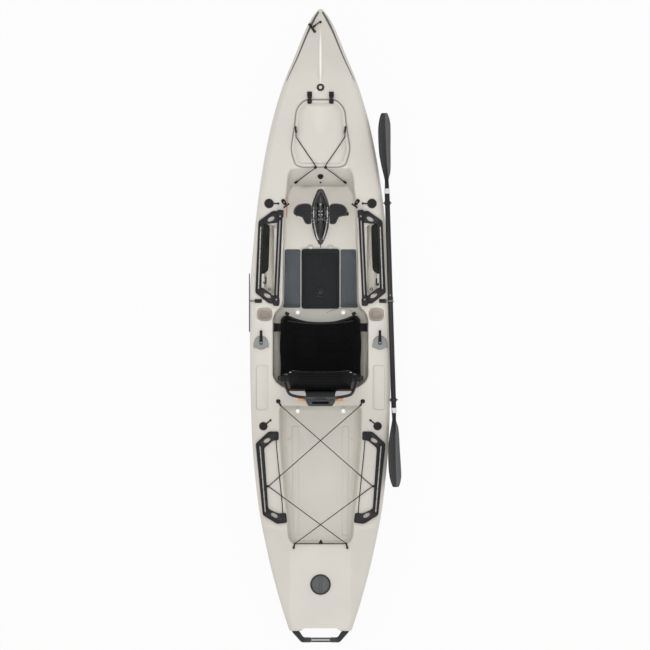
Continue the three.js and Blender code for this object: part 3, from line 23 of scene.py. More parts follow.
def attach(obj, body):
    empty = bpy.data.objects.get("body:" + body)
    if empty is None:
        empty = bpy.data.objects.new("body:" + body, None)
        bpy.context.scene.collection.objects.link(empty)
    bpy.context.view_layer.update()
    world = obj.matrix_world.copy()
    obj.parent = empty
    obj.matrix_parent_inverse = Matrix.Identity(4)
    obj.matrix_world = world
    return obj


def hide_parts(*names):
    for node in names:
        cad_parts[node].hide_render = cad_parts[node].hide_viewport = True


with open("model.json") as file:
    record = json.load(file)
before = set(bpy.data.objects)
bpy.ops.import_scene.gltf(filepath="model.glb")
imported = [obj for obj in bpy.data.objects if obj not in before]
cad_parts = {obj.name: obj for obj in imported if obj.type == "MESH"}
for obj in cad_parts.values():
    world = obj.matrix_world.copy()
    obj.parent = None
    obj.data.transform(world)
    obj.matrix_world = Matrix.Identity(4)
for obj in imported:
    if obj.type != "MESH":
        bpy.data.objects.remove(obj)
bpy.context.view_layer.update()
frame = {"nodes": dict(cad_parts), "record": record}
scene = bpy.context.scene

# %% [markdown]
# ## The camera
#
# The photograph looks straight down with the bow at the top, from far enough away that nothing grows
# or shrinks with height. So the camera is orthographic. One pixel is 6.144 mm at the boat's real
# length, and the picture is 650 pixels square.

# %% Camera
PIXEL = 0.006144
FRAME_PIXELS = 650
CENTRE_COLUMN = 320.5
CENTRE_ROW = 325.25
CAMERA_HEIGHT = 6


def at_pixel(column, row):
    """The point of the ground plan that a pixel of the photograph shows, as x and y in metres."""
    return (column - CENTRE_COLUMN) * PIXEL, (CENTRE_ROW - row) * PIXEL


camera_data = bpy.data.cameras.new("camera")
camera_data.type = "ORTHO"
camera_data.ortho_scale = FRAME_PIXELS * PIXEL
camera = bpy.data.objects.new("camera", camera_data)
scene.collection.objects.link(camera)
camera.location = (*at_pixel(FRAME_PIXELS / 2, FRAME_PIXELS / 2), CAMERA_HEIGHT)
scene.camera = camera
print("camera sees", round(camera_data.ortho_scale, 3), "m")

# %% [markdown]
# ## Light and floor
#
# A pale world lights everything evenly, and a long soft box over the keel line gives the deck its
# gentle shading, the same on both sides. A small box behind the seat leans forwards and lifts the
# walls of the cockpit, which the world alone leaves grey, and a narrow strip over the bow adds a little
# gloss along the centre ridge. The floor shows nearly white to the camera and to reflections, and keeps
# the boat's soft shadow.

# %% Light and floor
WORLD_LEVEL = 0.79
FLOOR_Z, FLOOR_HALF = -0.41, 9
FLOOR_GREY, WHITE_SHARE = 0.82, 0.93
LAMPS = {  # place, lean forwards and spread in degrees, width and length, power
    "long_box": ((0, -0.5, 3.4), 0, 180, (0.9, 4.6), 16),
    "well_box": ((0, -1.1, 2.2), 35, 24, (0.5, 0.8), 0.5),
    "bow_strip": ((-0.012, 1.5, 3.2), 0, 180, (0.02, 1.4), 1.2),
}


def area_light(name, place, lean, spread, size, power):
    """A soft rectangular lamp that the camera does not see itself."""
    data = bpy.data.lights.new(name, "AREA")
    data.shape = "RECTANGLE"
    data.size, data.size_y = size
    data.energy, data.spread = power, math.radians(spread)
    lamp = bpy.data.objects.new(name, data)
    lamp.location = place
    lamp.rotation_euler = (math.radians(lean), 0, 0)
    lamp.visible_camera = False
    scene.collection.objects.link(lamp)


world = bpy.data.worlds.new("studio")
scene.world = world
world.use_nodes = True
world.node_tree.nodes["Background"].inputs["Color"].default_value = (1, 1, 1, 1)
world.node_tree.nodes["Background"].inputs["Strength"].default_value = WORLD_LEVEL
for name, values in LAMPS.items():
    area_light(name, *values)
scene.view_settings.view_transform = "Standard"


def floor_finish():
    """Diffuse to every ray, with white mixed in for the camera and for reflections."""
    made = bpy.data.materials.new("floor")
    made.use_nodes = True
    nodes, links = made.node_tree.nodes, made.node_tree.links
    nodes.clear()
    diffuse = nodes.new("ShaderNodeBsdfDiffuse")
    diffuse.inputs["Color"].default_value = (FLOOR_GREY, FLOOR_GREY, FLOOR_GREY, 1)
    rays = nodes.new("ShaderNodeLightPath").outputs
    share = rays["Is Camera Ray"]
    for operation, other in (("MAXIMUM", rays["Is Glossy Ray"]), ("MAXIMUM", rays["Is Transmission Ray"]),
                             ("MULTIPLY", WHITE_SHARE)):
        step = nodes.new("ShaderNodeMath")
        step.operation = operation
        links.new(share, step.inputs[0])
        if other is WHITE_SHARE:
            step.inputs[1].default_value = other
        else:
            links.new(other, step.inputs[1])
        share = step.outputs[0]
    mix = nodes.new("ShaderNodeMixShader")
    parts = (share, diffuse.outputs[0], nodes.new("ShaderNodeEmission").outputs[0])
    for output, socket in zip(parts, mix.inputs):
        links.new(output, socket)
    links.new(mix.outputs[0], nodes.new("ShaderNodeOutputMaterial").inputs[0])
    return made


floor_mesh = bpy.data.meshes.new("floor")
floor_corners = [(x * FLOOR_HALF, y * FLOOR_HALF, FLOOR_Z) for x, y in ((-1, -1), (1, -1), (1, 1), (-1, 1))]
floor_mesh.from_pydata(floor_corners, [], [(0, 1, 2, 3)])
floor = bpy.data.objects.new("floor", floor_mesh)
floor_mesh.materials.append(floor_finish())
scene.collection.objects.link(floor)

# %% [markdown]
# ## Finishes
#
# Each finish starts from the colour that the photograph shows, given as it is written for a screen and
# turned into the linear value that the renderer wants. Noise at two scales then breaks it up: a broad
# one for the uneven tone of moulded plastic, and a fine one for the grain, which also goes into the
# bump. Edges that stand out are a little paler, as handling leaves them, and the ridge on the bow deck
# carries a painted highlight that makes it nearly white.

# %% Finishes
def linear(colour):
    """A screen colour of 0 to 255 as linear light, with an alpha of 1."""
    shares = [c / 255 for c in colour]
    return tuple(c / 12.92 if c <= 0.04045 else ((c + 0.055) / 1.055) ** 2.4 for c in shares) + (1,)


def toned(base, share):
    """A linear colour made darker or lighter by a share, with an alpha of 1."""
    return tuple(min(1, c * share) for c in base[:3]) + (1,)


class Finish:
    """A material under construction, with short ways to add and join nodes."""

    def __init__(self, name):
        self.material = bpy.data.materials.new(name)
        self.material.use_nodes = True
        self.nodes = self.material.node_tree.nodes
        self.links = self.material.node_tree.links
        self.shader = self.nodes["Principled BSDF"]
        self.place = self.nodes.new("ShaderNodeTexCoord").outputs["Object"]

    def add(self, kind, **values):
        """A node of the given kind. Values go to its properties, or to its inputs by name."""
        node = self.nodes.new("ShaderNode" + kind)
        for key, value in values.items():
            if hasattr(node, key):
                setattr(node, key, value)
            else:
                node.inputs[key.replace("_", " ")].default_value = value
        return node

    def join(self, output, target):
        self.links.new(output, target)

    def noise(self, scale, detail=3.0, stretch=None):
        """Noise in object space, with that many features in a metre."""
        made = self.add("TexNoise", Scale=scale, Detail=detail)
        self.join(self.mapped(self.place, stretch) if stretch else self.place, made.inputs["Vector"])
        return made.outputs["Fac"]

    def mapped(self, source, stretch, shift=(0, 0, 0)):
        """Coordinates stretched and then shifted."""
        made = self.add("Mapping", Scale=stretch, Location=shift)
        self.join(source, made.inputs["Vector"])
        return made.outputs["Vector"]

    def near(self, centre, reach):
        """1 round a centre, falling to 0 at an ellipsoid of the given reach."""
        place = self.mapped(self.place, [1 / r for r in reach], [-c / r for c, r in zip(centre, reach)])
        length = self.add("VectorMath", operation="LENGTH")
        self.join(place, length.inputs[0])
        return self.ramp(length.outputs["Value"], 1, 0, 0.55, 1)

    def two(self, operation, first, second):
        """Two values in one sum, product or maximum."""
        made = self.add("Math", operation=operation)
        self.join(first, made.inputs[0])
        self.join(second, made.inputs[1])
        return made.outputs[0]

    def wave(self, source, direction, **values):
        """Bands across the coordinates."""
        made = self.add("TexWave", wave_type="BANDS", bands_direction=direction, **values)
        self.join(source, made.inputs["Vector"])
        return made.outputs["Fac"]

    def finished(self, colour, relief, **values):
        """The material, with its colour, its relief and its plain values on the shader's own sockets."""
        self.join(colour, self.shader.inputs["Base Color"])
        self.join(relief, self.shader.inputs["Normal"])
        for key, value in values.items():
            target = self.shader.inputs[key.replace("_", " ")]
            if isinstance(value, (int, float)):
                target.default_value = value
            else:
                self.join(value, target)
        return self.material

    def ramp(self, value, low, high, from_low=0.3, from_high=0.7):
        """A value carried smoothly from one range to another."""
        made = self.add("MapRange", From_Min=from_low, From_Max=from_high, To_Min=low, To_Max=high)
        self.join(value, made.inputs["Value"])
        return made.outputs["Result"]

    def blend(self, share, first, second):
        """Two colours, or colour sockets, mixed by a share."""
        made = self.add("Mix", data_type="RGBA")
        self.join(share, made.inputs["Factor"])
        for given, socket in ((first, made.inputs["A"]), (second, made.inputs["B"])):
            if isinstance(given, tuple):
                socket.default_value = given
            else:
                self.join(given, socket)
        return made.outputs["Result"]

    def bump(self, height, distance, strength):
        """Relief of the given depth."""
        made = self.add("Bump", Strength=strength, Distance=distance)
        self.join(height, made.inputs["Height"])
        return made.outputs["Normal"]


def plastic(name, colour, roughness, grain=0.00015, grain_scale=900, tone=0.06, worn=0.25, coat=0.0,
            coat_rough=0.25, shine=0.5, painted_highlight=None):
    """Moulded plastic: uneven tone, a fine grain in the bump, paler worn edges and perhaps a painted
    highlight.
    """
    made = Finish(name)
    base = linear(colour)
    body = made.blend(made.ramp(made.noise(5, 4), 0, 1), toned(base, 1 - tone), toned(base, 1 + tone))
    edge = made.ramp(made.add("NewGeometry").outputs["Pointiness"], 0, worn, 0.52, 0.62)
    rubbed = tuple(c + (1 - c) * 0.25 for c in base[:3]) + (1,)
    body = made.blend(edge, body, rubbed)
    # A painted highlight: a paler colour laid on one place, standing in for light shining there.
    if painted_highlight:
        centre, reach, pale = painted_highlight
        body = made.blend(made.near(centre, reach), body, linear(pale))
    return made.finished(
        body, made.bump(made.noise(grain_scale, 2), grain, 0.6), Coat_Weight=coat,
        Coat_Roughness=coat_rough, Roughness=made.ramp(made.noise(60, 3), roughness - 0.06, roughness + 0.06),
        Specular_IOR_Level=shine)


def metal(name, colour, roughness, stretch=(400, 6, 400)):
    """Bare or anodised metal with fine lines drawn out along one axis."""
    made = Finish(name)
    base = linear(colour)
    lines = made.noise(1, 4, stretch)
    body = made.blend(made.ramp(lines, 0, 1), toned(base, 0.85), base)
    return made.finished(body, made.bump(lines, 0.00005, 0.4), Metallic=1.0,
                         Roughness=made.ramp(lines, roughness - 0.08, roughness + 0.08))


def foam(name, colour):
    """Closed-cell foam: a field of small dimples over a soft matt body."""
    made = Finish(name)
    base = linear(colour)
    cells = made.add("TexVoronoi", Scale=420)
    made.join(made.place, cells.inputs["Vector"])
    body = made.blend(made.ramp(made.noise(9, 3), 0, 1), toned(base, 0.9), toned(base, 1.1))
    return made.finished(body, made.bump(cells.outputs["Distance"], 0.0006, 0.7), Roughness=0.88)


def woven(name, colour, pitch=0.0022, sheen=0.25):
    """Open mesh cloth: threads in two directions rise and dip, and the gaps between them are darker."""
    made = Finish(name)
    base = linear(colour)
    threads = [made.wave(made.place, axis, Scale=math.pi / (pitch * 10), Distortion=0.4)
               for axis in ("X", "Y")]
    both = made.two("MULTIPLY", *threads)
    body = made.blend(made.ramp(both, 0, 1, 0, 0.8), toned(base, 0.45), base)
    faded = made.blend(made.ramp(made.noise(7, 4), 0, 0.35), body, toned(base, 2.2))
    return made.finished(faded, made.bump(both, 0.0007, 0.8), Roughness=0.9, Specular_IOR_Level=0.1,
                         Sheen_Weight=sheen, Sheen_Roughness=0.5)


def braided(name, colour, fleck):
    """Cord with a braided cover. Its own map runs round the cord in u and along it, in metres, in v."""
    made = Finish(name)
    uv = made.add("UVMap").outputs["UV"]
    strands = [made.wave(made.mapped(uv, (4, 260 * side, 1)), "DIAGONAL", Scale=0.32) for side in (1, -1)]
    over = made.two("MAXIMUM", *strands)
    body = made.blend(made.ramp(over, 0, 1, 0.6, 1), linear(colour), linear(fleck))
    return made.finished(body, made.bump(over, 0.0006, 0.8), Roughness=0.8)


# A painted highlight: the crest of the bow ridge is painted nearly white, as if it caught the lamps.
RIDGE_PAINTED_HIGHLIGHT = ((0, 1.648, 0.34), (0.0085, 0.192, 0.2), (255, 254, 248))
HULL = plastic("hull_plastic", (219, 214, 204), 0.36, grain=0.0001, grain_scale=350, tone=0.02, worn=0.05,
               coat=0.5, coat_rough=0.1, painted_highlight=RIDGE_PAINTED_HIGHLIGHT)
BLACK = plastic("black_plastic", (17, 16, 16), 0.5, shine=0.3)
BLACK_GLOSS = plastic("black_gloss", (24, 23, 24), 0.24, coat=0.4)
PEDAL = plastic("pedal_plastic", (36, 32, 36), 0.36, grain=0.0004)
HANDLE = plastic("handle_plastic", (44, 47, 50), 0.5, grain=0.0003, shine=0.3)
RAIL = plastic("rail_plastic", (31, 27, 29), 0.55, shine=0.3)
LID = plastic("lid_plastic", (20, 23, 26), 0.6, grain=0.0003, shine=0.25)
STRIP = plastic("rail_strip", (150, 145, 147), 0.5)
# Painted shade: a grey for the shadowed gap that outlines the bow hatch lid.
LID_RING_PAINTED_SHADE = plastic("lid_ring_painted_shade", (158, 153, 145), 0.6)
DISC = plastic("disc_plastic", (148, 150, 147), 0.45)
GRIP = plastic("grip_plastic", (175, 176, 178), 0.6, grain=0.0004)
BLADE = plastic("blade_nylon", (30, 31, 33), 0.5, shine=0.35)
# Painted light: a lighter copy of the blade's colour for the half that faces the lamps.
BLADE_PAINTED_LIGHT = plastic("blade_painted_light", (84, 85, 87), 0.5, shine=0.35)
SHAFT = plastic("shaft_plastic", (14, 15, 15), 0.36, shine=0.35)
BAND = plastic("band_plastic", (225, 228, 228), 0.4)
SCUPPER = plastic("scupper_plastic", (244, 244, 242), 0.35)
# Painted shade: a darker beige for the shadow inside the cup recesses.
CUP_PAINTED_SHADE = plastic("cup_painted_shade", (184, 173, 166), 0.65)
FIN = plastic("fin_rubber", (42, 44, 47), 0.6, grain=0.0003)
RUBBER = plastic("rubber", (40, 37, 36), 0.7, grain=0.0004, shine=0.3)
INSERT = plastic("track_insert", (214, 212, 208), 0.5)
# Painted shade: a dark grey for the shadow in the grooves under the bow's edges.
GROOVE_PAINTED_SHADE = plastic("groove_painted_shade", (84, 84, 79), 0.6)
ORANGE = plastic("orange_strap", (208, 146, 88), 0.7, grain=0.0005)
# A painted highlight: a paler grey for the light along the pedal's outer front edge.
PEDAL_RIM_PAINTED_HIGHLIGHT = plastic("pedal_rim_painted_highlight", (74, 72, 75), 0.45, grain=0.0003, shine=0.5)
PEDAL_PAD = plastic("pedal_pad", (11, 10, 11), 0.65, grain=0.0005, shine=0.15)
HATCH_GREY = plastic("hatch_plastic", (92, 93, 95), 0.42, grain=0.0003)
# A painted highlight: bright metal strips for the light caught along the glossy drive legs.
LEG_STRIP_PAINTED_HIGHLIGHT = metal("leg_painted_highlight", (214, 214, 216), 0.3)
FOAM = foam("foam", (86, 90, 95))
CLOTH = woven("mesh_cloth", (9, 9, 9), sheen=0.03)
PIPING = woven("piping", (52, 52, 54), pitch=0.0015)
NET = woven("pocket_net", (44, 44, 40), pitch=0.006, sheen=0.1)
WEBBING = woven("webbing", (32, 32, 33), pitch=0.003)
ALLOY = metal("anodised_alloy", (118, 112, 112), 0.4)
ALLOY_BRIGHT = metal("bright_alloy", (178, 178, 182), 0.28)
STEEL = metal("steel", (170, 170, 172), 0.34)
CORD = braided("cord", (26, 25, 25), (58, 56, 55))
CORD_PALE = braided("cord_pale", (120, 118, 114), (170, 168, 164))
print("finishes", len(bpy.data.materials))

# %% [markdown]
# ## Shapes from outlines and paths
#
# Three ways of making a shape cover nearly everything here. A *stack* takes an outline with rounded
# corners and repeats it at several heights, drawn in or out. A *sweep* carries a circle along a smooth
# path. A *turning* spins a profile round an axis. Each gives a closed skin, kept as points and faces
# until it is built, so it can be moved, turned and mirrored first.

# %% Shapes
class Shape:
    """The points and faces of one or more closed skins, with a map along a cord if it has one."""

    def __init__(self, points, faces, uv=None):
        self.points = np.asarray(points, float).reshape(-1, 3)
        self.faces = faces
        self.uv = uv if uv is not None else np.zeros((len(self.points), 2))

    def __add__(self, other):
        shift = len(self.points)
        return Shape(
            np.vstack([self.points, other.points]),
            self.faces + [tuple(i + shift for i in face) for face in other.faces],
            np.vstack([self.uv, other.uv]),
        )

    def moved(self, x=0.0, y=0.0, z=0.0):
        return Shape(self.points + [x, y, z], self.faces, self.uv)

    def turned(self, axis, degrees):
        matrix = np.array(Matrix.Rotation(math.radians(degrees), 3, axis))
        return Shape(self.points @ matrix.T, self.faces, self.uv)

    def scaled(self, x=1.0, y=1.0, z=1.0):
        return Shape(self.points * [x, y, z], self.faces, self.uv)

    def mirrored(self):
        return Shape(self.points * [-1, 1, 1], [tuple(reversed(face)) for face in self.faces], self.uv)

    def both_sides(self):
        return self + self.mirrored()


def joined(shapes):
    """Several shapes as one."""
    shapes = list(shapes)
    total = shapes[0]
    for shape in shapes[1:]:
        total = total + shape
    return total


def loft(rings, uv=None):
    """Rings with equal counts of points, joined by strips and closed by a face at each end."""
    rings = np.asarray(rings, float)
    rows, count = rings.shape[:2]
    row, column = np.meshgrid(np.arange(rows - 1), np.arange(count), indexing="ij")
    after = (column + 1) % count
    low, high = row * count, (row + 1) * count
    strips = np.stack([low + column, low + after, high + after, high + column], -1)
    faces = [tuple(face) for face in strips.reshape(-1, 4).tolist()]
    faces.append(tuple(range(count))[::-1])
    faces.append(tuple(range((rows - 1) * count, rows * count)))
    return Shape(rings.reshape(-1, 3), faces, uv)


def anticlockwise(points):
    """The corners of an outline in anticlockwise order."""
    p = np.asarray(points, float)
    q = np.roll(p, -1, axis=0)
    area = np.sum(p[:, 0] * q[:, 1] - q[:, 0] * p[:, 1])
    return p if area > 0 else p[::-1]


def dome(points, corner, levels, rise, steps=6):
    """A stack whose top swells: past the last level its outline shrinks towards the middle as it rises."""
    base = stack(points, corner, levels, steps)
    count = len(base.points) // len(levels)
    last = base.points[-count:]
    middle = last.mean(axis=0)
    rings = list(base.points.reshape(-1, count, 3))
    for k in (0.97, 0.92, 0.84, 0.72, 0.56, 0.38, 0.2, 0.06):
        ring = middle + (last - middle) * [k, k, 1]
        rings.append(ring + [0, 0, rise * math.sqrt(1 - k * k)])
    return loft(rings)


def inset(points, distance):
    """An outline moved inwards by a distance, each corner along its own mitre."""
    before = points - np.roll(points, 1, axis=0)
    after = np.roll(points, -1, axis=0) - points
    before /= np.linalg.norm(before, axis=1, keepdims=True)
    after /= np.linalg.norm(after, axis=1, keepdims=True)
    mitre = np.stack([-before[:, 1] - after[:, 1], before[:, 0] + after[:, 0]], 1)
    return points + mitre * (distance / (1 + np.sum(before * after, axis=1)))[:, None]


def rounded(points, radius, steps):
    """Each corner as a curve that is tangent to both of its sides."""
    ring = []
    for i, corner in enumerate(points):
        sides = [points[i - 1] - corner, points[(i + 1) % len(points)] - corner]
        lengths = [np.linalg.norm(side) for side in sides]
        reach = min(radius, 0.45 * lengths[0], 0.45 * lengths[1])
        start, end = (corner + side / length * reach for side, length in zip(sides, lengths))
        for t in np.linspace(0, 1, steps + 1):
            ring.append((1 - t) ** 2 * start + 2 * t * (1 - t) * corner + t * t * end)
    return np.array(ring)


def stack(points, corner, levels, steps=6):
    """A body of stacked outlines. Each level is how far the outline is drawn in, and its height."""
    corners = anticlockwise(points)
    rings = []
    for drawn, z in levels:
        ring = rounded(inset(corners, drawn), max(corner - drawn, 0.0004), steps)
        rings.append(np.column_stack([ring, np.full(len(ring), z)]))
    return loft(rings)


def slab(low, high, edge):
    """Levels of a plate between two heights whose edges are rounded."""
    arc = [math.radians(a) for a in (0, 30, 60, 90)]
    bottom = [(edge * (1 - math.sin(a)), low + edge * (1 - math.cos(a))) for a in arc]
    top = [(edge * (1 - math.cos(a)), high - edge + edge * math.sin(a)) for a in arc]
    return bottom + top


def mirrored_outline(points):
    """A whole outline from its starboard half, bow first."""
    return list(points) + [(-x, y) for x, y in reversed(list(points))]


def rectangle(x0, x1, y0, y1):
    """The corners of a rectangle."""
    return [(x0, y0), (x1, y0), (x1, y1), (x0, y1)]


def block(width, depth, height, edge=0.0015, corner=0.002, steps=2):
    """A box with rounded edges, centred on the origin."""
    outline = rectangle(-width / 2, width / 2, -depth / 2, depth / 2)
    return stack(outline, corner, slab(-height / 2, height / 2, min(edge, 0.45 * height)), steps)


def smooth_path(points, spacing):
    """A Catmull-Rom curve through the points, as evenly spaced points a spacing apart."""
    p = np.asarray(points, float)
    padded = np.vstack([2 * p[0] - p[1], p, 2 * p[-1] - p[-2]])
    run = []
    for i in range(len(p) - 1):
        a, b, c, d = padded[i:i + 4]
        t = np.linspace(0, 1, 24, endpoint=False)[:, None]
        run.append(0.5 * (2 * b + (c - a) * t + (2 * a - 5 * b + 4 * c - d) * t**2
                          + (3 * b - a - 3 * c + d) * t**3))
    run = np.vstack(run + [p[-1:]])
    place = np.concatenate([[0], np.cumsum(np.linalg.norm(np.diff(run, axis=0), axis=1))])
    even = np.linspace(0, place[-1], max(2, round(place[-1] / spacing) + 1))
    return np.column_stack([np.interp(even, place, run[:, k]) for k in range(3)])


def sweep(path, radius, sides=14):
    """A round bar along a path. The radius is one number, or several, spread evenly along the path."""
    path = np.asarray(path, float)
    radii = np.interp(np.linspace(0, 1, len(path)), np.linspace(0, 1, np.size(radius)), np.ravel(radius))
    tangents = np.gradient(path, axis=0)
    tangents /= np.linalg.norm(tangents, axis=1, keepdims=True)
    side = np.cross(tangents[0], [0.13, 0.21, 0.97])
    side /= np.linalg.norm(side)
    angle = np.arange(sides) / sides * 2 * np.pi
    place = np.concatenate([[0], np.cumsum(np.linalg.norm(np.diff(path, axis=0), axis=1))])
    rings, uv = [], []
    for point, tangent, r, v in zip(path, tangents, radii, place):
        side = side - tangent * side.dot(tangent)
        side /= np.linalg.norm(side)
        up = np.cross(tangent, side)
        rings.append(point + r * (np.cos(angle)[:, None] * side + np.sin(angle)[:, None] * up))
        uv.append(np.column_stack([angle / (2 * np.pi), np.full(sides, v)]))
    return loft(rings, np.vstack(uv))


def rope(points, radius, spacing=0.006, sides=10):
    """A cord on a smooth curve through the points."""
    return sweep(smooth_path(points, spacing), radius, sides)


def turning(profile, sides=40):
    """A profile of radius and height pairs, from axis to axis, spun round the Z axis."""
    angle = np.arange(sides) / sides * 2 * np.pi
    rings = [np.column_stack([max(r, 0.0002) * np.cos(angle), max(r, 0.0002) * np.sin(angle),
                              np.full(sides, z)])
             for r, z in profile]
    return loft(rings)


def disc(radius, low, high, edge=0.0015, sides=40):
    """A round plate with rounded edges."""
    levels = slab(low, high, min(edge, 0.45 * (high - low)))
    return turning([(radius - drawn, z) for drawn, z in levels], sides)


def along_x(shape):
    """A shape that stands along Z, laid along X."""
    return shape.turned("Y", 90)


def along_y(shape):
    """A shape that stands along Z, laid along Y."""
    return shape.turned("X", 90)


def bare(name, shape):
    """An object with the shape's mesh, its faces turned outwards."""
    mesh = bpy.data.meshes.new(name)
    mesh.from_pydata(shape.points.tolist(), [], shape.faces)
    if shape.uv.any():
        layer = mesh.uv_layers.new(name="UVMap")
        corner = np.zeros(len(mesh.loops), np.int32)
        mesh.loops.foreach_get("vertex_index", corner)
        layer.data.foreach_set("uv", shape.uv[corner].ravel())
    work = bmesh.new()
    work.from_mesh(mesh)
    bmesh.ops.recalc_face_normals(work, faces=work.faces)
    work.to_mesh(mesh)
    work.free()
    made = bpy.data.objects.new(name, mesh)
    scene.collection.objects.link(made)
    return made


def apply_modifiers(obj):
    """The object's mesh becomes what its modifiers make of it."""
    bpy.context.view_layer.update()
    seen = obj.evaluated_get(bpy.context.evaluated_depsgraph_get())
    mesh = bpy.data.meshes.new_from_object(seen)
    obj.modifiers.clear()
    obj.data = mesh


def combine(obj, shape, operation="DIFFERENCE"):
    """Cuts a shape out of the object, or joins it on."""
    tool = bare("tool", shape)
    change = obj.modifiers.new("change", "BOOLEAN")
    change.operation, change.solver, change.object = operation, "MANIFOLD", tool
    apply_modifiers(obj)
    bpy.data.objects.remove(tool)


def build(name, shape, finish, body="boat", replaces=(), cuts=(), bevel=0.0, smooth=35):
    """A finished piece: its shape, less its cuts, with softened edges, in its finish, riding on its body."""
    made = bare(name, shape)
    for cut in cuts:
        combine(made, cut)
    if bevel:
        soften = made.modifiers.new("soften", "BEVEL")
        soften.width, soften.segments, soften.limit_method = bevel, 2, "ANGLE"
        soften.angle_limit = math.radians(40)
        apply_modifiers(made)
    made.data.materials.clear()
    made.data.materials.append(finish)
    made.data.shade_smooth()
    made.data.set_sharp_from_angle(angle=math.radians(smooth))
    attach(made, body)
    if replaces:
        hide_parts(replaces)
    return made


def build_pair(name, shape, finish, body="boat", replaces=None, cuts=(), **more):
    """The same piece on both sides, starboard first. A body or node name ending in _ gets its side's name."""
    made = []
    for side, here in (("starboard", shape), ("port", shape.mirrored())):
        rides = body + side if body.endswith("_") else body
        nodes = replaces + side if replaces else ()
        cuts_here = cuts if side == "starboard" else [cut.mirrored() for cut in cuts]
        made.append(build(f"{name}_{side}", here, finish, rides, nodes, cuts_here, **more))
    return made


print("shapes ready")

# %% [markdown]
# ## The hull
#
# The hull is a loft of cross-sections. Its half width, the height of its deck and the height of its
# keel are curves along the boat, each given as a short table of shares. The same curves shape the CAD
# solid, so every fitting meets the deck where it should. The deck's edge rolls over in a wide curve,
# the bow is crowned with a fine ridge, and beside the stern hatch the shoulders fall away outwards.

# %% Hull curves
LENGTH, STERN_Y, BOW_Y = 3.822, -1.879, 1.943
BEAM, DEPTH = 0.866, 0.3
BEAM_SHARES = [(0, 0.44), (0.05, 0.58), (0.12, 0.74), (0.21, 0.89), (0.32, 0.975), (0.44, 1), (0.54, 1),
               (0.63, 0.945), (0.72, 0.852), (0.8, 0.725), (0.87, 0.555), (0.93, 0.345), (0.98, 0.155),
               (1, 0.03)]
DECK_SHARES = [(0, 0.97), (0.14, 0.97), (0.25, 1), (0.74, 1), (0.87, 1.115), (1, 1.29)]
KEEL_SHARES = [(0, 0.36), (0.06, 0.2), (0.14, 0.07), (0.24, 0), (0.72, 0), (0.82, 0.03), (0.9, 0.11),
               (0.95, 0.24), (0.98, 0.42), (1, 0.72)]
FULLNESS_SHARES = [(0, 0.6), (0.3, 0.5), (0.65, 0.52), (0.85, 0.8), (1, 1)]
CROWN_SHARES = [(0, 0), (0.87, 0), (0.93, 1), (1, 0.4)]
CROWN = 0.02
KEEL_FLAT = 0.045
EDGE_WIDE, EDGE_TALL = 0.028, 0.024
END_ROUND = 0.012
SHOULDER = {"x": 0.19, "y": -1.235, "run": 0.06, "slope": 0.13}
RIDGE = {"rise": 0.004, "width": 0.0125, "aft": 1.505, "fore": 1.8, "run": 0.03}


def along(shares, place):
    """A smooth curve through a table that never overshoots it: its slopes are harmonic means."""
    at, value = np.array(shares, float).T
    step = np.diff(value) / np.diff(at)
    both = step[:-1] * step[1:]
    middle = np.where(both > 0, 2 * both / np.where(both > 0, step[:-1] + step[1:], 1), 0)
    slope = np.concatenate([step[:1], middle, step[-1:]])
    i = np.clip(np.searchsorted(at, place) - 1, 0, len(at) - 2)
    width = at[i + 1] - at[i]
    t = (place - at[i]) / width
    u = 1 - t
    ends = value[i] * (1 + 2 * t) * u * u + value[i + 1] * t * t * (3 - 2 * t)
    return ends + width * (slope[i] * t * u * u - slope[i + 1] * t * t * u)


def share_at(y):
    """A place along the boat as a share, 0 at the stern and 1 at the bow."""
    return (np.asarray(y, float) - STERN_Y) / LENGTH


def half_beam(y):
    """The hull's half width at a place along the boat."""
    return BEAM / 2 * along(BEAM_SHARES, share_at(y))


def deck_at(y):
    """The deck's height by the edge at a place along the boat."""
    return DEPTH * np.interp(share_at(y), *zip(*DECK_SHARES))


def ease(t):
    """From 0 to 1 with level ends."""
    t = np.clip(t, 0, 1)
    return t * t * (3 - 2 * t)


def top_at(x, y):
    """Height of the deck at any point: its run, the bow's crown and ridge, and the stern's shoulders."""
    x, y = np.abs(np.asarray(x, float)), np.asarray(y, float)
    half = half_beam(y)
    crown = CROWN * along(CROWN_SHARES, share_at(y)) * np.interp(x / half, [0, 0.45, 0.85], [1, 0.45, 0])
    window = ease((y - RIDGE["aft"]) / RIDGE["run"]) * ease((RIDGE["fore"] - y) / RIDGE["run"])
    ridge = RIDGE["rise"] * np.exp(-((x / RIDGE["width"]) ** 4)) * window
    fall = SHOULDER["slope"] * np.maximum(0, x - SHOULDER["x"]) * ease((SHOULDER["y"] - y) / SHOULDER["run"])
    return deck_at(y) + crown + ridge - fall


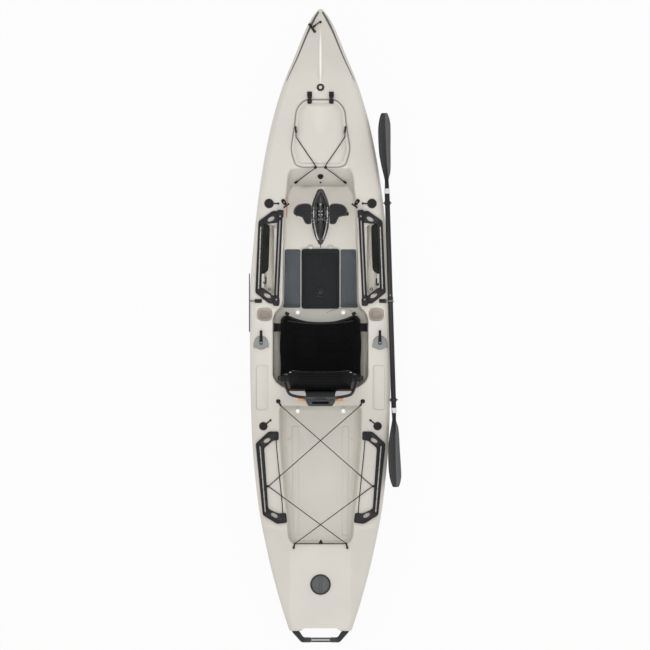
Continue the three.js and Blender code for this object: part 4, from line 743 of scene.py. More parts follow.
def hull_ring(y, drawn):
    """One cross-section, starboard keel to port keel, drawn in by a distance near the ends."""
    half = float(half_beam(y)) - drawn
    keel = DEPTH * float(along(KEEL_SHARES, share_at(y))) + drawn
    wide, tall = min(EDGE_WIDE, half / 2), min(EDGE_TALL, half)
    flat = min(KEEL_FLAT, half / 3)
    power = float(along(FULLNESS_SHARES, share_at(y)))
    rim = float(top_at(half - wide, y)) - drawn
    side = rim - tall
    t = np.linspace(0, 1, 15)[1:] * np.pi / 2
    below = np.column_stack([flat + (half - flat) * np.sin(t) ** power,
                             side - (side - keel) * np.cos(t) ** power])
    below[-1, 1] = side
    a = np.linspace(0, 1, 7)[1:] * np.pi / 2
    edge = np.column_stack([half - wide + wide * np.cos(a), side + tall * np.sin(a)])
    x = (half - wide) * (1 - np.linspace(0, 1, 27)[1:]) ** 1.2
    deck = np.column_stack([x, top_at(x, y) - drawn])
    right = np.vstack([[(flat, keel)], below, edge, deck])
    left = right[-2::-1] * [-1, 1]
    ring = np.vstack([right, left])
    return np.column_stack([ring[:, 0], np.full(len(ring), y), ring[:, 1]])


def hull_skin():
    """The whole outer skin, from stern to stem, with rounded ends."""
    middle = np.linspace(STERN_Y + END_ROUND, BOW_Y - END_ROUND, 420)
    turn = np.linspace(0, 1, 7)[:-1]
    stern = STERN_Y + END_ROUND * (1 - np.cos(turn * np.pi / 2))
    bow = BOW_Y - END_ROUND * (1 - np.cos(turn[::-1] * np.pi / 2))
    rings = []
    for y in np.concatenate([stern, middle, bow]):
        t = max(0.0, STERN_Y + END_ROUND - y, y - BOW_Y + END_ROUND) / END_ROUND
        rings.append(hull_ring(y, END_ROUND * 0.9 * (1 - math.sqrt(max(0.0, 1 - t * t)))))
    return loft(rings)


# %% [markdown]
# Each well and recess is a stack that is cut out of the skin. Its rim flares out in an arc that meets
# the deck level, and its floor meets its wall in another arc, as a rotomoulded wall does, because the
# plastic can't follow a sharp corner.

# %% Hull recesses
COCKPIT_SIDES = [(0.226, 0.7), (0.2335, 0.125), (0.293, 0.06), (0.293, -0.33), (0.225, -0.387)]
COCKPIT = {"corners": [(0.18, 0.862), (0.197, 0.829), (0.208, 0.8)] + COCKPIT_SIDES,
           "rim": [(0.18, 0.966), (0.199, 0.929), (0.21, 0.806)] + COCKPIT_SIDES,
           "corner": 0.036, "floor": 0.115, "draft": 0.03}
BULKHEAD_FOOT, BULKHEAD_DEGREES = (0.862, 0.205), math.degrees(math.atan2(0.095, 0.104))
CARGO = {"corners": [(0.25, -0.495), (0.25, -0.715), (0.2, -1.31), (0.172, -1.348)], "corner": 0.03,
         "floor": 0.175, "draft": 0.1}
TRAY = {"corners": rectangle(0.286, 0.346, 0.192, 0.618), "corner": 0.018, "floor": 0.24, "draft": 0.08}
CUP_SPACE = {"corners": rectangle(0.297, 0.389, 0.027, 0.107), "corner": 0.037, "floor": 0.232, "draft": 0.08}
PANEL = {"corners": rectangle(0.322, 0.396, -0.521, -0.245), "corner": 0.022, "floor": 0.291, "draft": 0.3}
WELL_CORNERS = [(0.012, 0.832), (0.03, 0.792), (0.048, 0.74), (0.048, 0.625), (0.03, 0.56), (0.008, 0.5)]
WELL_CORNER = 0.014
SLOPE_START = 0.94928
SLOPE_DEGREES = 3.972
HATCH_CORNERS = [(0.097, 1.384), (0.145, 1.329), (0.157, 1.212), (0.18, 1.083), (0.152, 0.99), (0.118, 0.975)]
HATCH_CORNER = 0.022
BUCKET = {"half": 0.1, "fore": 0.452, "aft": 0.118, "corner": 0.024}
STERN_PORT = {"y": -1.593, "opening": 0.05, "radius": 0.063}
MAST = {"y": 1.462, "radius": 0.015}
RUDDER_Y = -1.745
LEVER = (0.365, -0.107)
FRONT_TUBE, REAR_TUBE = (0.316, 0.748, 0.022, 0.13), (0.351, -0.62, 0.019, 0.14)
SCUPPERS = [(0.14, 0.078), (0.14, -0.527)]


def recess(corners, corner, floor, draft, top=DEPTH, rim=0.008, fillet=0.014, steps=8):
    """The space of a moulded recess, from its filleted floor to its flared rim."""
    foot = draft * (top - floor)
    arc = np.linspace(0, np.pi / 2, 6)
    levels = [(foot + fillet * (1 - math.sin(a)), floor + fillet * (1 - math.cos(a))) for a in arc]
    levels += [(rim * (math.cos(a) - 1), top - rim + rim * math.sin(a)) for a in arc[:-1]]
    levels += [(-rim, top - 0.0001), (-rim, top + 0.02)]
    return stack(corners, corner + 0.001, levels, steps)


def on_bow_deck(shape):
    """From a level place at the slope's foot onto the sloping foredeck."""
    return shape.moved(y=-SLOPE_START).turned("X", SLOPE_DEGREES).moved(y=SLOPE_START, z=DEPTH)


def bow_groove(side):
    """The groove under the bow's edge, wide at the tip and running out by the mast step."""
    y = np.linspace(1.5, 1.925, 40)
    margin = np.interp(y, [1.5, 1.62, 1.87, 1.925], [0.012, 0.02, 0.021, 0.014])
    out = np.maximum(half_beam(y) - margin, 0.006)
    width = np.interp(y, [1.5, 1.62, 1.8, 1.87, 1.925], [0.0012, 0.0036, 0.0056, 0.0075, 0.006])
    path = np.column_stack([side * out, y, top_at(out, y) + 0.001])
    return path, width


# The height where the cockpit's front wall starts to lean, and how gently it starts
FOLD, FOLD_BLEND = 0.2, 0.05
COCKPIT_FILLET, COCKPIT_EDGE = 0.014, 0.009


def cockpit_space():
    """The cockpit. Its front wall stands up from the floor, then slopes forwards as a bulkhead to the rim."""
    foot, rim = (anticlockwise(mirrored_outline(COCKPIT[key])) for key in ("corners", "rim"))
    floor, fillet, edge = COCKPIT["floor"], COCKPIT_FILLET, COCKPIT_EDGE
    arc = np.linspace(0, np.pi / 2, 6)
    heights = [floor + fillet * (1 - math.cos(a))
               for a in arc] + list(np.linspace(0.152, 0.248, 13)) + [0.27]
    heights += [DEPTH - edge + edge * math.sin(a) for a in arc[:-1]] + [DEPTH - 0.0001, DEPTH + 0.02]
    rings = []
    for z in heights:
        past = z - FOLD + FOLD_BLEND
        leaned = z - FOLD if past > 2 * FOLD_BLEND else max(0, past) ** 2 / (4 * FOLD_BLEND)
        share = min(1, leaned / (DEPTH - FOLD))
        drawn = COCKPIT["draft"] * max(0, DEPTH - z)
        if z < floor + fillet:
            drawn += fillet - math.sqrt(max(0, fillet**2 - (floor + fillet - z) ** 2))
        if z > DEPTH - edge:
            drawn -= edge - math.sqrt(max(0, edge**2 - min(edge, z - DEPTH + edge) ** 2))
        ring = rounded(inset(foot + (rim - foot) * share, drawn), COCKPIT["corner"] + 0.001 - drawn, 8)
        rings.append(np.column_stack([ring, np.full(len(ring), z)]))
    return loft(rings)


def on_bulkhead(shape, x, y):
    """From a level place at the origin onto the bulkhead."""
    foot_y, foot_z = BULKHEAD_FOOT
    rise = math.tan(math.radians(BULKHEAD_DEGREES))
    return shape.turned("X", BULKHEAD_DEGREES).moved(x, y, foot_z + rise * (y - foot_y))


hull = bare("hull_shell", hull_skin())
combine(hull, cockpit_space())
cargo_outline = mirrored_outline(CARGO["corners"])
combine(hull, recess(cargo_outline, CARGO["corner"], CARGO["floor"], CARGO["draft"], fillet=0.03))
cargo_z = CARGO["floor"]
cargo_rib = dome([(0.175, -0.62), (0.168, -1.29), (0.131, -1.29), (0.136, -0.62)], 0.012,
                 [(-0.004, cargo_z - 0.004), (-0.0012, cargo_z + 0.0002), (0.0012, cargo_z + 0.0013),
                  (0.004, cargo_z + 0.002)], 0.0004)
diagonal_rib = rope([(0.2385, -0.7245, cargo_z - 0.004), (0.19, -0.7, cargo_z - 0.0035),
                     (0.125, -0.668, cargo_z - 0.0045)], (0.0052, 0.0064, 0.0048), 0.006, 16)
for rib in (cargo_rib, diagonal_rib):
    combine(hull, rib, "UNION")
    combine(hull, rib.mirrored(), "UNION")
for spec in (TRAY, CUP_SPACE, PANEL):
    depth = DEPTH - spec["floor"]
    cut = recess(spec["corners"], spec["corner"], spec["floor"], spec["draft"], rim=min(0.006, depth * 0.4),
                 fillet=min(0.012, depth * 0.4))
    combine(hull, cut)
    combine(hull, cut.mirrored())

# Straight holes: drive well, mast step, rudder post, toggle cord, hatch openings and a notch in the transom
straight_cuts = [
    stack(mirrored_outline(WELL_CORNERS), WELL_CORNER, [(0, -0.02), (0, COCKPIT["floor"] + 0.01)]),
    disc(MAST["radius"], 0.12, 0.4).moved(y=MAST["y"]),
    disc(0.0128, -0.02, 0.195).moved(y=RUDDER_Y),
    disc(0.0045, 0.33, 0.4).moved(y=1.863),
    on_bow_deck(stack(mirrored_outline(HATCH_CORNERS), HATCH_CORNER,
                      [(0.045, -0.24), (0.03, -0.02), (0.03, 0.02)])),
    stack(mirrored_outline([(BUCKET["half"], BUCKET["fore"]), (BUCKET["half"], BUCKET["aft"])]),
          BUCKET["corner"], [(0.004, 0.012), (0, 0.1), (0, COCKPIT["floor"] + 0.01)]),
    disc(STERN_PORT["opening"], 0.1, 0.32).moved(y=STERN_PORT["y"]),
    stack(mirrored_outline([(0.098, STERN_Y + 0.017), (0.123, STERN_Y), (0.123, STERN_Y - 0.006)]), 0.004,
          [(0, -0.1), (0, 0.4)]),
]
for x, y, radius, bottom in (FRONT_TUBE, REAR_TUBE):
    straight_cuts.append(disc(radius, bottom, 0.33).moved(x=x, y=y).both_sides())
for x, y in SCUPPERS:
    straight_cuts.append(disc(0.0125, -0.02, 0.24).moved(x=x, y=y).both_sides())
straight_cuts.append(disc(0.0086, 0.276, 0.32).moved(*LEVER).both_sides())
for side in (1, -1):
    path, width = bow_groove(side)
    straight_cuts.append(sweep(path, width, 10))
for cut in straight_cuts:
    combine(hull, cut)
print("hull triangles", sum(len(p.vertices) - 2 for p in hull.data.polygons))

hull.data.materials.clear()
hull.data.materials.append(HULL)
hull.data.shade_smooth()
hull.data.set_sharp_from_angle(angle=math.radians(40))
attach(hull, "boat")
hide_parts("hull")

# %% [markdown]
# ## The bow
#
# A dark strip of painted shade lies in the groove under each gunwale. The hatch lid has a flat rim, a narrow
# groove and a domed panel. It turns on two black hinges, and an elastic cord on each side runs from an eye on
# the lid's edge, over a ball behind the lid, to a hook low on the bulkhead.

# %% Bow
def bow_groove_shade():
    """Dark strips of painted shade in the two bow grooves."""
    strips = []
    for side in (1, -1):
        path, width = bow_groove(side)
        strips.append(sweep(path - [0, 0, 0.0012], width * 0.86, 8))
    return joined(strips)


# The strips are painted shade: they darken the grooves where shadow falls.
build("bow_groove_shade", bow_groove_shade(), GROOVE_PAINTED_SHADE)

# The lid: pairs of inset and height, from its rim over the groove to the domed panel
lid_levels = [(0.0015, 0.0046), (0, 0.0062), (0, 0.0098), (0.0012, 0.0116), (0.004, 0.0126),
              (0.0125, 0.0132), (0.0145, 0.0118), (0.0165, 0.0118), (0.0188, 0.0142), (0.022, 0.0172),
              (0.0265, 0.02), (0.032, 0.0222)]
lid_outline = mirrored_outline(HATCH_CORNERS)
lid = on_bow_deck(dome(lid_outline, 0.036, lid_levels, 0.0045, 8))
lid_hollow = on_bow_deck(stack(lid_outline, 0.03, [(0.03, -0.03), (0.03, 0.0125)], 4))
build("bow_hatch_lid_panel", lid, HULL, "bow_hatch", "bow_hatch_lid", cuts=[lid_hollow], smooth=50)
seal_ring = on_bow_deck(stack(lid_outline, 0.03, [(0.02, -0.02), (0.02, 0.02)], 6))
# A thin grey ring round the lid is painted shade, where the gap round the lid lies in shadow.
shade_ring_hole = on_bow_deck(stack(lid_outline, 0.036, [(0.006, -0.02), (0.006, 0.02)], 8))
shade_ring_levels = [(-0.0075, 0.0002), (-0.0085, 0.0012), (-0.0075, 0.0022), (0, 0.0026)]
build("bow_hatch_shade_ring", on_bow_deck(stack(lid_outline, 0.036, shade_ring_levels, 8)), LID_RING_PAINTED_SHADE, cuts=[shade_ring_hole])
build("bow_hatch_gasket", on_bow_deck(stack(lid_outline, 0.03, [(0.009, 0.0003), (0.009, 0.0043)], 6)),
      RUBBER, "boat", "bow_hatch_seal", cuts=[seal_ring])

# Hinges, each with two cheeks on the deck and an eye on the lid's strap
HATCH_HINGE = (0.067, 1.405, 0.0153)
hinge_x, hinge_y, hinge_z = HATCH_HINGE
hinge_base = block(0.03, 0.036, 0.011, 0.0025, 0.005, 3).moved(hinge_x, hinge_y + 0.014, 0.006)
hinge_cheek = along_x(disc(0.0088, -0.003, 0.003, 0.001, 28)).moved(*HATCH_HINGE)
hinge_foot = block(0.006, 0.018, 0.013, 0.001, 0.001).moved(hinge_x, hinge_y, 0.0085)
hinge = hinge_base + joined((hinge_cheek + hinge_foot).moved(x=shift) for shift in (0.0108, -0.0108))
screw = turning([(0.0001, 0), (0.0038, 0), (0.0036, 0.0012), (0.0022, 0.0018), (0.0001, 0.0018)], 16)
hinge_screws = joined(screw.moved(hinge_x + shift, hinge_y + 0.022, 0.0113) for shift in (-0.007, 0.007))
build_pair("bow_hinge", on_bow_deck(hinge), BLACK, "boat", "bow_hatch_hinge_")
build_pair("bow_hinge_screws", on_bow_deck(hinge_screws), BLACK)
strap_line = [(1.362, 0.0145), (1.376, 0.0152), (1.39, 0.0153), (hinge_y, hinge_z)]
strap_path = [(hinge_x, y, z) for y, z in strap_line]
hinge_eye = along_x(disc(0.0086, -0.0073, 0.0073, 0.001, 28)).moved(*HATCH_HINGE)
strap = sweep(smooth_path(strap_path, 0.003), 0.0045, 10).moved(-hinge_x).scaled(x=1.6).moved(hinge_x)
strap = strap + block(0.0285, 0.026, 0.009, 0.0025, 0.005, 3).moved(hinge_x, 1.3785, 0.0155)
build_pair("bow_hatch_strap", on_bow_deck(hinge_eye + strap), BLACK, "bow_hatch")
hinge_pin = along_x(disc(0.0034, -0.0146, 0.0146, 0.0006, 16)).moved(*HATCH_HINGE)
build_pair("bow_hinge_pin", on_bow_deck(hinge_pin), STEEL)

# The elastic cords that tie the lid down; lid_over is their height above the deck where they cross the lid
lid_over = 0.0302
eye_at, kink_at, ball_at = (0.1505, 1.19, lid_over), (0.15, 1.163, lid_over), (0.031, 0.972, lid_over)
lid_point = lambda x, y, z: on_bow_deck(Shape([(x, y, z)], [])).points[0]
HOOK = (0.15, 0.881)
hook_at = on_bulkhead(Shape([(0, 0, 0.0075)], []), *HOOK).points[0]
middle = (lid_point(*ball_at) + hook_at) / 2 + [0, 0, 0.001]
hold_cord = rope([lid_point(*eye_at), lid_point(*kink_at), lid_point(0.147, 1.155, lid_over),
                  lid_point(0.09, 1.069, lid_over), lid_point(0.031, 0.981, lid_over),
                  lid_point(0.04, 0.963, lid_over - 0.003), middle, hook_at], 0.003)
build_pair("bow_hatch_elastic", hold_cord, CORD, "bow_hatch", "bow_hatch_cord_")
ball = turning([(0.0096 * math.sin(a), 0.0096 * math.cos(a)) for a in np.linspace(np.pi, 0, 15)], 20)
eye_tab = block(0.012, 0.04, 0.006, 0.002, 0.003, 3).turned("Z", -6).moved(0.152, 1.205, 0.0162)
eye_loop = rope([(0.152, 1.194, 0.016), (0.1513, 1.1915, 0.026), (0.1505, 1.187, 0.031),
                 (0.1497, 1.1915, 0.026), (0.149, 1.194, 0.016)], 0.0026, 0.003)
build_pair("bow_hatch_eye", on_bow_deck(eye_tab + eye_loop), BLACK, "bow_hatch")
build_pair("bow_hatch_ball", Shape(ball.points + lid_point(*ball_at), ball.faces), BLACK, "bow_hatch")
hook_base = block(0.026, 0.013, 0.006, 0.0022, 0.004, 3).turned("Z", -40).moved(z=0.0035)
hook_horn = rope([(-0.008, 0.006, 0.005), (-0.004, 0.003, 0.011), (0.001, -0.001, 0.0125),
                  (0.006, -0.005, 0.0105)],
                 0.0028, 0.002)
build_pair("bulkhead_hook", on_bulkhead(hook_base + hook_horn, *HOOK), BLACK)

# The knob and the screw in the middle of the bulkhead, and the plug of the mast step
knob_profile = [(0.0001, 0.0003), (0.0165, 0.0003), (0.018, 0.0018), (0.018, 0.0045), (0.0155, 0.0065),
                (0.0142, 0.009), (0.0152, 0.0115), (0.0145, 0.0133), (0.0115, 0.0137), (0.0085, 0.0122),
                (0.0001, 0.0118)]
build("bulkhead_knob", on_bulkhead(turning(knob_profile, 40), 0, 0.917), BLACK, "boat", "deck_knob")
drain = turning([(0.0001, 0), (0.0065, 0), (0.0062, 0.0016), (0.004, 0.0024), (0.0001, 0.0024)], 24)
build("bulkhead_screw", on_bulkhead(drain, 0, 0.878), BLACK)

plug_ring = turning([(0.0105, -0.004), (0.0233, -0.004), (0.0235, 0.0015), (0.0222, 0.0045),
                     (0.0185, 0.0058), (0.014, 0.0052), (0.0115, 0.0028), (0.0105, -0.002)], 44)
mast_top = float(top_at(0, MAST["y"]))
build("mast_plug_rim", plug_ring.moved(y=MAST["y"], z=mast_top), RUBBER, "mast_plug", "mast_step_plug")
plug_core = turning([(0.0001, -0.026), (0.0125, -0.026), (0.0138, -0.022), (0.0138, -0.004),
                     (0.0112, -0.003), (0.0108, 0.0008), (0.006, 0.0022), (0.0001, 0.0026)], 36)
build("mast_plug_core", plug_core.moved(y=MAST["y"], z=mast_top), HULL, "mast_plug")

# The bow toggle, lying on the deck at the end of its cord
TOGGLE = (-0.052, 1.826)
toggle_z = float(top_at(*TOGGLE)) + 0.0095
bar_profile = [(0.0001, -0.0345), (0.0055, -0.034), (0.0078, -0.031), (0.0082, -0.024), (0.0066, -0.015),
               (0.0062, 0), (0.0066, 0.015), (0.0082, 0.024), (0.0078, 0.031), (0.0055, 0.034),
               (0.0001, 0.0345)]
bar = turning(bar_profile, 20).turned("X", 90).turned("Z", 36).moved(*TOGGLE, toggle_z)
stem_end = (TOGGLE[0] + 0.026, TOGGLE[1] + 0.022, toggle_z + 0.002)
stem = sweep(smooth_path([(*TOGGLE, toggle_z), stem_end], 0.004), (0.0062, 0.0046), 14)
build("bow_toggle_handle", bar + stem, BLACK, "boat", "bow_toggle")
mouth = float(top_at(0, 1.863))
toggle_cord = rope([(0, 1.863, mouth - 0.012), (0, 1.8635, mouth + 0.003), (-0.006, 1.861, mouth + 0.009),
                    (-0.016, 1.855, mouth + 0.011), np.add(stem_end, (0.002, 0.0015, 0.0005))], 0.0038, 0.002)
knot = turning([(0.0078 * math.sin(a), 0.0046 * math.cos(a)) for a in np.linspace(np.pi, 0, 11)], 16)
build("bow_toggle_line", toggle_cord, CORD, "boat", "bow_toggle_cord")
build("bow_toggle_knot", knot.moved(0, 1.863, mouth + 0.0035), CORD)
print("bow ready")

# %% [markdown]
# ## Side decks
#
# Each side deck carries two moulded rail frames with a slotted track, a grab rail, the rubber caps of
# the rod tubes, a cup recess, the pull handles of the rudder, a paddle keeper and a steering lever. The
# frames are stacks with rounded edges. Slots and oval holes are cut through them, then a pale insert and
# a row of screws go into each track.

# %% Rails
DECK = DEPTH + 0.0003
FRONT_RAIL = {"outline": [(0.381, 0.64), (0.292, 0.704), (0.231, 0.699), (0.233, 0.636), (0.259, 0.631),
                          (0.309, 0.624), (0.353, 0.622), (0.363, 0.229), (0.351, 0.229), (0.287, 0.18),
                          (0.257, 0.18), (0.257, 0.133), (0.318, 0.133), (0.401, 0.2)],
              "slot": [(0.367, 0.606), (0.381, 0.222)], "ovals": [(0.304, 0.652, -30), (0.327, 0.182, 30)],
              "bolts": [(0.249, 0.66), (0.277, 0.15)]}
REAR_RAIL = {"outline": [(0.399, -0.727), (0.318, -0.653), (0.257, -0.652), (0.256, -0.706),
                         (0.292, -0.709), (0.346, -0.755), (0.321, -1.126), (0.298, -1.139), (0.257, -1.157),
                         (0.211, -1.152), (0.204, -1.213), (0.267, -1.221), (0.355, -1.166)],
             "slot": [(0.372, -0.742), (0.339, -1.15)], "ovals": [(0.329, -0.708, -30), (0.283, -1.168, 30)],
             "bolts": [(0.272, -0.681), (0.225, -1.188)]}
RAIL_THICK = 0.012


def oval(width, height, low, high):
    """An upright oval prism."""
    return disc(0.5, low, high, 0.0001, 28).scaled(width, height, 1)


def dress_rail(name, spec, node):
    """The frame with its holes, the lining of the track, the screws and the bolts."""
    (x1, y1), (x2, y2) = spec["slot"]
    length, turn = math.hypot(x2 - x1, y2 - y1), math.degrees(math.atan2(x1 - x2, y2 - y1))
    turn = turn + 180 if y2 < y1 else turn
    at = lambda shape, dz=0.0: shape.turned("Z", turn).moved((x1 + x2) / 2, (y1 + y2) / 2, DECK + dz)
    wide = rectangle(-0.0036, 0.0036, -length / 2, length / 2)
    holes = [oval(0.046, 0.024, -0.03, 0.03).turned("Z", degrees).moved(x, y, DECK)
             for x, y, degrees in spec["ovals"]]
    holes.append(at(stack(wide, 0.0034, [(0, 0.004), (0, 0.03)], 5)))
    seat = rectangle(-0.0085, 0.0085, -length / 2 - 0.006, length / 2 + 0.006)
    holes.append(at(stack(seat, 0.008, [(0, RAIL_THICK - 0.0012), (0, 0.03)], 5)))
    build_pair(name, stack(spec["outline"], 0.012, slab(DECK, DECK + RAIL_THICK, 0.0022), 5), RAIL, "boat",
               node, cuts=holes, smooth=40)
    lining = stack(wide, 0.0034, [(0.0002, 0.004), (0.0002, 0.0062)], 5)
    build_pair(name + "_insert", at(lining), INSERT)
    lip = block(0.0026, length, 0.0016, 0.0005, 0.0008)
    lips = joined(lip.moved(side * 0.006, 0, RAIL_THICK - 0.0003) for side in (-1, 1))
    build_pair(name + "_track", at(lips), BLACK)
    screw_head = turning([(0.0001, 0), (0.0031, 0), (0.0029, 0.001), (0.0016, 0.0015), (0.0001, 0.0015)], 14)
    screws = [screw_head.moved(0, y, 0.0062) for y in np.linspace(-length * 0.44, length * 0.44, 7)]
    build_pair(name + "_screws", at(joined(screws)), STEEL)
    bolt = turning([(0.0001, 0), (0.0075, 0), (0.0075, 0.0012), (0.0055, 0.0038), (0.003, 0.0046),
                    (0.0001, 0.0046)], 20)
    bolts = joined(bolt.moved(x, y, DECK + RAIL_THICK - 0.0002) for x, y in spec["bolts"])
    build_pair(name + "_bolts", bolts, RAIL)


dress_rail("front_rail", FRONT_RAIL, "rail_frame_front_")
dress_rail("rear_rail", REAR_RAIL, "rail_frame_rear_")

# The grab rail, with a grey strip let into its top, between two clamps
GRAB = ((0.247, 0.69), (0.272, 0.138))
grab_z = DECK + RAIL_THICK + 0.018
ends = [np.array((x, y, grab_z)) for x, y in GRAB]
way = (ends[1] - ends[0]) / np.linalg.norm(ends[1] - ends[0])


def along_grab(shape):
    """From the Y axis onto the grab rail's own line."""
    middle = (ends[0] + ends[1]) / 2
    return shape.turned("Z", math.degrees(math.atan2(way[0], -way[1]))).moved(*middle)


grab_length = float(np.linalg.norm(ends[1] - ends[0]))
grab_bar = along_y(disc(0.0158, -grab_length / 2, grab_length / 2, 0.004, 36))
strip_cut = block(0.0086, grab_length - 0.09, 0.004, 0.001, 0.004, 5).moved(z=0.0142)
build_pair("grab_rail_bar", along_grab(grab_bar), BLACK, "boat", "grab_rail_", cuts=[along_grab(strip_cut)],
           smooth=50)
strip = block(0.008, grab_length - 0.094, 0.0022, 0.0009, 0.0038, 5).moved(z=0.0138)
build_pair("grab_rail_strip", along_grab(strip), STRIP)
clamp_body = stack(rectangle(-0.02, 0.02, -0.026, 0.026), 0.012, slab(-0.0181, 0.0195, 0.005), 5)
clamp_head = turning([(0.0001, 0), (0.0045, 0), (0.0043, 0.0016), (0.0001, 0.0022)], 18)
for end, sign in (("fore", 1), ("aft", -1)):
    clamp = clamp_body.moved(y=sign * (grab_length / 2 - 0.006))
    bore = along_y(disc(0.0161, -0.05, 0.05, 0.001, 36)).moved(y=sign * (grab_length / 2 - 0.054))
    build_pair(f"grab_rail_clamp_{end}", along_grab(clamp), RAIL, cuts=[along_grab(bore)], smooth=45)
    screw = clamp_head.moved(0, sign * (grab_length / 2 - 0.02), 0.0193)
    build_pair(f"grab_rail_screws_{end}", along_grab(screw), STEEL)

# Side cord of the rear rails, sagging a little between its two eyes
cord_z = DECK + RAIL_THICK
EYES = ((0.273, -0.695), (0.231, -1.166))
side_cord = rope([(*EYES[0], cord_z + 0.001), (0.2725, -0.708, cord_z + 0.0042),
                  (0.266, -0.79, cord_z + 0.003), (0.252, -0.93, cord_z + 0.0012),
                  (0.238, -1.07, cord_z + 0.003), (0.2315, -1.153, cord_z + 0.0042),
                  (*EYES[1], cord_z + 0.001)], 0.003)
build_pair("rear_rail_cord", side_cord, CORD)
rail_eye = turning([(0.0001, 0), (0.0085, 0), (0.0083, 0.003), (0.0052, 0.0046), (0.0001, 0.005)], 22)
build_pair("rear_rail_eyes", joined(rail_eye.moved(x, y, cord_z - 0.0004) for x, y in EYES), BLACK)

# Net pocket over the outer part of each tray, with its hem
NET_FORE, NET_AFT = 0.624, 0.318
NET_LENGTH = 0.306


def net_pocket():
    """A gathered net, fixed under the rail and hanging over the outer part of the tray, folded lengthways."""
    rows, columns = 80, 56
    v = np.linspace(0, 1, rows)
    y = NET_FORE + (NET_AFT - NET_FORE) * v
    end = np.clip(np.minimum(v * NET_LENGTH / 0.03, (1 - v) * NET_LENGTH / 0.045), 0, 1)
    reach = 0.009 + 0.03 * np.sqrt(1 - (1 - end) ** 2)
    u = np.linspace(0, 1, columns)
    x = 0.3515 - reach[:, None] * u[None, :] + 0.0095 * v[:, None]
    swell = np.sqrt(np.sin(np.pi * np.clip(v, 0.001, 0.999)))[:, None]
    folds = 0.0011 * np.cos(u * 2 * np.pi * 6.5)[None, :] * swell
    z = DECK + 0.005 + folds - 0.006 * u[None, :] ** 2 * swell + 0.003 * np.sin(np.pi * u)[None, :] * swell
    top = np.dstack([x, np.broadcast_to(y[:, None], x.shape), z])
    bottom = top[:, ::-1] - [0, 0, 0.0012]
    return loft(np.concatenate([top, bottom], axis=1)), top


net, net_top = net_pocket()
hem = np.vstack([net_top[0, ::8], net_top[3:-3:4, -1], net_top[-1, ::-8]])
nets = build_pair("tray_net", net, NET, smooth=80)
hems = build_pair("tray_net_hem", rope(hem, 0.0024, 0.006), WEBBING)

# Small hardware by the front rail: a snap hook and two rings
snap = [(0, 0.02, 0), (0.0058, 0.016, 0), (0.0062, 0.004, 0), (0.0052, -0.012, 0), (0.001, -0.0205, 0),
        (-0.0052, -0.017, 0), (-0.0058, -0.008, 0)]
build("snap_hook_port", rope(snap, 0.0045, 0.002).moved(-0.3415, 0.2765, DECK + 0.0042), BLACK)
build("snap_hook_starboard", rope(snap, 0.0045, 0.002).mirrored().moved(0.3495, 0.2665, DECK + 0.0042),
      BLACK)


def ring_at(x, y, radius, thick):
    """A small ring lying flat on the deck."""
    turns = np.linspace(0, 2 * np.pi, 30)
    return rope(np.column_stack([x + radius * np.cos(turns), y + radius * np.sin(turns),
                                 np.full(30, DECK + thick)]), thick, 0.002)


build("tether_ring_port", ring_at(-0.2747, 0.6085, 0.0085, 0.0016), STEEL)
build_pair("cord_ring", ring_at(0.3138, 0.2216, 0.0075, 0.0019), BLACK)

# %% Rod tube caps, cups and pulls
def rod_cap(radius, plug_radius, towards):
    """A rubber cap with a raised rim, a ring, a cross of grip ribs and a plug, and its strap and stud."""
    cap = turning([(0.0001, -0.0195), (plug_radius - 0.003, -0.0195), (plug_radius - 0.0004, -0.017),
                   (plug_radius - 0.0004, 0), (radius, 0.0002), (radius, 0.0038), (radius - 0.0022, 0.0066),
                   (radius - 0.006, 0.0072), (radius - 0.0085, 0.005), (0.006, 0.0048), (0.0001, 0.0052)], 48)
    rib = block(2 * radius - 0.019, 0.0034, 0.0022, 0.0009, 0.0015)
    ribs = [rib.turned("Z", turn).moved(z=0.0056) for turn in (0, 90)]
    reach = math.hypot(*towards)
    angle = math.degrees(math.atan2(towards[1], towards[0]))
    strap = stack(rectangle(radius * 0.7, reach + 0.003, -0.0042, 0.0042), 0.004,
                  slab(0.0006, 0.0032, 0.001), 4)
    strap = strap.turned("Z", angle)
    stud_profile = [(0.0001, 0.0001), (0.0072, 0.0001), (0.007, 0.0038), (0.005, 0.0058), (0.0001, 0.0064)]
    stud = turning(stud_profile, 24).moved(towards[0], towards[1])
    return cap + joined(ribs) + strap + stud


for row, (x, y, bore, _), radius, stud_at in (("front", FRONT_TUBE, 0.0295, (-0.056, 0)),
                                              ("rear", REAR_TUBE, 0.026, (-0.044, 0.036))):
    build_pair(f"rod_cap_{row}_cover", rod_cap(radius, bore, stud_at).moved(x, y, DECK), RUBBER,
               f"rod_cap_{row}_", f"rod_cap_{row}_")
# A thin darker sheet on each cup recess floor is painted shade, where the recess lies in shadow.
cup_shade_sheet = stack(CUP_SPACE["corners"], 0.037, [(0.0125, 0.2323), (0.0125, 0.2336), (0.0145, 0.2346)], 8)
build_pair("cup_shade_sheet", cup_shade_sheet, CUP_PAINTED_SHADE)

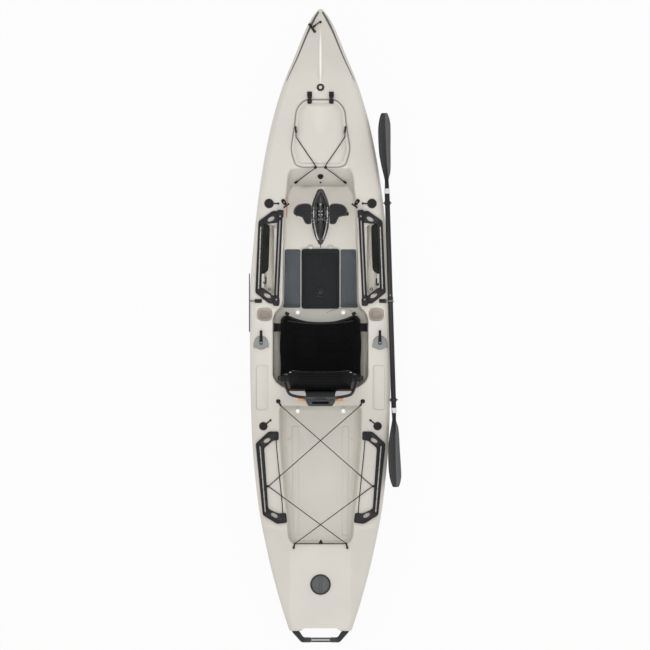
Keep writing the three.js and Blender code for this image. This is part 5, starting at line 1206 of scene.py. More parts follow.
# A pull: a tapered body with a cross bar on its inner end, and the line that leaves through its nose
PULL = (0.2235, 0.7555)
pull_outline = mirrored_outline([(0.008, 0.0215), (0.0125, 0.0115), (0.0115, -0.0075), (0.0065, -0.02)])
pull_body = dome(pull_outline, 0.005, slab(0.0003, 0.0125, 0.003), 0.003, 5)
pull_bar = turning([(0.0001, -0.0215), (0.0052, -0.0212), (0.0062, -0.0178), (0.0052, -0.01), (0.0055, 0),
                    (0.0052, 0.01), (0.0062, 0.0178), (0.0052, 0.0212), (0.0001, 0.0215)], 18)
pull_bar = pull_bar.turned("Y", 90).moved(0, -0.0255, 0.0085)
pull_neck = rope([(0, -0.014, 0.0085), (0, -0.0258, 0.0085)], 0.0054, 0.003, 14)
build_pair("rudder_handle", (pull_body + pull_bar + pull_neck).turned("Z", -36).moved(*PULL, DECK), BLACK,
           "rudder_pull_", "rudder_pull_")
pull_dot = turning([(0.0001, 0.0155), (0.0038, 0.0155), (0.0034, 0.0168), (0.0001, 0.0172)], 16)
build_pair("rudder_handle_dot", pull_dot.turned("Z", -36).moved(*PULL, DECK), STRIP, "rudder_pull_")

# %% Steering levers and paddle keepers
lever_disc = turning([(0.0001, 0), (0.041, 0), (0.043, 0.0012), (0.043, 0.0045), (0.0415, 0.0062),
                      (0.0405, 0.011), (0.0385, 0.0136), (0.033, 0.014), (0.0315, 0.0128), (0.0225, 0.0128),
                      (0.021, 0.014), (0.0125, 0.0142), (0.0001, 0.0142)], 56)
ear_outline = [(0.0405, 0.001), (0.0468, -0.004), (0.0462, -0.03), (0.0395, -0.034), (0.032, -0.02)]
ears = stack(ear_outline, 0.004, slab(0.0004, 0.0135, 0.002), 4)
ears = ears + ears.mirrored()
post = disc(0.0079, -0.021, 0.002, 0.001, 28)
build_pair("steering_disc", (lever_disc + ears + post).moved(*LEVER, DECK), DISC, "steering_lever_",
           "steering_lever_", smooth=30)
arm_outline = [(0.0095, -0.012), (0.0098, 0.012), (0.0078, 0.06), (0.0088, 0.076)]
arm = dome(mirrored_outline(arm_outline), 0.006, slab(0.0115, 0.0205, 0.003), 0.0022, 5)
arm_rib = block(0.0045, 0.05, 0.003, 0.001, 0.002, 3).moved(y=0.036, z=0.0232)
arm_bolt = turning([(0.0001, 0.02), (0.0058, 0.02), (0.0055, 0.0245), (0.003, 0.0262), (0.0001, 0.0262)], 20)
build_pair("steering_arm", (arm + arm_rib).moved(*LEVER, DECK), BLACK, "steering_lever_", smooth=40)
build_pair("steering_bolt", arm_bolt.moved(*LEVER, DECK), STEEL, "steering_lever_")

KEEPER = {"inner": 0.36, "outer": 0.404, "y": 0.149}
keeper_outline = rectangle(KEEPER["inner"], KEEPER["outer"], KEEPER["y"] - 0.012, KEEPER["y"] + 0.012)
keeper_bar = stack(keeper_outline, 0.004, slab(DECK, DECK + 0.008, 0.002), 4)
keeper_screw = turning([(0.0001, 0), (0.0034, 0), (0.0031, 0.0012), (0.0001, 0.0017)], 14)
keeper_screws = joined(keeper_screw.moved(x, KEEPER["y"], DECK + 0.0079) for x in (0.369, 0.39))
build_pair("keeper_bar", keeper_bar, BLACK, "boat", "paddle_keeper_")
build_pair("keeper_screws", keeper_screws, BLACK)
PADDLE = {"x": 0.4296, "y": 0.155, "turn": 1.78, "shaft": 0.0155, "z": DECK + 0.0155 + 0.0022}
shaft_x = PADDLE["x"] - (KEEPER["y"] - PADDLE["y"]) * math.tan(math.radians(PADDLE["turn"]))
wrap_radius = PADDLE["shaft"] + 0.0042
side_x = BEAM / 2 + 0.0033
wrap = [(shaft_x + wrap_radius * math.cos(a), KEEPER["y"], PADDLE["z"] + wrap_radius * math.sin(a))
        for a in np.radians([180, 150, 120, 90, 60, 30, 0])]
half_way = (shaft_x + wrap_radius + side_x) / 2
loop_path = [(0.396, KEEPER["y"], DECK + 0.004), *wrap, (half_way, KEEPER["y"], 0.294),
             (side_x, KEEPER["y"], 0.262)]
build("keeper_loop_starboard", rope(loop_path, 0.003, 0.003), CORD_PALE)
line_x, line_z = -side_x - 0.0004, 0.282
port_loop = rope([(-0.396, KEEPER["y"], DECK + 0.004), (-0.4165, KEEPER["y"], 0.3075),
                  (-0.429, KEEPER["y"], 0.3035), (line_x, KEEPER["y"], line_z)], 0.003, 0.003)
port_path = [(line_x, y, line_z + 0.0012 * math.sin(y * 40)) for y in np.linspace(0.318, -0.04, 9)]
build("keeper_loop_port", port_loop, CORD)
build("keeper_line_port", rope(port_path, 0.003), CORD)
print("side decks ready")

# %% [markdown]
# ## Pedal drive
#
# The dock lines the well in the floor. The spine drops into it and carries the cross shaft. Each crank is
# a bent alloy arm, and each pedal a dished rubber tread with a guard along its outer front edge, painted
# paler as a painted highlight. Two glossy legs run aft along the spine to a point, and a bright polished
# strip on each is a painted highlight where they catch the light.
# Under the keel two drums turn on one axle and carry the fins, which are lofted foil sections.

# %% Drive dock and spine
FLOOR = COCKPIT["floor"]
DOCK_TOP = FLOOR + 0.0043
well = mirrored_outline(WELL_CORNERS)
flange = stack(well, WELL_CORNER,
               [(-0.0035, FLOOR + 0.0003), (-0.005, FLOOR + 0.0012), (-0.005, DOCK_TOP - 0.0014),
                (-0.0035, DOCK_TOP)], 5)
liner = stack(well, WELL_CORNER, [(0.0003, 0.012), (0.0003, FLOOR + 0.003)], 5)
liner_hole = stack(well, WELL_CORNER, [(0.0033, -0.01), (0.0033, FLOOR + 0.03)], 5)
build("drive_dock_frame", flange, BLACK, "boat", "drive_dock", cuts=[liner_hole], bevel=0.0006)
build("drive_dock_liner", liner, BLACK, cuts=[liner_hole])

CAM = (0.058, 0.69, DOCK_TOP + 0.0087)
cam_pad = stack(rectangle(0.047, 0.066, 0.672, 0.708), 0.005, slab(FLOOR + 0.0003, DOCK_TOP, 0.0012), 4)
cheek = along_y(disc(0.0062, -0.002, 0.002, 0.0008, 24))
cheek = cheek + block(0.009, 0.004, 0.009, 0.0006, 0.001).moved(z=-0.0045)
cheeks = (cheek.moved(y=0.0083) + cheek.moved(y=-0.0083)).moved(*CAM)
build_pair("cam_mount", cam_pad + cheeks, BLACK)
cam_lever = block(0.05, 0.0112, 0.005, 0.0018, 0.004, 4).moved(0.031)
cam_lever = cam_lever + along_y(disc(0.006, -0.0056, 0.0056, 0.001, 24))
cam_lever = cam_lever + block(0.012, 0.013, 0.0066, 0.002, 0.004, 4).moved(0.052)
build_pair("cam_lever", cam_lever.moved(*CAM), RAIL, "dock_cam_", "dock_cam_")
build_pair("cam_pin", along_y(disc(0.0027, -0.0108, 0.0108, 0.0005, 16)).moved(*CAM), STEEL)

spine_z = DOCK_TOP + 0.0003
plate = stack(well, WELL_CORNER,
              [(0.0002, spine_z), (-0.0012, spine_z + 0.0012), (-0.0012, spine_z + 0.0045),
               (0.0008, spine_z + 0.006), (0.004, spine_z + 0.0064)], 6)
plate_hole = stack(well, WELL_CORNER, [(0.0125, spine_z + 0.003), (0.0112, spine_z + 0.02)], 6)
tub = stack(well, WELL_CORNER, [(0.0056, 0.009), (0.0038, 0.012), (0.0038, spine_z + 0.0015)], 6)
build("spine_rim", plate, BLACK_GLOSS, "boat", "drive_spine", cuts=[plate_hole], bevel=0.0005)
build("spine_tub", tub, BLACK)
CRANK_Y, CRANK_Z = 0.69, 0.15
BOLT_SPOTS = [(x, y) for x in (-0.0088, 0.0088) for y in (0.679, 0.7)]
PULLEY_X, PULLEY_Y = 0.027, (0.735, 0.639)
body_outline = mirrored_outline([(0.007, 0.803), (0.0175, 0.765), (0.021, 0.735), (0.021, 0.62),
                                 (0.012, 0.575), (0.005, 0.548)])
body = dome(body_outline, 0.012, [(0, spine_z - 0.002), (0, 0.15), (0.0015, 0.164), (0.004, 0.171),
                                  (0.007, 0.1745)], 0.004, 6)
notch = block(0.1, 0.016, 0.03, 0.004, 0.004, 3).moved(y=0.648, z=0.182)
build("spine_body", body, BLACK_GLOSS, cuts=[notch])
cover = dome(mirrored_outline([(0.006, 0.79), (0.0125, 0.745), (0.0125, 0.668), (0.007, 0.662)]), 0.005,
             [(0, 0.174), (0, 0.1772), (0.0012, 0.1788), (0.0028, 0.1794)], 0.0012, 5)
build("spine_cover", cover, BLACK_GLOSS)
bolt_head = turning([(0.0001, 0), (0.0046, 0), (0.0046, 0.0022), (0.0038, 0.003), (0.0024, 0.003),
                     (0.0022, 0.0018), (0.0001, 0.0016)], 20)
bolts = joined(bolt_head.moved(x, y, 0.179) for x, y in BOLT_SPOTS)
build("spine_bolts", bolts + bolt_head.scaled(1.3, 1.3, 1).moved(0, 0.742, 0.179), STEEL)
boss = turning([(0.0001, 0), (0.0068, 0), (0.0065, 0.003), (0.0001, 0.003)], 20)
build("spine_bosses", joined(boss.moved(x, y, 0.1772) for x, y in BOLT_SPOTS), BLACK)
shaft = disc(0.009, -0.0345, 0.0345, 0.0012, 28)
shaft = shaft + disc(0.0085, -0.0385, -0.0343, 0.001, 6) + disc(0.0085, 0.0343, 0.0385, 0.001, 6)
build("cross_shaft", along_x(shaft).moved(y=CRANK_Y, z=CRANK_Z), STEEL)
pulley = along_x(turning([(0.0001, -0.0032), (0.016, -0.0032), (0.016, -0.0022), (0.0135, -0.0008),
                          (0.0135, 0.0008), (0.016, 0.0022), (0.016, 0.0032), (0.0001, 0.0032)], 36))
pulleys = joined(pulley.moved(x, y, 0.158) for x in (-PULLEY_X, PULLEY_X) for y in PULLEY_Y)
build("spine_pulleys", pulleys, BLACK_GLOSS)
fore, aft = PULLEY_Y
cables = [rope([(x, fore, 0.1735), (x, 0.7, 0.1745), (x, 0.66, 0.1745), (x, aft, 0.1735)], 0.0014, 0.008)
          for x in (-PULLEY_X, PULLEY_X)]
build("spine_cables", joined(cables), STEEL)
leg = [(0.0415, 0.672, 0.132), (0.0455, 0.645, 0.139), (0.0445, 0.612, 0.1405), (0.0335, 0.565, 0.1385),
       (0.0185, 0.525, 0.1345), (0.0055, 0.502, 0.1295)]
build_pair("spine_leg", rope(leg, (0.0052, 0.0062, 0.0058, 0.0048), 0.005, 16), BLACK_GLOSS)
# A bright metal strip on each leg is a painted highlight where the glossy leg catches the light.
glint = [(x * 0.82 - 0.001, y, z + 0.0036) for x, y, z in leg[1:-1]]
build_pair("spine_leg_highlight", rope(glint, (0.004, 0.0052, 0.0038), 0.005, 12), LEG_STRIP_PAINTED_HIGHLIGHT)
FIN_AXLE_Y, FIN_AXLE_Z = 0.675, -0.016
lugs = []
for y in (FIN_AXLE_Y + 0.10645, FIN_AXLE_Y - 0.10645):
    lug = along_y(disc(0.019, -0.006, 0.006, 0.0015, 36)).moved(y=y, z=FIN_AXLE_Z)
    lugs.append(lug + block(0.038, 0.012, 0.03, 0.001, 0.0015).moved(0, y, -0.001))
build("spine_lugs", joined(lugs), RAIL)
fin_axle = along_y(disc(0.006, -0.1125, 0.1125, 0.001, 24)).moved(y=FIN_AXLE_Y, z=FIN_AXLE_Z)
build("spine_axle", fin_axle, STEEL)

# %% Cranks and pedals
hub_x = 0.0273
PEDAL_Z = 0.358
arm = rope([(hub_x, CRANK_Y, CRANK_Z), (hub_x + 0.0005, CRANK_Y, 0.185), (hub_x + 0.007, CRANK_Y, 0.25),
            (0.042, CRANK_Y, 0.31), (0.042, CRANK_Y, 0.345)], 0.0078, 0.006, 18)
hub = along_x(turning([(0.0001, -0.006), (0.022, -0.006), (0.024, -0.004), (0.024, 0.0035), (0.022, 0.006),
                       (0.014, 0.006), (0.013, 0.0045), (0.0001, 0.0045)], 44)).moved(hub_x, CRANK_Y, CRANK_Z)
build_pair("crank_arm", arm, ALLOY_BRIGHT, "crank_", "crank_")
build_pair("crank_hub", hub, BLACK_GLOSS, "crank_",
           cuts=[along_x(disc(0.0094, -0.05, 0.05, 0.0001, 28)).moved(hub_x, CRANK_Y, CRANK_Z)])
head = stack(rectangle(0.0352, 0.0488, 0.676, 0.704), 0.005, slab(0.34, 0.3655, 0.004), 5)
build_pair("crank_head", head, BLACK_GLOSS, "crank_")
axle = along_x(disc(0.0064, 0.0488, 0.158, 0.001, 24)).moved(y=CRANK_Y, z=PEDAL_Z)
build_pair("pedal_axle", axle, STEEL, "crank_")
channel = block(0.0085, 0.098, 0.008, 0.0025, 0.004, 4).moved(0.0425, 0.676, 0.3635)
build_pair("crank_channel", channel, ALLOY_BRIGHT, "crank_")
slot = block(0.0042, 0.011, 0.002, 0.0008, 0.002, 3)
slots = joined(slot.moved(0.0425, y, 0.368) for y in (0.64, 0.657, 0.712))
build_pair("crank_channel_slots", slots, BLACK, "crank_")

# The tread, with a dished pad and its ribs. The levels are pairs of inset and height from the pedal's base.
tread = [(0.0535, 0.738), (0.083, 0.7495), (0.112, 0.748), (0.141, 0.7405), (0.16, 0.722), (0.167, 0.702),
         (0.165, 0.682), (0.147, 0.6725), (0.112, 0.664), (0.103, 0.643), (0.09, 0.626), (0.066, 0.624),
         (0.057, 0.634), (0.0535, 0.66)]
base = 0.348
pedal_levels = [(0.006, base), (0.0025, base + 0.0012), (0.0003, base + 0.004), (0, base + 0.008),
                (0.0004, base + 0.02), (0.0018, base + 0.0228), (0.0038, base + 0.0236)]
dish = stack(tread, 0.011, [(0.013, base + 0.0172), (0.0095, base + 0.018), (0.0065, base + 0.0208),
                            (0.0055, base + 0.034)], 5)
pedal_bore = along_x(disc(0.0069, 0.04, 0.158, 0.0001, 24)).moved(y=CRANK_Y, z=PEDAL_Z)
build_pair("pedal_tread", stack(tread, 0.012, pedal_levels, 5), PEDAL, "pedal_", "pedal_",
           cuts=[dish, pedal_bore], smooth=45)
RIB_STEP = 0.0085
ribs = []
for k in range(9):
    y = 0.672 + k * RIB_STEP
    left, right = 0.0655, min(0.153, 0.153 - max(0, y - 0.712) * 0.9)
    ribs.append((right - left, (left + right) / 2, y))
ribs += [(0.026, 0.0795, 0.638 + k * RIB_STEP) for k in range(4)]
grips = [block(width, 0.0034, 0.0034, 0.0012, 0.0016, 3).moved(x, y, base + 0.0176) for width, x, y in ribs]
pad = stack(tread, 0.011, [(0.0145, base + 0.0165), (0.0122, base + 0.0175), (0.0128, base + 0.0184)], 5)
build_pair("pedal_pad", pad, PEDAL_PAD, "pedal_", smooth=45)
build_pair("pedal_grips", joined(grips), PEDAL_PAD, "pedal_")

# The guard is a wall on the tread's outer front edge. Each row is its section, five points round.
guard = [(0.064, 0.7445, base + 0.024), (0.086, 0.7475, base + 0.033), (0.112, 0.746, base + 0.0395),
         (0.139, 0.7385, base + 0.0405), (0.1565, 0.7215, base + 0.036), (0.1635, 0.7, base + 0.0275),
         (0.162, 0.684, base + 0.021)]
GUARD_THICK, TREAD_CENTRE, guard_low = 0.0042, (0.105, 0.69), base + 0.0165
rows = []
for point in smooth_path(guard, 0.004):
    inward = np.array(TREAD_CENTRE) - point[:2]
    inward = inward / np.linalg.norm(inward) * GUARD_THICK
    top = point[2]
    section = [(0, guard_low), (-0.35, top - 0.003), (0, top), (0.75, top - 0.001), (1, guard_low)]
    rows.append(np.array([(*(point[:2] + inward * share), z) for share, z in section]))
# The guard's paler finish is a painted highlight along the tread's outer front edge.
build_pair("pedal_guard", loft(rows), PEDAL_RIM_PAINTED_HIGHLIGHT, "pedal_", smooth=60)
tab_outline = [(0.15, 0.7), (0.1745, 0.696), (0.176, 0.674), (0.15, 0.672)]
tab = stack(tab_outline, 0.005, slab(base + 0.004, base + 0.0175, 0.003), 4)
build("pedal_tab_starboard", tab.moved(-0.0015), BLACK, "pedal_starboard")
heel = rope([(0.058, 0.64, base + 0.019), (0.06, 0.628, base + 0.026), (0.072, 0.6235, base + 0.0305),
             (0.088, 0.6265, base + 0.0285), (0.099, 0.641, base + 0.019)], 0.0034, 0.003, 12)
build_pair("pedal_heel_rest", heel, PEDAL, "pedal_")
orange_edge = [(-0.2035, 0.79, 0.285), (-0.206, 0.72, 0.278), (-0.2075, 0.66, 0.27)]
build("cockpit_edge_line", rope(orange_edge, (0.0016, 0.0024, 0.0036, 0.0026), 0.008), ORANGE)
print("cranks and pedals ready")

# %% Fins
def foil(root=-0.0585, tip=-0.4, stations=26, count=36):
    """Foil sections down a mast: an ellipse ahead of it, a thin tail behind it, and a rounded tip."""
    depth = np.linspace(root, tip, stations)
    known = np.array([root, (root - 0.23) / 2, -0.23, -0.343, tip])
    lead, trail, thick = (np.interp(-depth, -known, values) for values in (
        [0.012, 0.017, 0.017, 0.0115, 0.006], [0.07, 0.079, 0.079, 0.0585, 0.038],
        [0.019, 0.019, 0.013, 0.0095, 0.006]))
    share = np.linspace(0, 1, stations)
    close = np.sqrt(np.clip(1 - np.clip((share - 0.9) / 0.1, 0, 1) ** 2, 0.003, 1))
    t = np.arange(count) / count * 2 * np.pi
    rings = []
    for z, fore, aft, wide, k in zip(depth, lead, trail, thick, close):
        reach = np.where(np.cos(t) > 0, fore, aft)
        waist = np.where(np.cos(t) > 0, 1, 1 + 0.78 * np.cos(t))
        rings.append(np.column_stack([wide / 2 * k * np.sin(t) * waist,
                                      reach * (0.35 + 0.65 * k) * np.cos(t), np.full(count, z)]))
    return loft(rings)


drum = along_y(turning([(0.0001, -0.0498), (0.019, -0.0498), (0.022, -0.0475), (0.022, -0.004),
                        (0.0205, -0.003), (0.0205, 0.003), (0.022, 0.004), (0.022, 0.0475), (0.019, 0.0498),
                        (0.0001, 0.0498)], 44))
mast = turning([(0.0001, -0.21), (0.0038, -0.21), (0.0045, -0.207), (0.0045, -0.062), (0.009, -0.0575),
                (0.009, -0.028), (0.0001, -0.028)], 24)
drum_bore = along_y(disc(0.0063, -0.06, 0.06, 0.0001, 24))
mast_bore = disc(0.0049, -0.2105, -0.03, 0.0001, 24)
for name, y in (("fore", 0.72515), ("aft", 0.62485)):
    build(f"fin_drum_{name}", drum.moved(y=y, z=FIN_AXLE_Z), ALLOY, f"fin_mast_{name}", f"fin_mast_{name}",
          cuts=[drum_bore.moved(y=y, z=FIN_AXLE_Z)])
    build(f"fin_mast_rod_{name}", mast.moved(y=y), STEEL, f"fin_mast_{name}")
    build(f"fin_foil_{name}", foil().moved(y=y), FIN, f"fin_{name}", f"fin_{name}",
          cuts=[mast_bore.moved(y=y)], smooth=60)

# %% [markdown]
# ## Centre hatch and mats
#
# The lid over the gear tub is a pan with a rolled edge, a seam ahead of its raised panel and a hexagonal
# twist latch. A ribbed foam mat lies on each side of it.

# %% Centre hatch
tub_outline = mirrored_outline([(BUCKET["half"], BUCKET["fore"]), (BUCKET["half"], BUCKET["aft"])])
bucket_body = stack(tub_outline, BUCKET["corner"], [
    (0.011, 0.0153), (0.0045, 0.0165), (0.0016, 0.0215), (0.0003, 0.06), (0.0003, FLOOR + 0.0002),
    (-0.006, FLOOR + 0.0003), (-0.006, FLOOR + 0.0033)], 6)
bucket_space = stack(tub_outline, BUCKET["corner"], [
    (0.0125, 0.0185), (0.0068, 0.0215), (0.0045, 0.028), (0.0033, 0.07), (0.0033, FLOOR + 0.02)], 6)
build("gear_tub", bucket_body, LID, "boat", "gear_bucket", cuts=[bucket_space], smooth=45)
LID_BASE = FLOOR + 0.0036
lid_plan = mirrored_outline([(0.117, 0.4695), (0.117, 0.1015)])
lid_body = stack(lid_plan, 0.02, [(0.0015, LID_BASE), (0.0002, LID_BASE + 0.001), (0, LID_BASE + 0.0095),
                                  (0.001, LID_BASE + 0.0122), (0.0035, LID_BASE + 0.0138),
                                  (0.009, LID_BASE + 0.014)], 7)
panel_plan = mirrored_outline([(0.1035, 0.4435), (0.1035, 0.1135)])
LATCH_Y, HINGE_Y = 0.204, 0.481
panel = dome(panel_plan, 0.014,
             [(0, LID_BASE + 0.0095), (0, LID_BASE + 0.0145), (0.0012, LID_BASE + 0.0158),
              (0.004, LID_BASE + 0.0166)], 0.0016, 6)
edge_gap = stack(panel_plan, 0.0155, [(-0.0016, LID_BASE + 0.0112), (-0.0016, LID_BASE + 0.03)], 6)
seam = block(0.2, 0.0024, 0.004, 0.0006, 0.0012, 3).moved(0, 0.4545, LID_BASE + 0.0145)
pan_space = stack(lid_plan, 0.016, [(0.018, LID_BASE - 0.002), (0.018, LID_BASE + 0.009)], 5)
latch_hole = disc(0.0096, LID_BASE - 0.01, LID_BASE + 0.04, 0.0001, 28).moved(y=LATCH_Y)
build("centre_lid_pan", lid_body, LID, "centre_hatch", "centre_hatch_lid",
      cuts=[edge_gap, seam, pan_space, latch_hole], bevel=0.0004)
build("centre_lid_panel", panel, LID, "centre_hatch", cuts=[latch_hole])
for side, x in (("starboard", 0.06), ("port", -0.06)):
    knuckle = along_x(disc(0.0068, -0.0097, 0.0097, 0.001, 24)).moved(x, HINGE_Y, LID_BASE + 0.0087)
    neck = block(0.0194, 0.018, 0.006, 0.0012, 0.002).moved(x, 0.474, LID_BASE + 0.0085)
    build(f"centre_lid_knuckle_{side}", knuckle + neck, HULL, "centre_hatch")
    forks = joined(along_x(disc(0.0068, -0.0022, 0.0022, 0.0008, 24)).moved(x + dx, HINGE_Y,
                                                                            LID_BASE + 0.0087)
                   + block(0.0044, 0.013, 0.0115, 0.0006, 0.001).moved(x + dx, HINGE_Y, LID_BASE + 0.0025)
                   for dx in (-0.0124, 0.0124))
    base_plate = block(0.034, 0.02, 0.003, 0.0008, 0.002).moved(x, 0.482, FLOOR + 0.0018)
    pin = along_x(disc(0.0028, -0.0155, 0.0155, 0.0005, 16)).moved(x, HINGE_Y, LID_BASE + 0.0087)
    build(f"centre_hinge_{side}", forks + base_plate, HULL)
    build(f"centre_hinge_pin_{side}", pin, STEEL)
latch_z = LID_BASE + 0.0183
hexagon = [(0.034 * math.cos(a), 0.034 * math.sin(a)) for a in np.radians(np.arange(6) * 60)]
latch_top = stack(hexagon, 0.009, [
    (0.0015, latch_z), (0, latch_z + 0.0015), (0, latch_z + 0.0055), (0.0022, latch_z + 0.0085),
    (0.0052, latch_z + 0.0095), (0.0075, latch_z + 0.0086), (0.009, latch_z + 0.0062)], 5)
wing = dome(rectangle(-0.026, 0.026, -0.0052, 0.0052), 0.005,
            slab(latch_z + 0.003, latch_z + 0.0098, 0.002), 0.0016, 5)
hub_cap = turning([(0.0001, latch_z + 0.004), (0.0125, latch_z + 0.004), (0.012, latch_z + 0.0092),
                   (0.0085, latch_z + 0.0115), (0.0001, latch_z + 0.0122)], 32)
stem = disc(0.009, LID_BASE + 0.004, latch_z + 0.003, 0.0005, 24)
tongue = block(0.06, 0.014, 0.004, 0.001, 0.003, 3).moved(z=LID_BASE + 0.0067)
build("centre_latch_grip", latch_top.moved(y=LATCH_Y), BLACK, "centre_latch", "centre_hatch_latch")
build("centre_latch_wing", (wing + hub_cap).moved(y=LATCH_Y), RAIL, "centre_latch")
build("centre_latch_stem", (stem + tongue).moved(y=LATCH_Y), BLACK, "centre_latch")

mat_plan = [(0.123, 0.466), (0.219, 0.466), (0.2305, 0.108), (0.123, 0.108)]
mat = stack(mat_plan, 0.012, [(0, FLOOR + 0.0003), (0, FLOOR + 0.0034), (0.0006, FLOOR + 0.0045),
                              (0.0018, FLOOR + 0.0053)], 6)
cross_groove = block(0.2, 0.0022, 0.003, 0.0005, 0.001)
long_groove = block(0.0016, 0.31, 0.002, 0.0005, 0.0007)
mat_cuts = [cross_groove.moved(0.17, y, FLOOR + 0.0054) for y in (0.4535, 0.4445, 0.1215, 0.1305)]
mat_cuts += [long_groove.moved(x, 0.287, FLOOR + 0.0057) for x in (0.133, 0.1415)]
mat_cuts.append(disc(0.0146, 0.08, 0.2).moved(x=SCUPPERS[0][0], y=SCUPPERS[0][1]))
for side, sign in (("starboard", 1), ("port", -1)):
    made = build(f"deck_mat_{side}", mat if sign > 0 else mat.mirrored(), FOAM, "boat", f"mat_{side}",
                 cuts=[cut if sign > 0 else cut.mirrored() for cut in mat_cuts], bevel=0.0003)

# Pale collars of the scupper holes
collar = disc(0.0162, 0.0001, 0.0028, 0.0012, 40)
collar_hole = disc(0.0112, -0.01, 0.02, 0.0001, 40)
scupper_z = (FLOOR + 0.0002, CARGO["floor"] + 0.0002)
for name, (x, y), z in zip(("cockpit", "cargo"), SCUPPERS, scupper_z):
    hole = collar_hole.moved(x, y, z)
    build_pair(f"scupper_collar_{name}", collar.moved(x, y, z), SCUPPER, cuts=[hole], bevel=0.0004)

# The pull cord of the drive lies over the lid's front edge
tab_cord = rope([(0.004, 0.4585, LID_BASE + 0.0162), (0.0065, 0.44, LID_BASE + 0.0195),
                 (0.001, 0.42, LID_BASE + 0.0195), (0.006, 0.395, LID_BASE + 0.0195),
                 (0.012, 0.37, LID_BASE + 0.0198), (0.02, 0.348, LID_BASE + 0.0198)], 0.0024, 0.004)
tab_ring = rope([(0.02 + 0.0085 * math.cos(a), 0.34 + 0.0085 * math.sin(a), LID_BASE + 0.0198)
                 for a in np.linspace(0, 2 * np.pi, 22)], 0.0022, 0.002)
build("lid_pull_cord", tab_cord, CORD, "centre_hatch")
build("lid_pull_ring", tab_ring, RAIL, "centre_hatch")
tail_cord = rope([(0, 0.507, 0.1262), (0.0008, 0.497, 0.1268), (0.0003, 0.487, 0.1225),
                  (0.001, 0.478, 0.119)],
                 0.0022, 0.002)
build("drive_tail_cord", tail_cord, CORD)
print("centre hatch ready")

# %% [markdown]
# ## The seat
#
# The seat is a bent tube frame on four feet. Its cushion and its back are padded cloth. Each starts as a
# thin pillow, is remeshed into small even cells, and is blown up from inside by a cloth simulation. How
# far a point may move is capped, so the pads stay in their places. After that the sewn channels, the
# side bolsters and the centre seam are pressed into them, and piping follows their surface.

# %% Padded cloth
SEAT_Z = 0.2253
BACK_HINGE, BACK_LEAN = (-0.327, 0.336), 16
SWELL_FRAMES, PAD_TRAVEL, PAD_FILL = 20, 0.005, 0.6


def pillow(half_at, front_at, end, low, high, rows=44, around=64):
    """A plain pillow from a curved front edge to a straight end. Its rings run across it."""
    t = np.arange(around) / around * 2 * np.pi
    rings = []
    for w in np.sin(np.linspace(-np.pi / 2, np.pi / 2, rows) * 0.985):
        v = (w + 1) / 2
        u = np.cos(t)
        swell = 0.35 + 0.65 * np.maximum((1 - np.abs(u) ** 5) * (1 - abs(w) ** 5), 0.0004) ** 0.4
        z = np.where(np.sin(t) >= 0, high, -low) * swell
        half = half_at(v) * (1 - 0.04 * (1 - swell) * abs(w))
        front = front_at(np.abs(u))
        rings.append(np.column_stack([u * half, front + v * (end - front), z + low]))
    body = loft(rings)
    caps = []
    for start in (0, (rows - 1) * around):
        for i in range(around // 2):
            corners = dict.fromkeys([i, i + 1, (around - i - 1) % around, (around - i) % around])
            caps.append(tuple(start + k for k in corners))
    body.faces = body.faces[:-2] + caps
    return body


def blown_up(name, shape, cap, voxel=0.005, pressure=4.0):
    """The shape remeshed and swollen by cloth under pressure, with every point's travel capped."""
    made = bare(name, shape)
    remesh = made.modifiers.new("remesh", "REMESH")
    remesh.mode, remesh.voxel_size = "VOXEL", voxel
    apply_modifiers(made)
    before = np.array([v.co for v in made.data.vertices])
    cloth = made.modifiers.new("swell", "CLOTH")
    settings = cloth.settings
    settings.quality, settings.mass = 5, 0.25
    settings.tension_stiffness = settings.compression_stiffness = 14
    settings.shear_stiffness, settings.bending_stiffness = 5, 0.4
    settings.use_pressure, settings.uniform_pressure_force = True, pressure
    settings.effector_weights.gravity = 0
    cloth.collision_settings.use_self_collision = False
    cloth.point_cache.frame_start, cloth.point_cache.frame_end = 1, SWELL_FRAMES
    for frame_number in range(1, SWELL_FRAMES + 1):
        scene.frame_set(frame_number)
    seen = made.evaluated_get(bpy.context.evaluated_depsgraph_get())
    after = np.array([v.co for v in seen.data.vertices])
    made.modifiers.clear()
    scene.frame_set(1)
    move = after - before
    reach = np.linalg.norm(move, axis=1, keepdims=True)
    moved = before + move * np.minimum(1, cap / np.maximum(reach, 1e-9))
    made.data.vertices.foreach_set("co", moved.ravel())
    print(name, "cells", len(moved), "largest move", round(float(reach.max()) * 1000, 1), "mm")
    return made


def shaped(made, change):
    """Moves the vertices of a piece by a function of all their points."""
    points = np.array([v.co for v in made.data.vertices])
    made.data.vertices.foreach_set("co", change(points).ravel())
    made.data.update()


def finish_pad(made, body, replaces):
    """One subdivision, smooth shading, finish and declarations of a pad."""
    fine = made.modifiers.new("fine", "SUBSURF")
    fine.levels = fine.render_levels = 1
    apply_modifiers(made)
    made.data.materials.clear()
    made.data.materials.append(CLOTH)
    made.data.shade_smooth()
    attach(made, body)
    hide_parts(replaces)


def lines_in(v, count, depth, sharp=10):
    """Depth of sewn channels spread evenly along a share."""
    return depth * np.maximum(0, np.cos(2 * np.pi * count * v)) ** sharp


def ridge(u, middle, width):
    """A soft ridge on each side, at a share of the half width."""
    return np.exp(-(((np.abs(u) - middle) / width) ** 2))


def bolsters(u):
    """The raised sides of a pad."""
    return ridge(u, 0.82, 0.13)


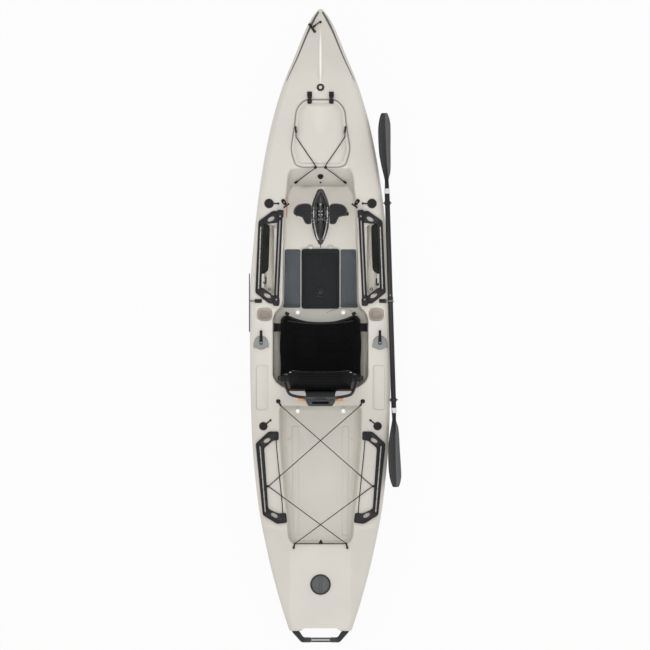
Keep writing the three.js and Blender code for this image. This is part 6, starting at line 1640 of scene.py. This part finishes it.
def seat_change(points):
    """Presses seven cross channels and the centre seam into the top of the seat, and lifts its sides."""
    x, y, z = points.T
    front = 0.02 + 0.047 * np.clip(np.abs(x) / 0.24, 0, 1) ** 3
    v = np.clip((y - front) / (-0.3 - front), 0, 1)
    u = x / 0.25
    on_top = np.clip((z - 0.018) / 0.012, 0, 1)
    bend = v + 0.02 * (1 - (u / 0.8) ** 2)
    drop = lines_in(bend - 0.03, 7, 0.0048) * (1 - bolsters(u)) * np.clip(v / 0.1, 0, 1)
    drop += 0.004 * ridge(u, 0, 0.022) - 0.0016 * ridge(u, 0.066, 0.025)
    crease = 0.0045 * ridge(u, 0.655, 0.022)
    lift = 0.011 * bolsters(u) - 0.004 * (1 - np.abs(u) ** 2)
    return np.column_stack([x, y, z + on_top * (lift - drop - crease)])


seat_half = lambda v: np.interp(v, [0, 0.06, 0.16, 0.35, 0.6, 1],
                                [0.22, 0.235, 0.247, 0.2555, 0.2565, 0.2525])
seat_front = lambda u: 0.019 + 0.044 * u**3
seat_pad = blown_up("seat_pad", pillow(seat_half, seat_front, -0.302, 0.012, 0.026), PAD_TRAVEL)
shaped(seat_pad, seat_change)
low_point = min(v.co.z for v in seat_pad.data.vertices)
shaped(seat_pad, lambda p: p + [0, 0, SEAT_Z + 0.0003 - low_point])
finish_pad(seat_pad, "boat", "seat_cushion")


def on_back(shape):
    """From the back's own plane, with y up the back, onto the leaning back."""
    return shape.turned("X", 90 + BACK_LEAN).moved(y=BACK_HINGE[0], z=BACK_HINGE[1])


def back_change(points):
    """The same for the back: local x across, y up the back, z thickness with the soft face up."""
    x, y, z = points.T
    v = np.clip((y + 0.022) / 0.348, 0, 1)
    u = x / 0.186
    on_top = np.clip((z - 0.016) / 0.012, 0, 1)
    drop = lines_in(v + 0.02 * (1 - u**2), 6, 0.0045) * (1 - bolsters(u)) * np.clip(v / 0.08, 0, 1)
    crease = 0.004 * ridge(u, 0.64, 0.026)
    return np.column_stack([x, y, z + on_top * (0.008 * bolsters(u) - 0.003 * (1 - u**2) - drop - crease)])


back_pillow = pillow(lambda v: 0.211 * (1 - 0.08 * v), lambda u: -0.02 + 0 * u, 0.323, 0.0105, 0.023)
back_pad = blown_up("back_pad", back_pillow, PAD_TRAVEL)
shaped(back_pad, back_change)


def lean_back(points):
    """The soft face looks forwards: the pad is turned over, set ahead of the tubes, and leant back."""
    turned = Shape(points * [1, 1, -1] - [0, 0, 0.0103 + 0.0008 - float(points[:, 2].min())], [])
    return on_back(turned).points


shaped(back_pad, lean_back)
back_pad.data.flip_normals()
finish_pad(back_pad, "seat_back", "back_cushion")


def drape(made, path, lift):
    """A path laid onto a piece from straight above, raised by a little."""
    tree = BVHTree.FromObject(made, bpy.context.evaluated_depsgraph_get())
    points = []
    for x, y in path:
        hit, _, _, _ = tree.ray_cast(Vector((x, y, 2)), Vector((0, 0, -1)))
        if hit:
            points.append((hit.x, hit.y, hit.z + lift))
    return np.array(points)


bpy.context.view_layer.update()
spread = np.linspace(-0.2, 0.2, 41)
front_pipe = drape(seat_pad, [(x, 0.0085 + 0.019 * (x / 0.2) ** 2) for x in spread], 0.0008)
build("seat_front_piping", sweep(front_pipe, 0.0026, 10), PIPING)
spread = np.linspace(-0.184, 0.184, 37)
low_pipe = drape(back_pad, [(x, -0.289 + 0.009 * (abs(x) / 0.17) ** 2.4) for x in spread], 0.001)
build("back_low_piping", sweep(low_pipe, 0.0027, 10), PIPING, "seat_back")
buckle_at = drape(back_pad, [(0.184, -0.29)], 0.002)[0]
buckle = block(0.017, 0.007, 0.005, 0.0015, 0.003, 3).moved(*buckle_at)
build_pair("back_buckle", buckle, ALLOY_BRIGHT, "seat_back")
print("pads ready")

# %% Seat frame
tube_z = 0.214
loop_half = [(0, 0.009), (0.08, 0.013), (0.15, 0.03), (0.19, 0.046), (0.214, 0.05), (0.231, 0.036),
             (0.235, 0.01), (0.235, -0.08), (0.235, -0.173), (0.235, -0.26), (0.235, -0.346)]
loop_path = [(-x, y, tube_z) for x, y in reversed(loop_half)] + [(x, y, tube_z) for x, y in loop_half[1:]]
frame_bars = rope(loop_path, 0.011, 0.008, 20)
cross = joined(along_x(disc(0.0105, -0.235, 0.235, 0.001, 20)).moved(y=y, z=tube_z)
               for y in (-0.06, -0.21, -0.316))
build("seat_tubes", frame_bars + cross, RAIL, "boat", "seat_frame", smooth=50)
leg_body = turning([(0.0001, FLOOR + 0.0003), (0.0145, FLOOR + 0.0003), (0.015, FLOOR + 0.0015),
                    (0.015, FLOOR + 0.005), (0.0125, FLOOR + 0.008), (0.0108, FLOOR + 0.0105),
                    (0.0108, tube_z), (0.0001, tube_z)], 26)
for name, y in (("fore", -0.004), ("aft", -0.316)):
    build_pair(f"seat_leg_{name}", leg_body.moved(0.235, y), BLACK)
plate_outline = [(-0.349, 0.2145), (-0.305, 0.2145), (-0.305, 0.33), (-0.309, 0.352), (-0.327, 0.358),
                 (-0.345, 0.352), (-0.349, 0.33)]
plate = stack(plate_outline, 0.009, slab(-0.003, 0.003, 0.0012), 5)
plate = Shape(plate.points[:, [2, 0, 1]], plate.faces).moved(0.243)
pin_hole = along_x(disc(0.0085, -0.05, 0.05, 0.0001, 28)).moved(0.243, *BACK_HINGE)
build_pair("seat_hinge_plate", plate, BLACK, cuts=[pin_hole])
rivet = along_x(turning([(0.0001, 0), (0.004, 0), (0.0036, 0.0014), (0.0001, 0.002)], 16))
build_pair("seat_hinge_rivets", joined(rivet.moved(0.246, y, 0.24) for y in (-0.318, -0.336)), STEEL)

# The back frame, with its braces and knobs, which all swing on the hinge line
back_half = [(0.22, 0), (0.22, 0.06), (0.214, 0.16), (0.205, 0.25), (0.1975, 0.31), (0.183, 0.362),
             (0.145, 0.402), (0.095, 0.424), (0.045, 0.433), (0, 0.436)]
back_path = [(x, y, 0) for x, y in back_half] + [(-x, y, 0) for x, y in reversed(back_half[:-1])]
back_bars = rope(back_path, 0.0088, 0.007, 20)
braces = joined(along_x(disc(0.009, -reach, reach, 0.001, 20)).moved(y=y)
                for reach, y in ((0.219, 0.04), (0.204, 0.25)))
pins = along_x(disc(0.0078, 0.222, 0.2475, 0.0006, 24)) + along_x(disc(0.0125, 0.209, 0.231, 0.002, 28))
build("back_tubes", on_back(back_bars + braces + pins.both_sides()), RAIL, "seat_back", "back_frame",
      smooth=50)
turns = np.linspace(0, 2 * np.pi, 72, endpoint=False)
lobed = 0.0148 + 0.0012 * np.cos(6 * turns)
knob_outline = np.column_stack([lobed * np.cos(turns), lobed * np.sin(turns)])
knob_levels = [(0.8, 0.2468), (1, 0.2482), (1, 0.258), (0.94, 0.2618), (0.8, 0.2638), (0.42, 0.2642),
               (0.38, 0.2618), (0.02, 0.2615)]
knob_rings = [np.column_stack([knob_outline * k, np.full(len(turns), z)]) for k, z in knob_levels]
build_pair("back_knob", on_back(along_x(loft(knob_rings))), BLACK, "seat_back")
build_pair("back_knob_cap", on_back(along_x(disc(0.0055, 0.2612, 0.2632, 0.0008, 20))), STRIP, "seat_back")

# Carrying handle on the top of the back, with a hand slot through it
handle_start = 0.0103
handle_outline = [(0.092, handle_start), (0.086, handle_start + 0.022), (0.074, handle_start + 0.044),
                  (-0.074, handle_start + 0.044), (-0.086, handle_start + 0.022), (-0.092, handle_start)]
handle_slot = rectangle(-0.052, 0.052, handle_start + 0.012, handle_start + 0.03)
grip_plate = stack(handle_outline, 0.012, slab(-0.008, 0.008, 0.0035), 6)
grip_hole = stack(handle_slot, 0.008, [(0, -0.03), (0, 0.03)], 6)
place_handle = lambda shape: on_back(Shape(shape.points[:, [0, 2, 1]], shape.faces).moved(y=0.426))
build("carry_handle_body", place_handle(grip_plate), HANDLE, "seat_back", "carry_handle",
      cuts=[place_handle(grip_hole)], bevel=0.001)
yoke = stack(mirrored_outline([(0.104, 0.0088), (0.104, -0.0088)]), 0.006, slab(-0.0088, 0.0088, 0.003), 5)
panel_outline = mirrored_outline([(0.088, 0.434), (0.09, 0.34), (0.105, 0.2)])
back_panel = stack(panel_outline, 0.01, slab(-0.003, 0.003, 0.0012), 5)
build("back_panel", on_back(back_panel), HANDLE, "seat_back", smooth=45)
build("carry_handle_yoke", on_back(yoke.moved(y=0.4335)), HANDLE, "seat_back", smooth=45)
tag_outline = [(0.088, 0.0085), (0.14, 0.0045), (0.14, 0.026), (0.088, 0.029)]
tag = stack(tag_outline, 0.003, slab(-0.016, -0.0145, 0.0004), 3)
build_pair("back_tag", place_handle(tag), ORANGE, "seat_back")
strap = stack(rectangle(-0.08, 0.08, 0.0062, 0.0475), 0.004, slab(-0.0166, -0.0152, 0.0004), 4)
build("back_strap", place_handle(strap), WEBBING, "seat_back")
print("seat frame ready")

# %% Seat straps and loops
def ribbon(path, width, thick):
    """A flat strap whose middle follows a path in the x and z plane, with its width along y."""
    path = smooth_path([(x, 0, z) for x, z in path], 0.004)
    tangent = np.gradient(path, axis=0)
    tangent /= np.linalg.norm(tangent, axis=1, keepdims=True)
    normal = np.column_stack([-tangent[:, 2], np.zeros(len(path)), tangent[:, 0]])
    rings = []
    for point, out in zip(path, normal):
        a, b = point + out * thick / 2, point - out * thick / 2
        y = np.array([0, width / 2, 0])
        rings.append(np.array([a - y, a - y * 0.5, a, a + y * 0.5, a + y, b + y, b + y * 0.5, b,
                               b - y * 0.5, b - y]))
    return loft(rings)


STRAP_Y, ANCHOR_Z = -0.013, 0.205
strap_run = [(0.2345, 0.2262), (0.2475, 0.2215), (0.262, 0.2085), (0.275, 0.2), (0.2835, 0.203)]
build_pair("seat_side_strap", ribbon(strap_run, 0.05, 0.0018).moved(y=STRAP_Y), WEBBING)
anchor = block(0.008, 0.058, 0.024, 0.0022, 0.004, 4).moved(0.2846, STRAP_Y, ANCHOR_Z)
anchor_bar = along_y(disc(0.003, -0.027, 0.027, 0.001, 16)).moved(0.2815, STRAP_Y, ANCHOR_Z)
build_pair("strap_anchor", anchor + anchor_bar, BLACK)
front_buckle = block(0.026, 0.02, 0.008, 0.002, 0.003, 3).turned("Z", 24).moved(0.205, 0.071, tube_z + 0.003)
build_pair("seat_front_buckle", front_buckle, BLACK)
loop = rope([(0.036, 0.0735, tube_z), (0.052, 0.083, 0.2), (0.075, 0.0925, 0.178), (0.105, 0.0995, 0.163),
             (0.14, 0.102, 0.163), (0.17, 0.0985, 0.178), (0.19, 0.088, 0.2), (0.199, 0.078, 0.212)],
            0.0017, 0.005)
build("seat_pull_loop", loop, CORD_PALE)
print("seat ready")

# %% [markdown]
# ## Cargo well and stern
#
# One elastic cord runs through six black hooks and crosses itself twice. It is pulled straight, so it
# is swept along straight runs with a small bend at each hook, and its second pass arches over the first.
# The stern hatch is a ring with a twist lid, the carrying handle is a flat bar bent round the transom.

# %% Cargo cord and hooks
def bent_path(points, radius, spacing=0.02, steps=6):
    """Straight runs between points, with a small curve at each point where the run turns."""
    points = np.asarray(points, float)
    path = [points[0]]
    for before, corner, after in zip(points[:-2], points[1:-1], points[2:]):
        start = corner + (before - corner) / np.linalg.norm(before - corner) * radius
        end = corner + (after - corner) / np.linalg.norm(after - corner) * radius
        for t in np.linspace(0, 1, steps + 1):
            path.append((1 - t) ** 2 * start + 2 * t * (1 - t) * corner + t * t * end)
    path.append(points[-1])
    dense = [path[0]]
    for start, end in zip(path[:-1], path[1:]):
        pieces = max(1, round(float(np.linalg.norm(end - start)) / spacing))
        dense += [start + (end - start) * k / pieces for k in range(1, pieces + 1)]
    return np.array(dense)


LASH_Z = DECK + 0.005
FORE, MIDDLE, AFT = (0.2455, -0.4935, LASH_Z), (0.3195, -0.9895, LASH_Z), (0.1575, -1.3415, LASH_Z)
FORE_CROSS, AFT_CROSS, CROSS_LIFT = -0.7085, -1.2255, 0.0105


def port_of(point):
    """The same point on the port side."""
    return (-point[0],) + point[1:]


lash_route = [port_of(FORE), (0, FORE_CROSS, LASH_Z), MIDDLE, (0, AFT_CROSS, LASH_Z), port_of(AFT), AFT,
              (0, AFT_CROSS, LASH_Z + CROSS_LIFT), port_of(MIDDLE), (0, FORE_CROSS, LASH_Z + CROSS_LIFT),
              FORE]
build("lashing_cord", sweep(bent_path(lash_route, 0.007), 0.0028, 12), CORD, replaces="cargo_cord")

fore_pad = dome(rectangle(-0.0135, 0.0135, -0.0125, 0.0125), 0.011, slab(0.0002, 0.005, 0.0016), 0.0035)
fore_arm = rope([(0, 0, 0.004), (-0.004, -0.008, 0.0075), (-0.0095, -0.017, 0.0065),
                 (-0.0155, -0.028, 0.0052)],
                (0.0058, 0.0052, 0.0048, 0.0062), 0.002, 14)
fore_nail = turning([(0.0001, 0.008), (0.003, 0.008), (0.0028, 0.0095), (0.0001, 0.01)], 14)
build_pair("cargo_hook_fore", (fore_pad + fore_arm).moved(0.2595, -0.4675, DECK), BLACK)
build_pair("cargo_hook_fore_rivet", fore_nail.moved(0.2605, -0.4655, DECK), RAIL)
middle_hook = dome(rectangle(-0.0075, 0.009, -0.0068, 0.0068), 0.006, slab(0.0002, 0.0075, 0.0016), 0.0022)
build_pair("cargo_hook_middle", middle_hook.moved(0.3245, -0.9895, DECK + 0.0012), BLACK)
aft_arm = rope([(0.0005, 0.005, 0.0062), (0.0022, -0.004, 0.0062), (0.005, -0.015, 0.005),
                (0.0078, -0.026, 0.0035)],
               (0.0052, 0.0058, 0.0052, 0.0068), 0.002, 14)
aft_bead = disc(0.0078, 0.0002, 0.0066, 0.002, 24).moved(0.0078, -0.0265, 0)
build_pair("cargo_hook_aft", (aft_arm + aft_bead).moved(0.1568, -1.3405, DECK - 0.0006), BLACK)
drain = turning([(0.0001, 0), (0.0132, 0), (0.0138, 0.0022), (0.0128, 0.005), (0.0086, 0.0095),
                 (0.0066, 0.015), (0.004, 0.0205), (0.0001, 0.0222)], 32)
build("drain_plug", drain.turned("X", -78).moved(0.002, -1.3395, 0.236), BLACK)

# %% Stern hatch
port_base = float(deck_at(STERN_PORT["y"])) + 0.0004
port_ring = turning([(0.0001, -0.0155), (0.0495, -0.0155), (0.0495, 0), (0.063, 0), (0.0632, 0.0026),
                     (0.0618, 0.0066), (0.0588, 0.0088), (0.0536, 0.0092), (0.0001, 0.0092)], 72)
ring_cuts = [disc(0.0529, 0.0019, 0.03, 0.0001, 72), disc(0.0442, -0.03, 0.01, 0.0001, 60)]
lid_top = 0.0094
port_lid = turning([(0.0001, 0.0022), (0.0524, 0.0022), (0.0526, lid_top - 0.0014), (0.0516, lid_top),
                    (0.048, lid_top), (0.0462, lid_top - 0.0022), (0.0001, lid_top - 0.0022)], 72)
spokes = joined(block(0.0034, 0.017, 0.0038, 0.0008,
                      0.0014).moved(0, 0.0345, lid_top - 0.0034).turned("Z", angle)
                for angle in range(15, 360, 30))
hub = turning([(0.0001, lid_top - 0.003), (0.0215, lid_top - 0.003), (0.021, lid_top - 0.0002),
               (0.018, lid_top + 0.0006), (0.0001, lid_top + 0.0012)], 40)
grip_bar = dome(rectangle(-0.006, 0.006, -0.044, 0.044), 0.0055,
                slab(lid_top - 0.003, lid_top + 0.0062, 0.002), 0.0022, 6)
finger_dips = [disc(0.014, lid_top - 0.0012, lid_top + 0.03, 0.0005, 32).moved(x, 0, 0)
               for x in (0.0205, -0.0205)]


def at_port(shape):
    """From the origin onto the stern hatch's place."""
    return shape.moved(y=STERN_PORT["y"], z=port_base)


build("stern_port_ring", at_port(port_ring), BLACK, replaces="stern_hatch_ring",
      cuts=[at_port(cut) for cut in ring_cuts], bevel=0.0004)
build("stern_port_lid", at_port(port_lid), HATCH_GREY, "stern_hatch", "stern_hatch_lid", bevel=0.0003)
build("stern_port_spokes", at_port(spokes), HATCH_GREY, "stern_hatch")
build("stern_port_hub", at_port(hub), HATCH_GREY, "stern_hatch", cuts=[at_port(cut) for cut in finger_dips])
build("stern_port_bar", at_port(grip_bar), HATCH_GREY, "stern_hatch")
port_screw = turning([(0.0001, 0.0086), (0.0026, 0.0086), (0.0024, 0.0098), (0.0001, 0.0101)],
                     14).moved(x=0.0578)
port_screws = joined(port_screw.turned("Z", angle) for angle in range(30, 390, 60))
build("stern_port_screws", at_port(port_screws), RAIL)

# %% Stern handle
HANDLE_ROOT, HANDLE_END, HANDLE_INNER = -1.8793, -1.949, -1.917
HANDLE_LOW, HANDLE_HIGH, GRIP_HALF = 0.25, 0.272, 0.0597
handle_plan = [(0.179, HANDLE_ROOT), (0.117, HANDLE_END), (-0.117, HANDLE_END), (-0.179, HANDLE_ROOT),
               (-0.129, HANDLE_ROOT), (-0.105, HANDLE_INNER), (0.105, HANDLE_INNER), (0.129, HANDLE_ROOT)]
handle_y = (HANDLE_END + HANDLE_INNER) / 2
handle_bar = stack(handle_plan, 0.012, slab(HANDLE_LOW, HANDLE_HIGH, 0.0085), 6)
grip_room = rectangle(-GRIP_HALF - 0.0004, GRIP_HALF + 0.0004, HANDLE_END - 0.01, HANDLE_INNER + 0.01)
build("stern_handle_bar", handle_bar, HANDLE, replaces="stern_handle",
      cuts=[stack(grip_room, 0.0005, [(0, 0.2), (0, 0.3)], 2)])
neck = block(0.1235, 0.018, 0.012, 0.002, 0.003).moved(0, handle_y, (HANDLE_LOW + HANDLE_HIGH) / 2 - 0.006)
build("stern_handle_neck", neck, BLACK)
sleeve = block(2 * GRIP_HALF, 0.0285, HANDLE_HIGH - HANDLE_LOW, 0.007, 0.004,
               4).moved(0, handle_y, HANDLE_LOW)
groove_z = HANDLE_HIGH + 0.0016
finger_grooves = [sweep([(x, handle_y - 0.03, groove_z), (x, handle_y + 0.03, groove_z)], 0.0026, 12)
                  for x in (-0.045, 0.045)]
build("stern_grip_sleeve", sleeve, BLACK, replaces="stern_grip", cuts=finger_grooves, bevel=0.0003)
grip_pad = dome(rectangle(-0.0575, 0.0575, -0.0066, 0.0066), 0.004, slab(-0.002, 0.0012, 0.0008), 0.0006, 5)
build("stern_grip_pad", grip_pad.moved(0, handle_y, HANDLE_HIGH), GRIP)
root_pad = block(0.05, 0.01, 0.03, 0.002, 0.004, 4).moved(0.1525, HANDLE_ROOT + 0.0035, HANDLE_LOW - 0.004)
build_pair("stern_handle_foot", root_pad, BLACK)
root_bolt = along_y(turning([(0.0001, 0), (0.0042, 0), (0.004, 0.0022), (0.0001, 0.0032)], 20))
build_pair("stern_handle_bolt", root_bolt.moved(0.1525, HANDLE_ROOT - 0.0013, HANDLE_LOW - 0.0005), STEEL)
print("stern ready")

# %% [markdown]
# ## Rudder
#
# The rudder hangs on a post behind the stern hatch. Its head is a fork, and the blade swings up in the
# fork on a steel pin. None of it shows from above, but it is the lowest thing on the boat.

# %% Rudder
def on_side(shape):
    """From a plan of (along, up) onto the upright plane through the keel."""
    return shape.turned("X", 90).turned("Z", 90)


cheek_outline = [(0.021, 0.072), (-0.021, 0.072), (-0.0195, 0.034), (-0.011, 0.0155), (0.011, 0.0155),
                 (0.0195, 0.034)]
cheek = on_side(stack(cheek_outline, 0.011, slab(-0.003, 0.003, 0.0012), 6))
head_block = block(0.0298, 0.0436, 0.014, 0.002, 0.006, 4).moved(z=0.0578)
post = turning([(0.0001, 0.07), (0.0145, 0.07), (0.0145, 0.073), (0.0122, 0.0745), (0.0122, 0.192),
                (0.011, 0.1945), (0.0001, 0.1945)], 40)
head_bodies = joined([cheek.moved(0.0119), cheek.moved(-0.0119), head_block, post]).moved(y=RUDDER_Y)
RUDDER_PIN_Z = 0.028
pin_heads = along_x(turning([(0.0001, -0.0172), (0.0052, -0.0172), (0.0056, -0.015), (0.0044, -0.0146),
                             (0.0044, 0.0146), (0.0056, 0.015), (0.0052, 0.0172), (0.0001, 0.0172)],
                            28)).moved(0, RUDDER_Y, RUDDER_PIN_Z)
build("rudder_yoke", head_bodies, BLACK, "rudder_head", "rudder_head")
build("rudder_pin", pin_heads, STEEL, "rudder_head")
blade_plan = [(0.012, 0.01), (0.014, -0.014), (0.036, -0.036), (0.034, -0.18), (0.008, -0.226),
              (-0.044, -0.226), (-0.07, -0.15), (-0.072, -0.044), (-0.016, -0.012), (-0.012, 0.01)]
blade_levels = [(0.0052, -0.0058), (0.0024, -0.0052), (0.0008, -0.0036), (0, -0.0014), (0, 0.0014),
                (0.0008, 0.0036), (0.0024, 0.0052), (0.0052, 0.0058)]
rudder_plate = on_side(stack(blade_plan, 0.016, blade_levels, 7))
lug = along_x(disc(0.0136, -0.0058, 0.0058, 0.001, 36))
pin_hole = along_x(disc(0.0047, -0.02, 0.02, 0.0001, 24))
at_pin = {"y": RUDDER_Y, "z": RUDDER_PIN_Z}
rudder_foil = build("rudder_foil", rudder_plate.moved(**at_pin), BLADE, "rudder_blade", "rudder_blade")
combine(rudder_foil, lug.moved(**at_pin), "UNION")
combine(rudder_foil, pin_hole.moved(**at_pin))
stiffener_outline = [(0.02, -0.06), (-0.05, -0.06), (-0.046, -0.17), (0.016, -0.17)]
stiffener = on_side(stack(stiffener_outline, 0.012, slab(-0.0068, 0.0068, 0.001), 6))
build("rudder_foil_panel", stiffener.moved(**at_pin), FIN, "rudder_blade")

# %% [markdown]
# ## Paddle
#
# The paddle lies along the starboard rail, a little askew. Its blades stand on edge, turned sixty
# degrees, so from above each shows half its width. A spine runs from the shaft into each blade, and the
# two halves of a blade meet at it in a shallow ridge: the far half, which faces the light more, is painted
# lighter as painted light. The two halves of the shaft meet at a ferrule.

# %% Paddle
SHAFT_RADIUS = PADDLE["shaft"]
BLADE_ROOT, BLADE_END, BLADE_HALF, BLADE_TILT = 0.688, 1.15, 0.082, 60
# Pairs of share along the blade and share of BLADE_HALF
RIGHT_EDGE = [(-0.02, 0.2), (0.08, 0.25), (0.134, 0.33), (0.168, 0.46), (0.22, 0.6), (0.34, 0.68),
              (0.5, 0.72), (0.7, 0.8), (0.84, 0.83), (0.92, 0.7), (0.97, 0.52), (0.993, 0.4), (1, 0.3)]
LEFT_EDGE = [(-0.02, 0.2), (0.084, 0.26), (0.15, 0.38), (0.22, 0.55), (0.32, 0.78), (0.48, 1.03),
             (0.64, 1.08), (0.76, 1.06), (0.86, 0.95), (0.93, 0.78), (0.975, 0.62), (0.995, 0.5), (1, 0.42)]


def on_paddle(shape):
    """From the origin onto the paddle's line."""
    return shape.turned("Z", PADDLE["turn"]).moved(PADDLE["x"], PADDLE["y"], PADDLE["z"])


def blade_half(edge, side):
    """Half a blade, from its ridge out: thickest at the ridge, slightly scooped, thin at the rim."""
    rings = []
    for t in np.concatenate([np.linspace(-0.02, 0.94, 40), np.linspace(0.95, 1, 9)]):
        width = BLADE_HALF * float(along(edge, t))
        body = 0.0034 - 0.0014 * max(0.0, t)
        ridge = 0.0046 * (1 - 0.7 * max(0.0, t))
        scoop = 0.004 * math.sin(math.pi * min(1.0, max(0.0, t)))
        across = np.array([-0.004, 0.12, 0.4, 0.75, 0.97, 1, 0.97, 0.75, 0.4, 0.12, -0.004])
        up = np.array([body + ridge, body + ridge * 0.55, body - scoop * 0.7, body * 0.8 - scoop * 0.5,
                       0.0012, 0.0, -0.0012, -body * 0.8 - scoop * 0.5, -body - scoop * 0.7,
                       -body - ridge * 0.3, -body - ridge * 0.4])
        place = BLADE_ROOT + t * (BLADE_END - BLADE_ROOT)
        rings.append(np.column_stack([side * across * width, np.full(len(up), place), up]))
    return loft(rings).turned("Y", BLADE_TILT)


spine_end = BLADE_ROOT + 0.4 * (BLADE_END - BLADE_ROOT)
shaft_half = turning([
    (0.0001, 0.0006), (SHAFT_RADIUS - 0.001, 0.0006), (SHAFT_RADIUS, 0.0016), (SHAFT_RADIUS, 0.636),
    (SHAFT_RADIUS - 0.0004, 0.672), (0.0135, BLADE_ROOT), (0.0125, BLADE_ROOT + 0.03),
    (0.0105, BLADE_ROOT + 0.08),
    (0.0072, BLADE_ROOT + 0.13), (0.0045, spine_end), (0.0001, spine_end + 0.004)], 36).turned("X", -90)
drip = turning([
    (0.0001, -0.0115), (0.0182, -0.0115), (0.0192, -0.006), (0.0205, -0.0035), (0.0268, -0.0026),
    (0.0278, 0), (0.0268, 0.0026), (0.0205, 0.0035), (0.0192, 0.006), (0.0182, 0.0115), (0.0001, 0.0115)],
               48).turned("X", -90)
band = turning([
    (0.0001, 0), (SHAFT_RADIUS + 0.0005, 0), (SHAFT_RADIUS + 0.0008, 0.0006),
    (SHAFT_RADIUS + 0.0008, 0.0304), (SHAFT_RADIUS + 0.0005, 0.031), (0.0001, 0.031)], 40).turned("X", -90)
collar_ring = turning([
    (0.0001, 0.0008), (SHAFT_RADIUS + 0.0014, 0.0008), (SHAFT_RADIUS + 0.002, 0.003),
    (SHAFT_RADIUS + 0.002, 0.016), (SHAFT_RADIUS + 0.0006, 0.019), (0.0001, 0.019)], 40).turned("X", -90)
ferrule = turning([(0.0001, -0.034), (0.0118, -0.034), (0.012, -0.033), (0.012, 0.033), (0.0118, 0.034),
                   (0.0001, 0.034)], 32).turned("X", -90)


def facing(shape, forwards):
    """One half of the paddle, pointing forwards or aft."""
    return on_paddle(shape if forwards else shape.turned("Z", 180).mirrored())


halves = (("front", True, "paddle_half", 0.6545, 0.596), ("rear", False, "boat", 0.6632, 0.614))
for name, forwards, rides, band_at, drip_at in halves:
    build(f"paddle_shaft_{name}", facing(shaft_half, forwards), SHAFT, rides, f"paddle_{name}")
    # The pale half's lighter finish is painted light for the side of the blade that faces the lamps.
    for shade, edge, side, finish in (("dark", LEFT_EDGE, -1, BLADE), ("pale", RIGHT_EDGE, 1, BLADE_PAINTED_LIGHT)):
        blade = facing(blade_half(edge, side), forwards)
        build(f"paddle_blade_{shade}_{name}", blade, finish, rides, smooth=50)
    build(f"drip_guard_{name}", facing(drip.moved(y=drip_at), forwards), RUBBER, rides, f"drip_ring_{name}")
    build(f"paddle_band_{name}", facing(band.moved(y=band_at), forwards), BAND, rides)
    build(f"paddle_collar_{name}", facing(collar_ring, forwards), BLACK, rides)
build("ferrule_sleeve", on_paddle(ferrule), ALLOY)
button = disc(0.0042, SHAFT_RADIUS - 0.001, SHAFT_RADIUS + 0.0021, 0.0008, 20).moved(y=0.03)
build("ferrule_button", on_paddle(button), STEEL, "paddle_half")
print("paddle ready")


# %% Finishes of the CAD pieces that stay
FINISH_OF = {
    "hull_plastic": HULL, "black_plastic": BLACK, "rail_plastic": RAIL, "lid_plastic": LID,
    "disc_plastic": DISC, "grip_plastic": GRIP, "blade_nylon": BLADE, "foam": FOAM, "seal_rubber": RUBBER,
    "fin_rubber": FIN, "aluminium": ALLOY, "steel": STEEL, "mesh_fabric": CLOTH, "cord": CORD,
}
slot_of = {sub["node"]: sub["material_slot"] for sub in frame["record"]["subparts"]}
for name, node in frame["nodes"].items():
    node.data.materials.clear()
    node.data.materials.append(FINISH_OF[slot_of[name]])
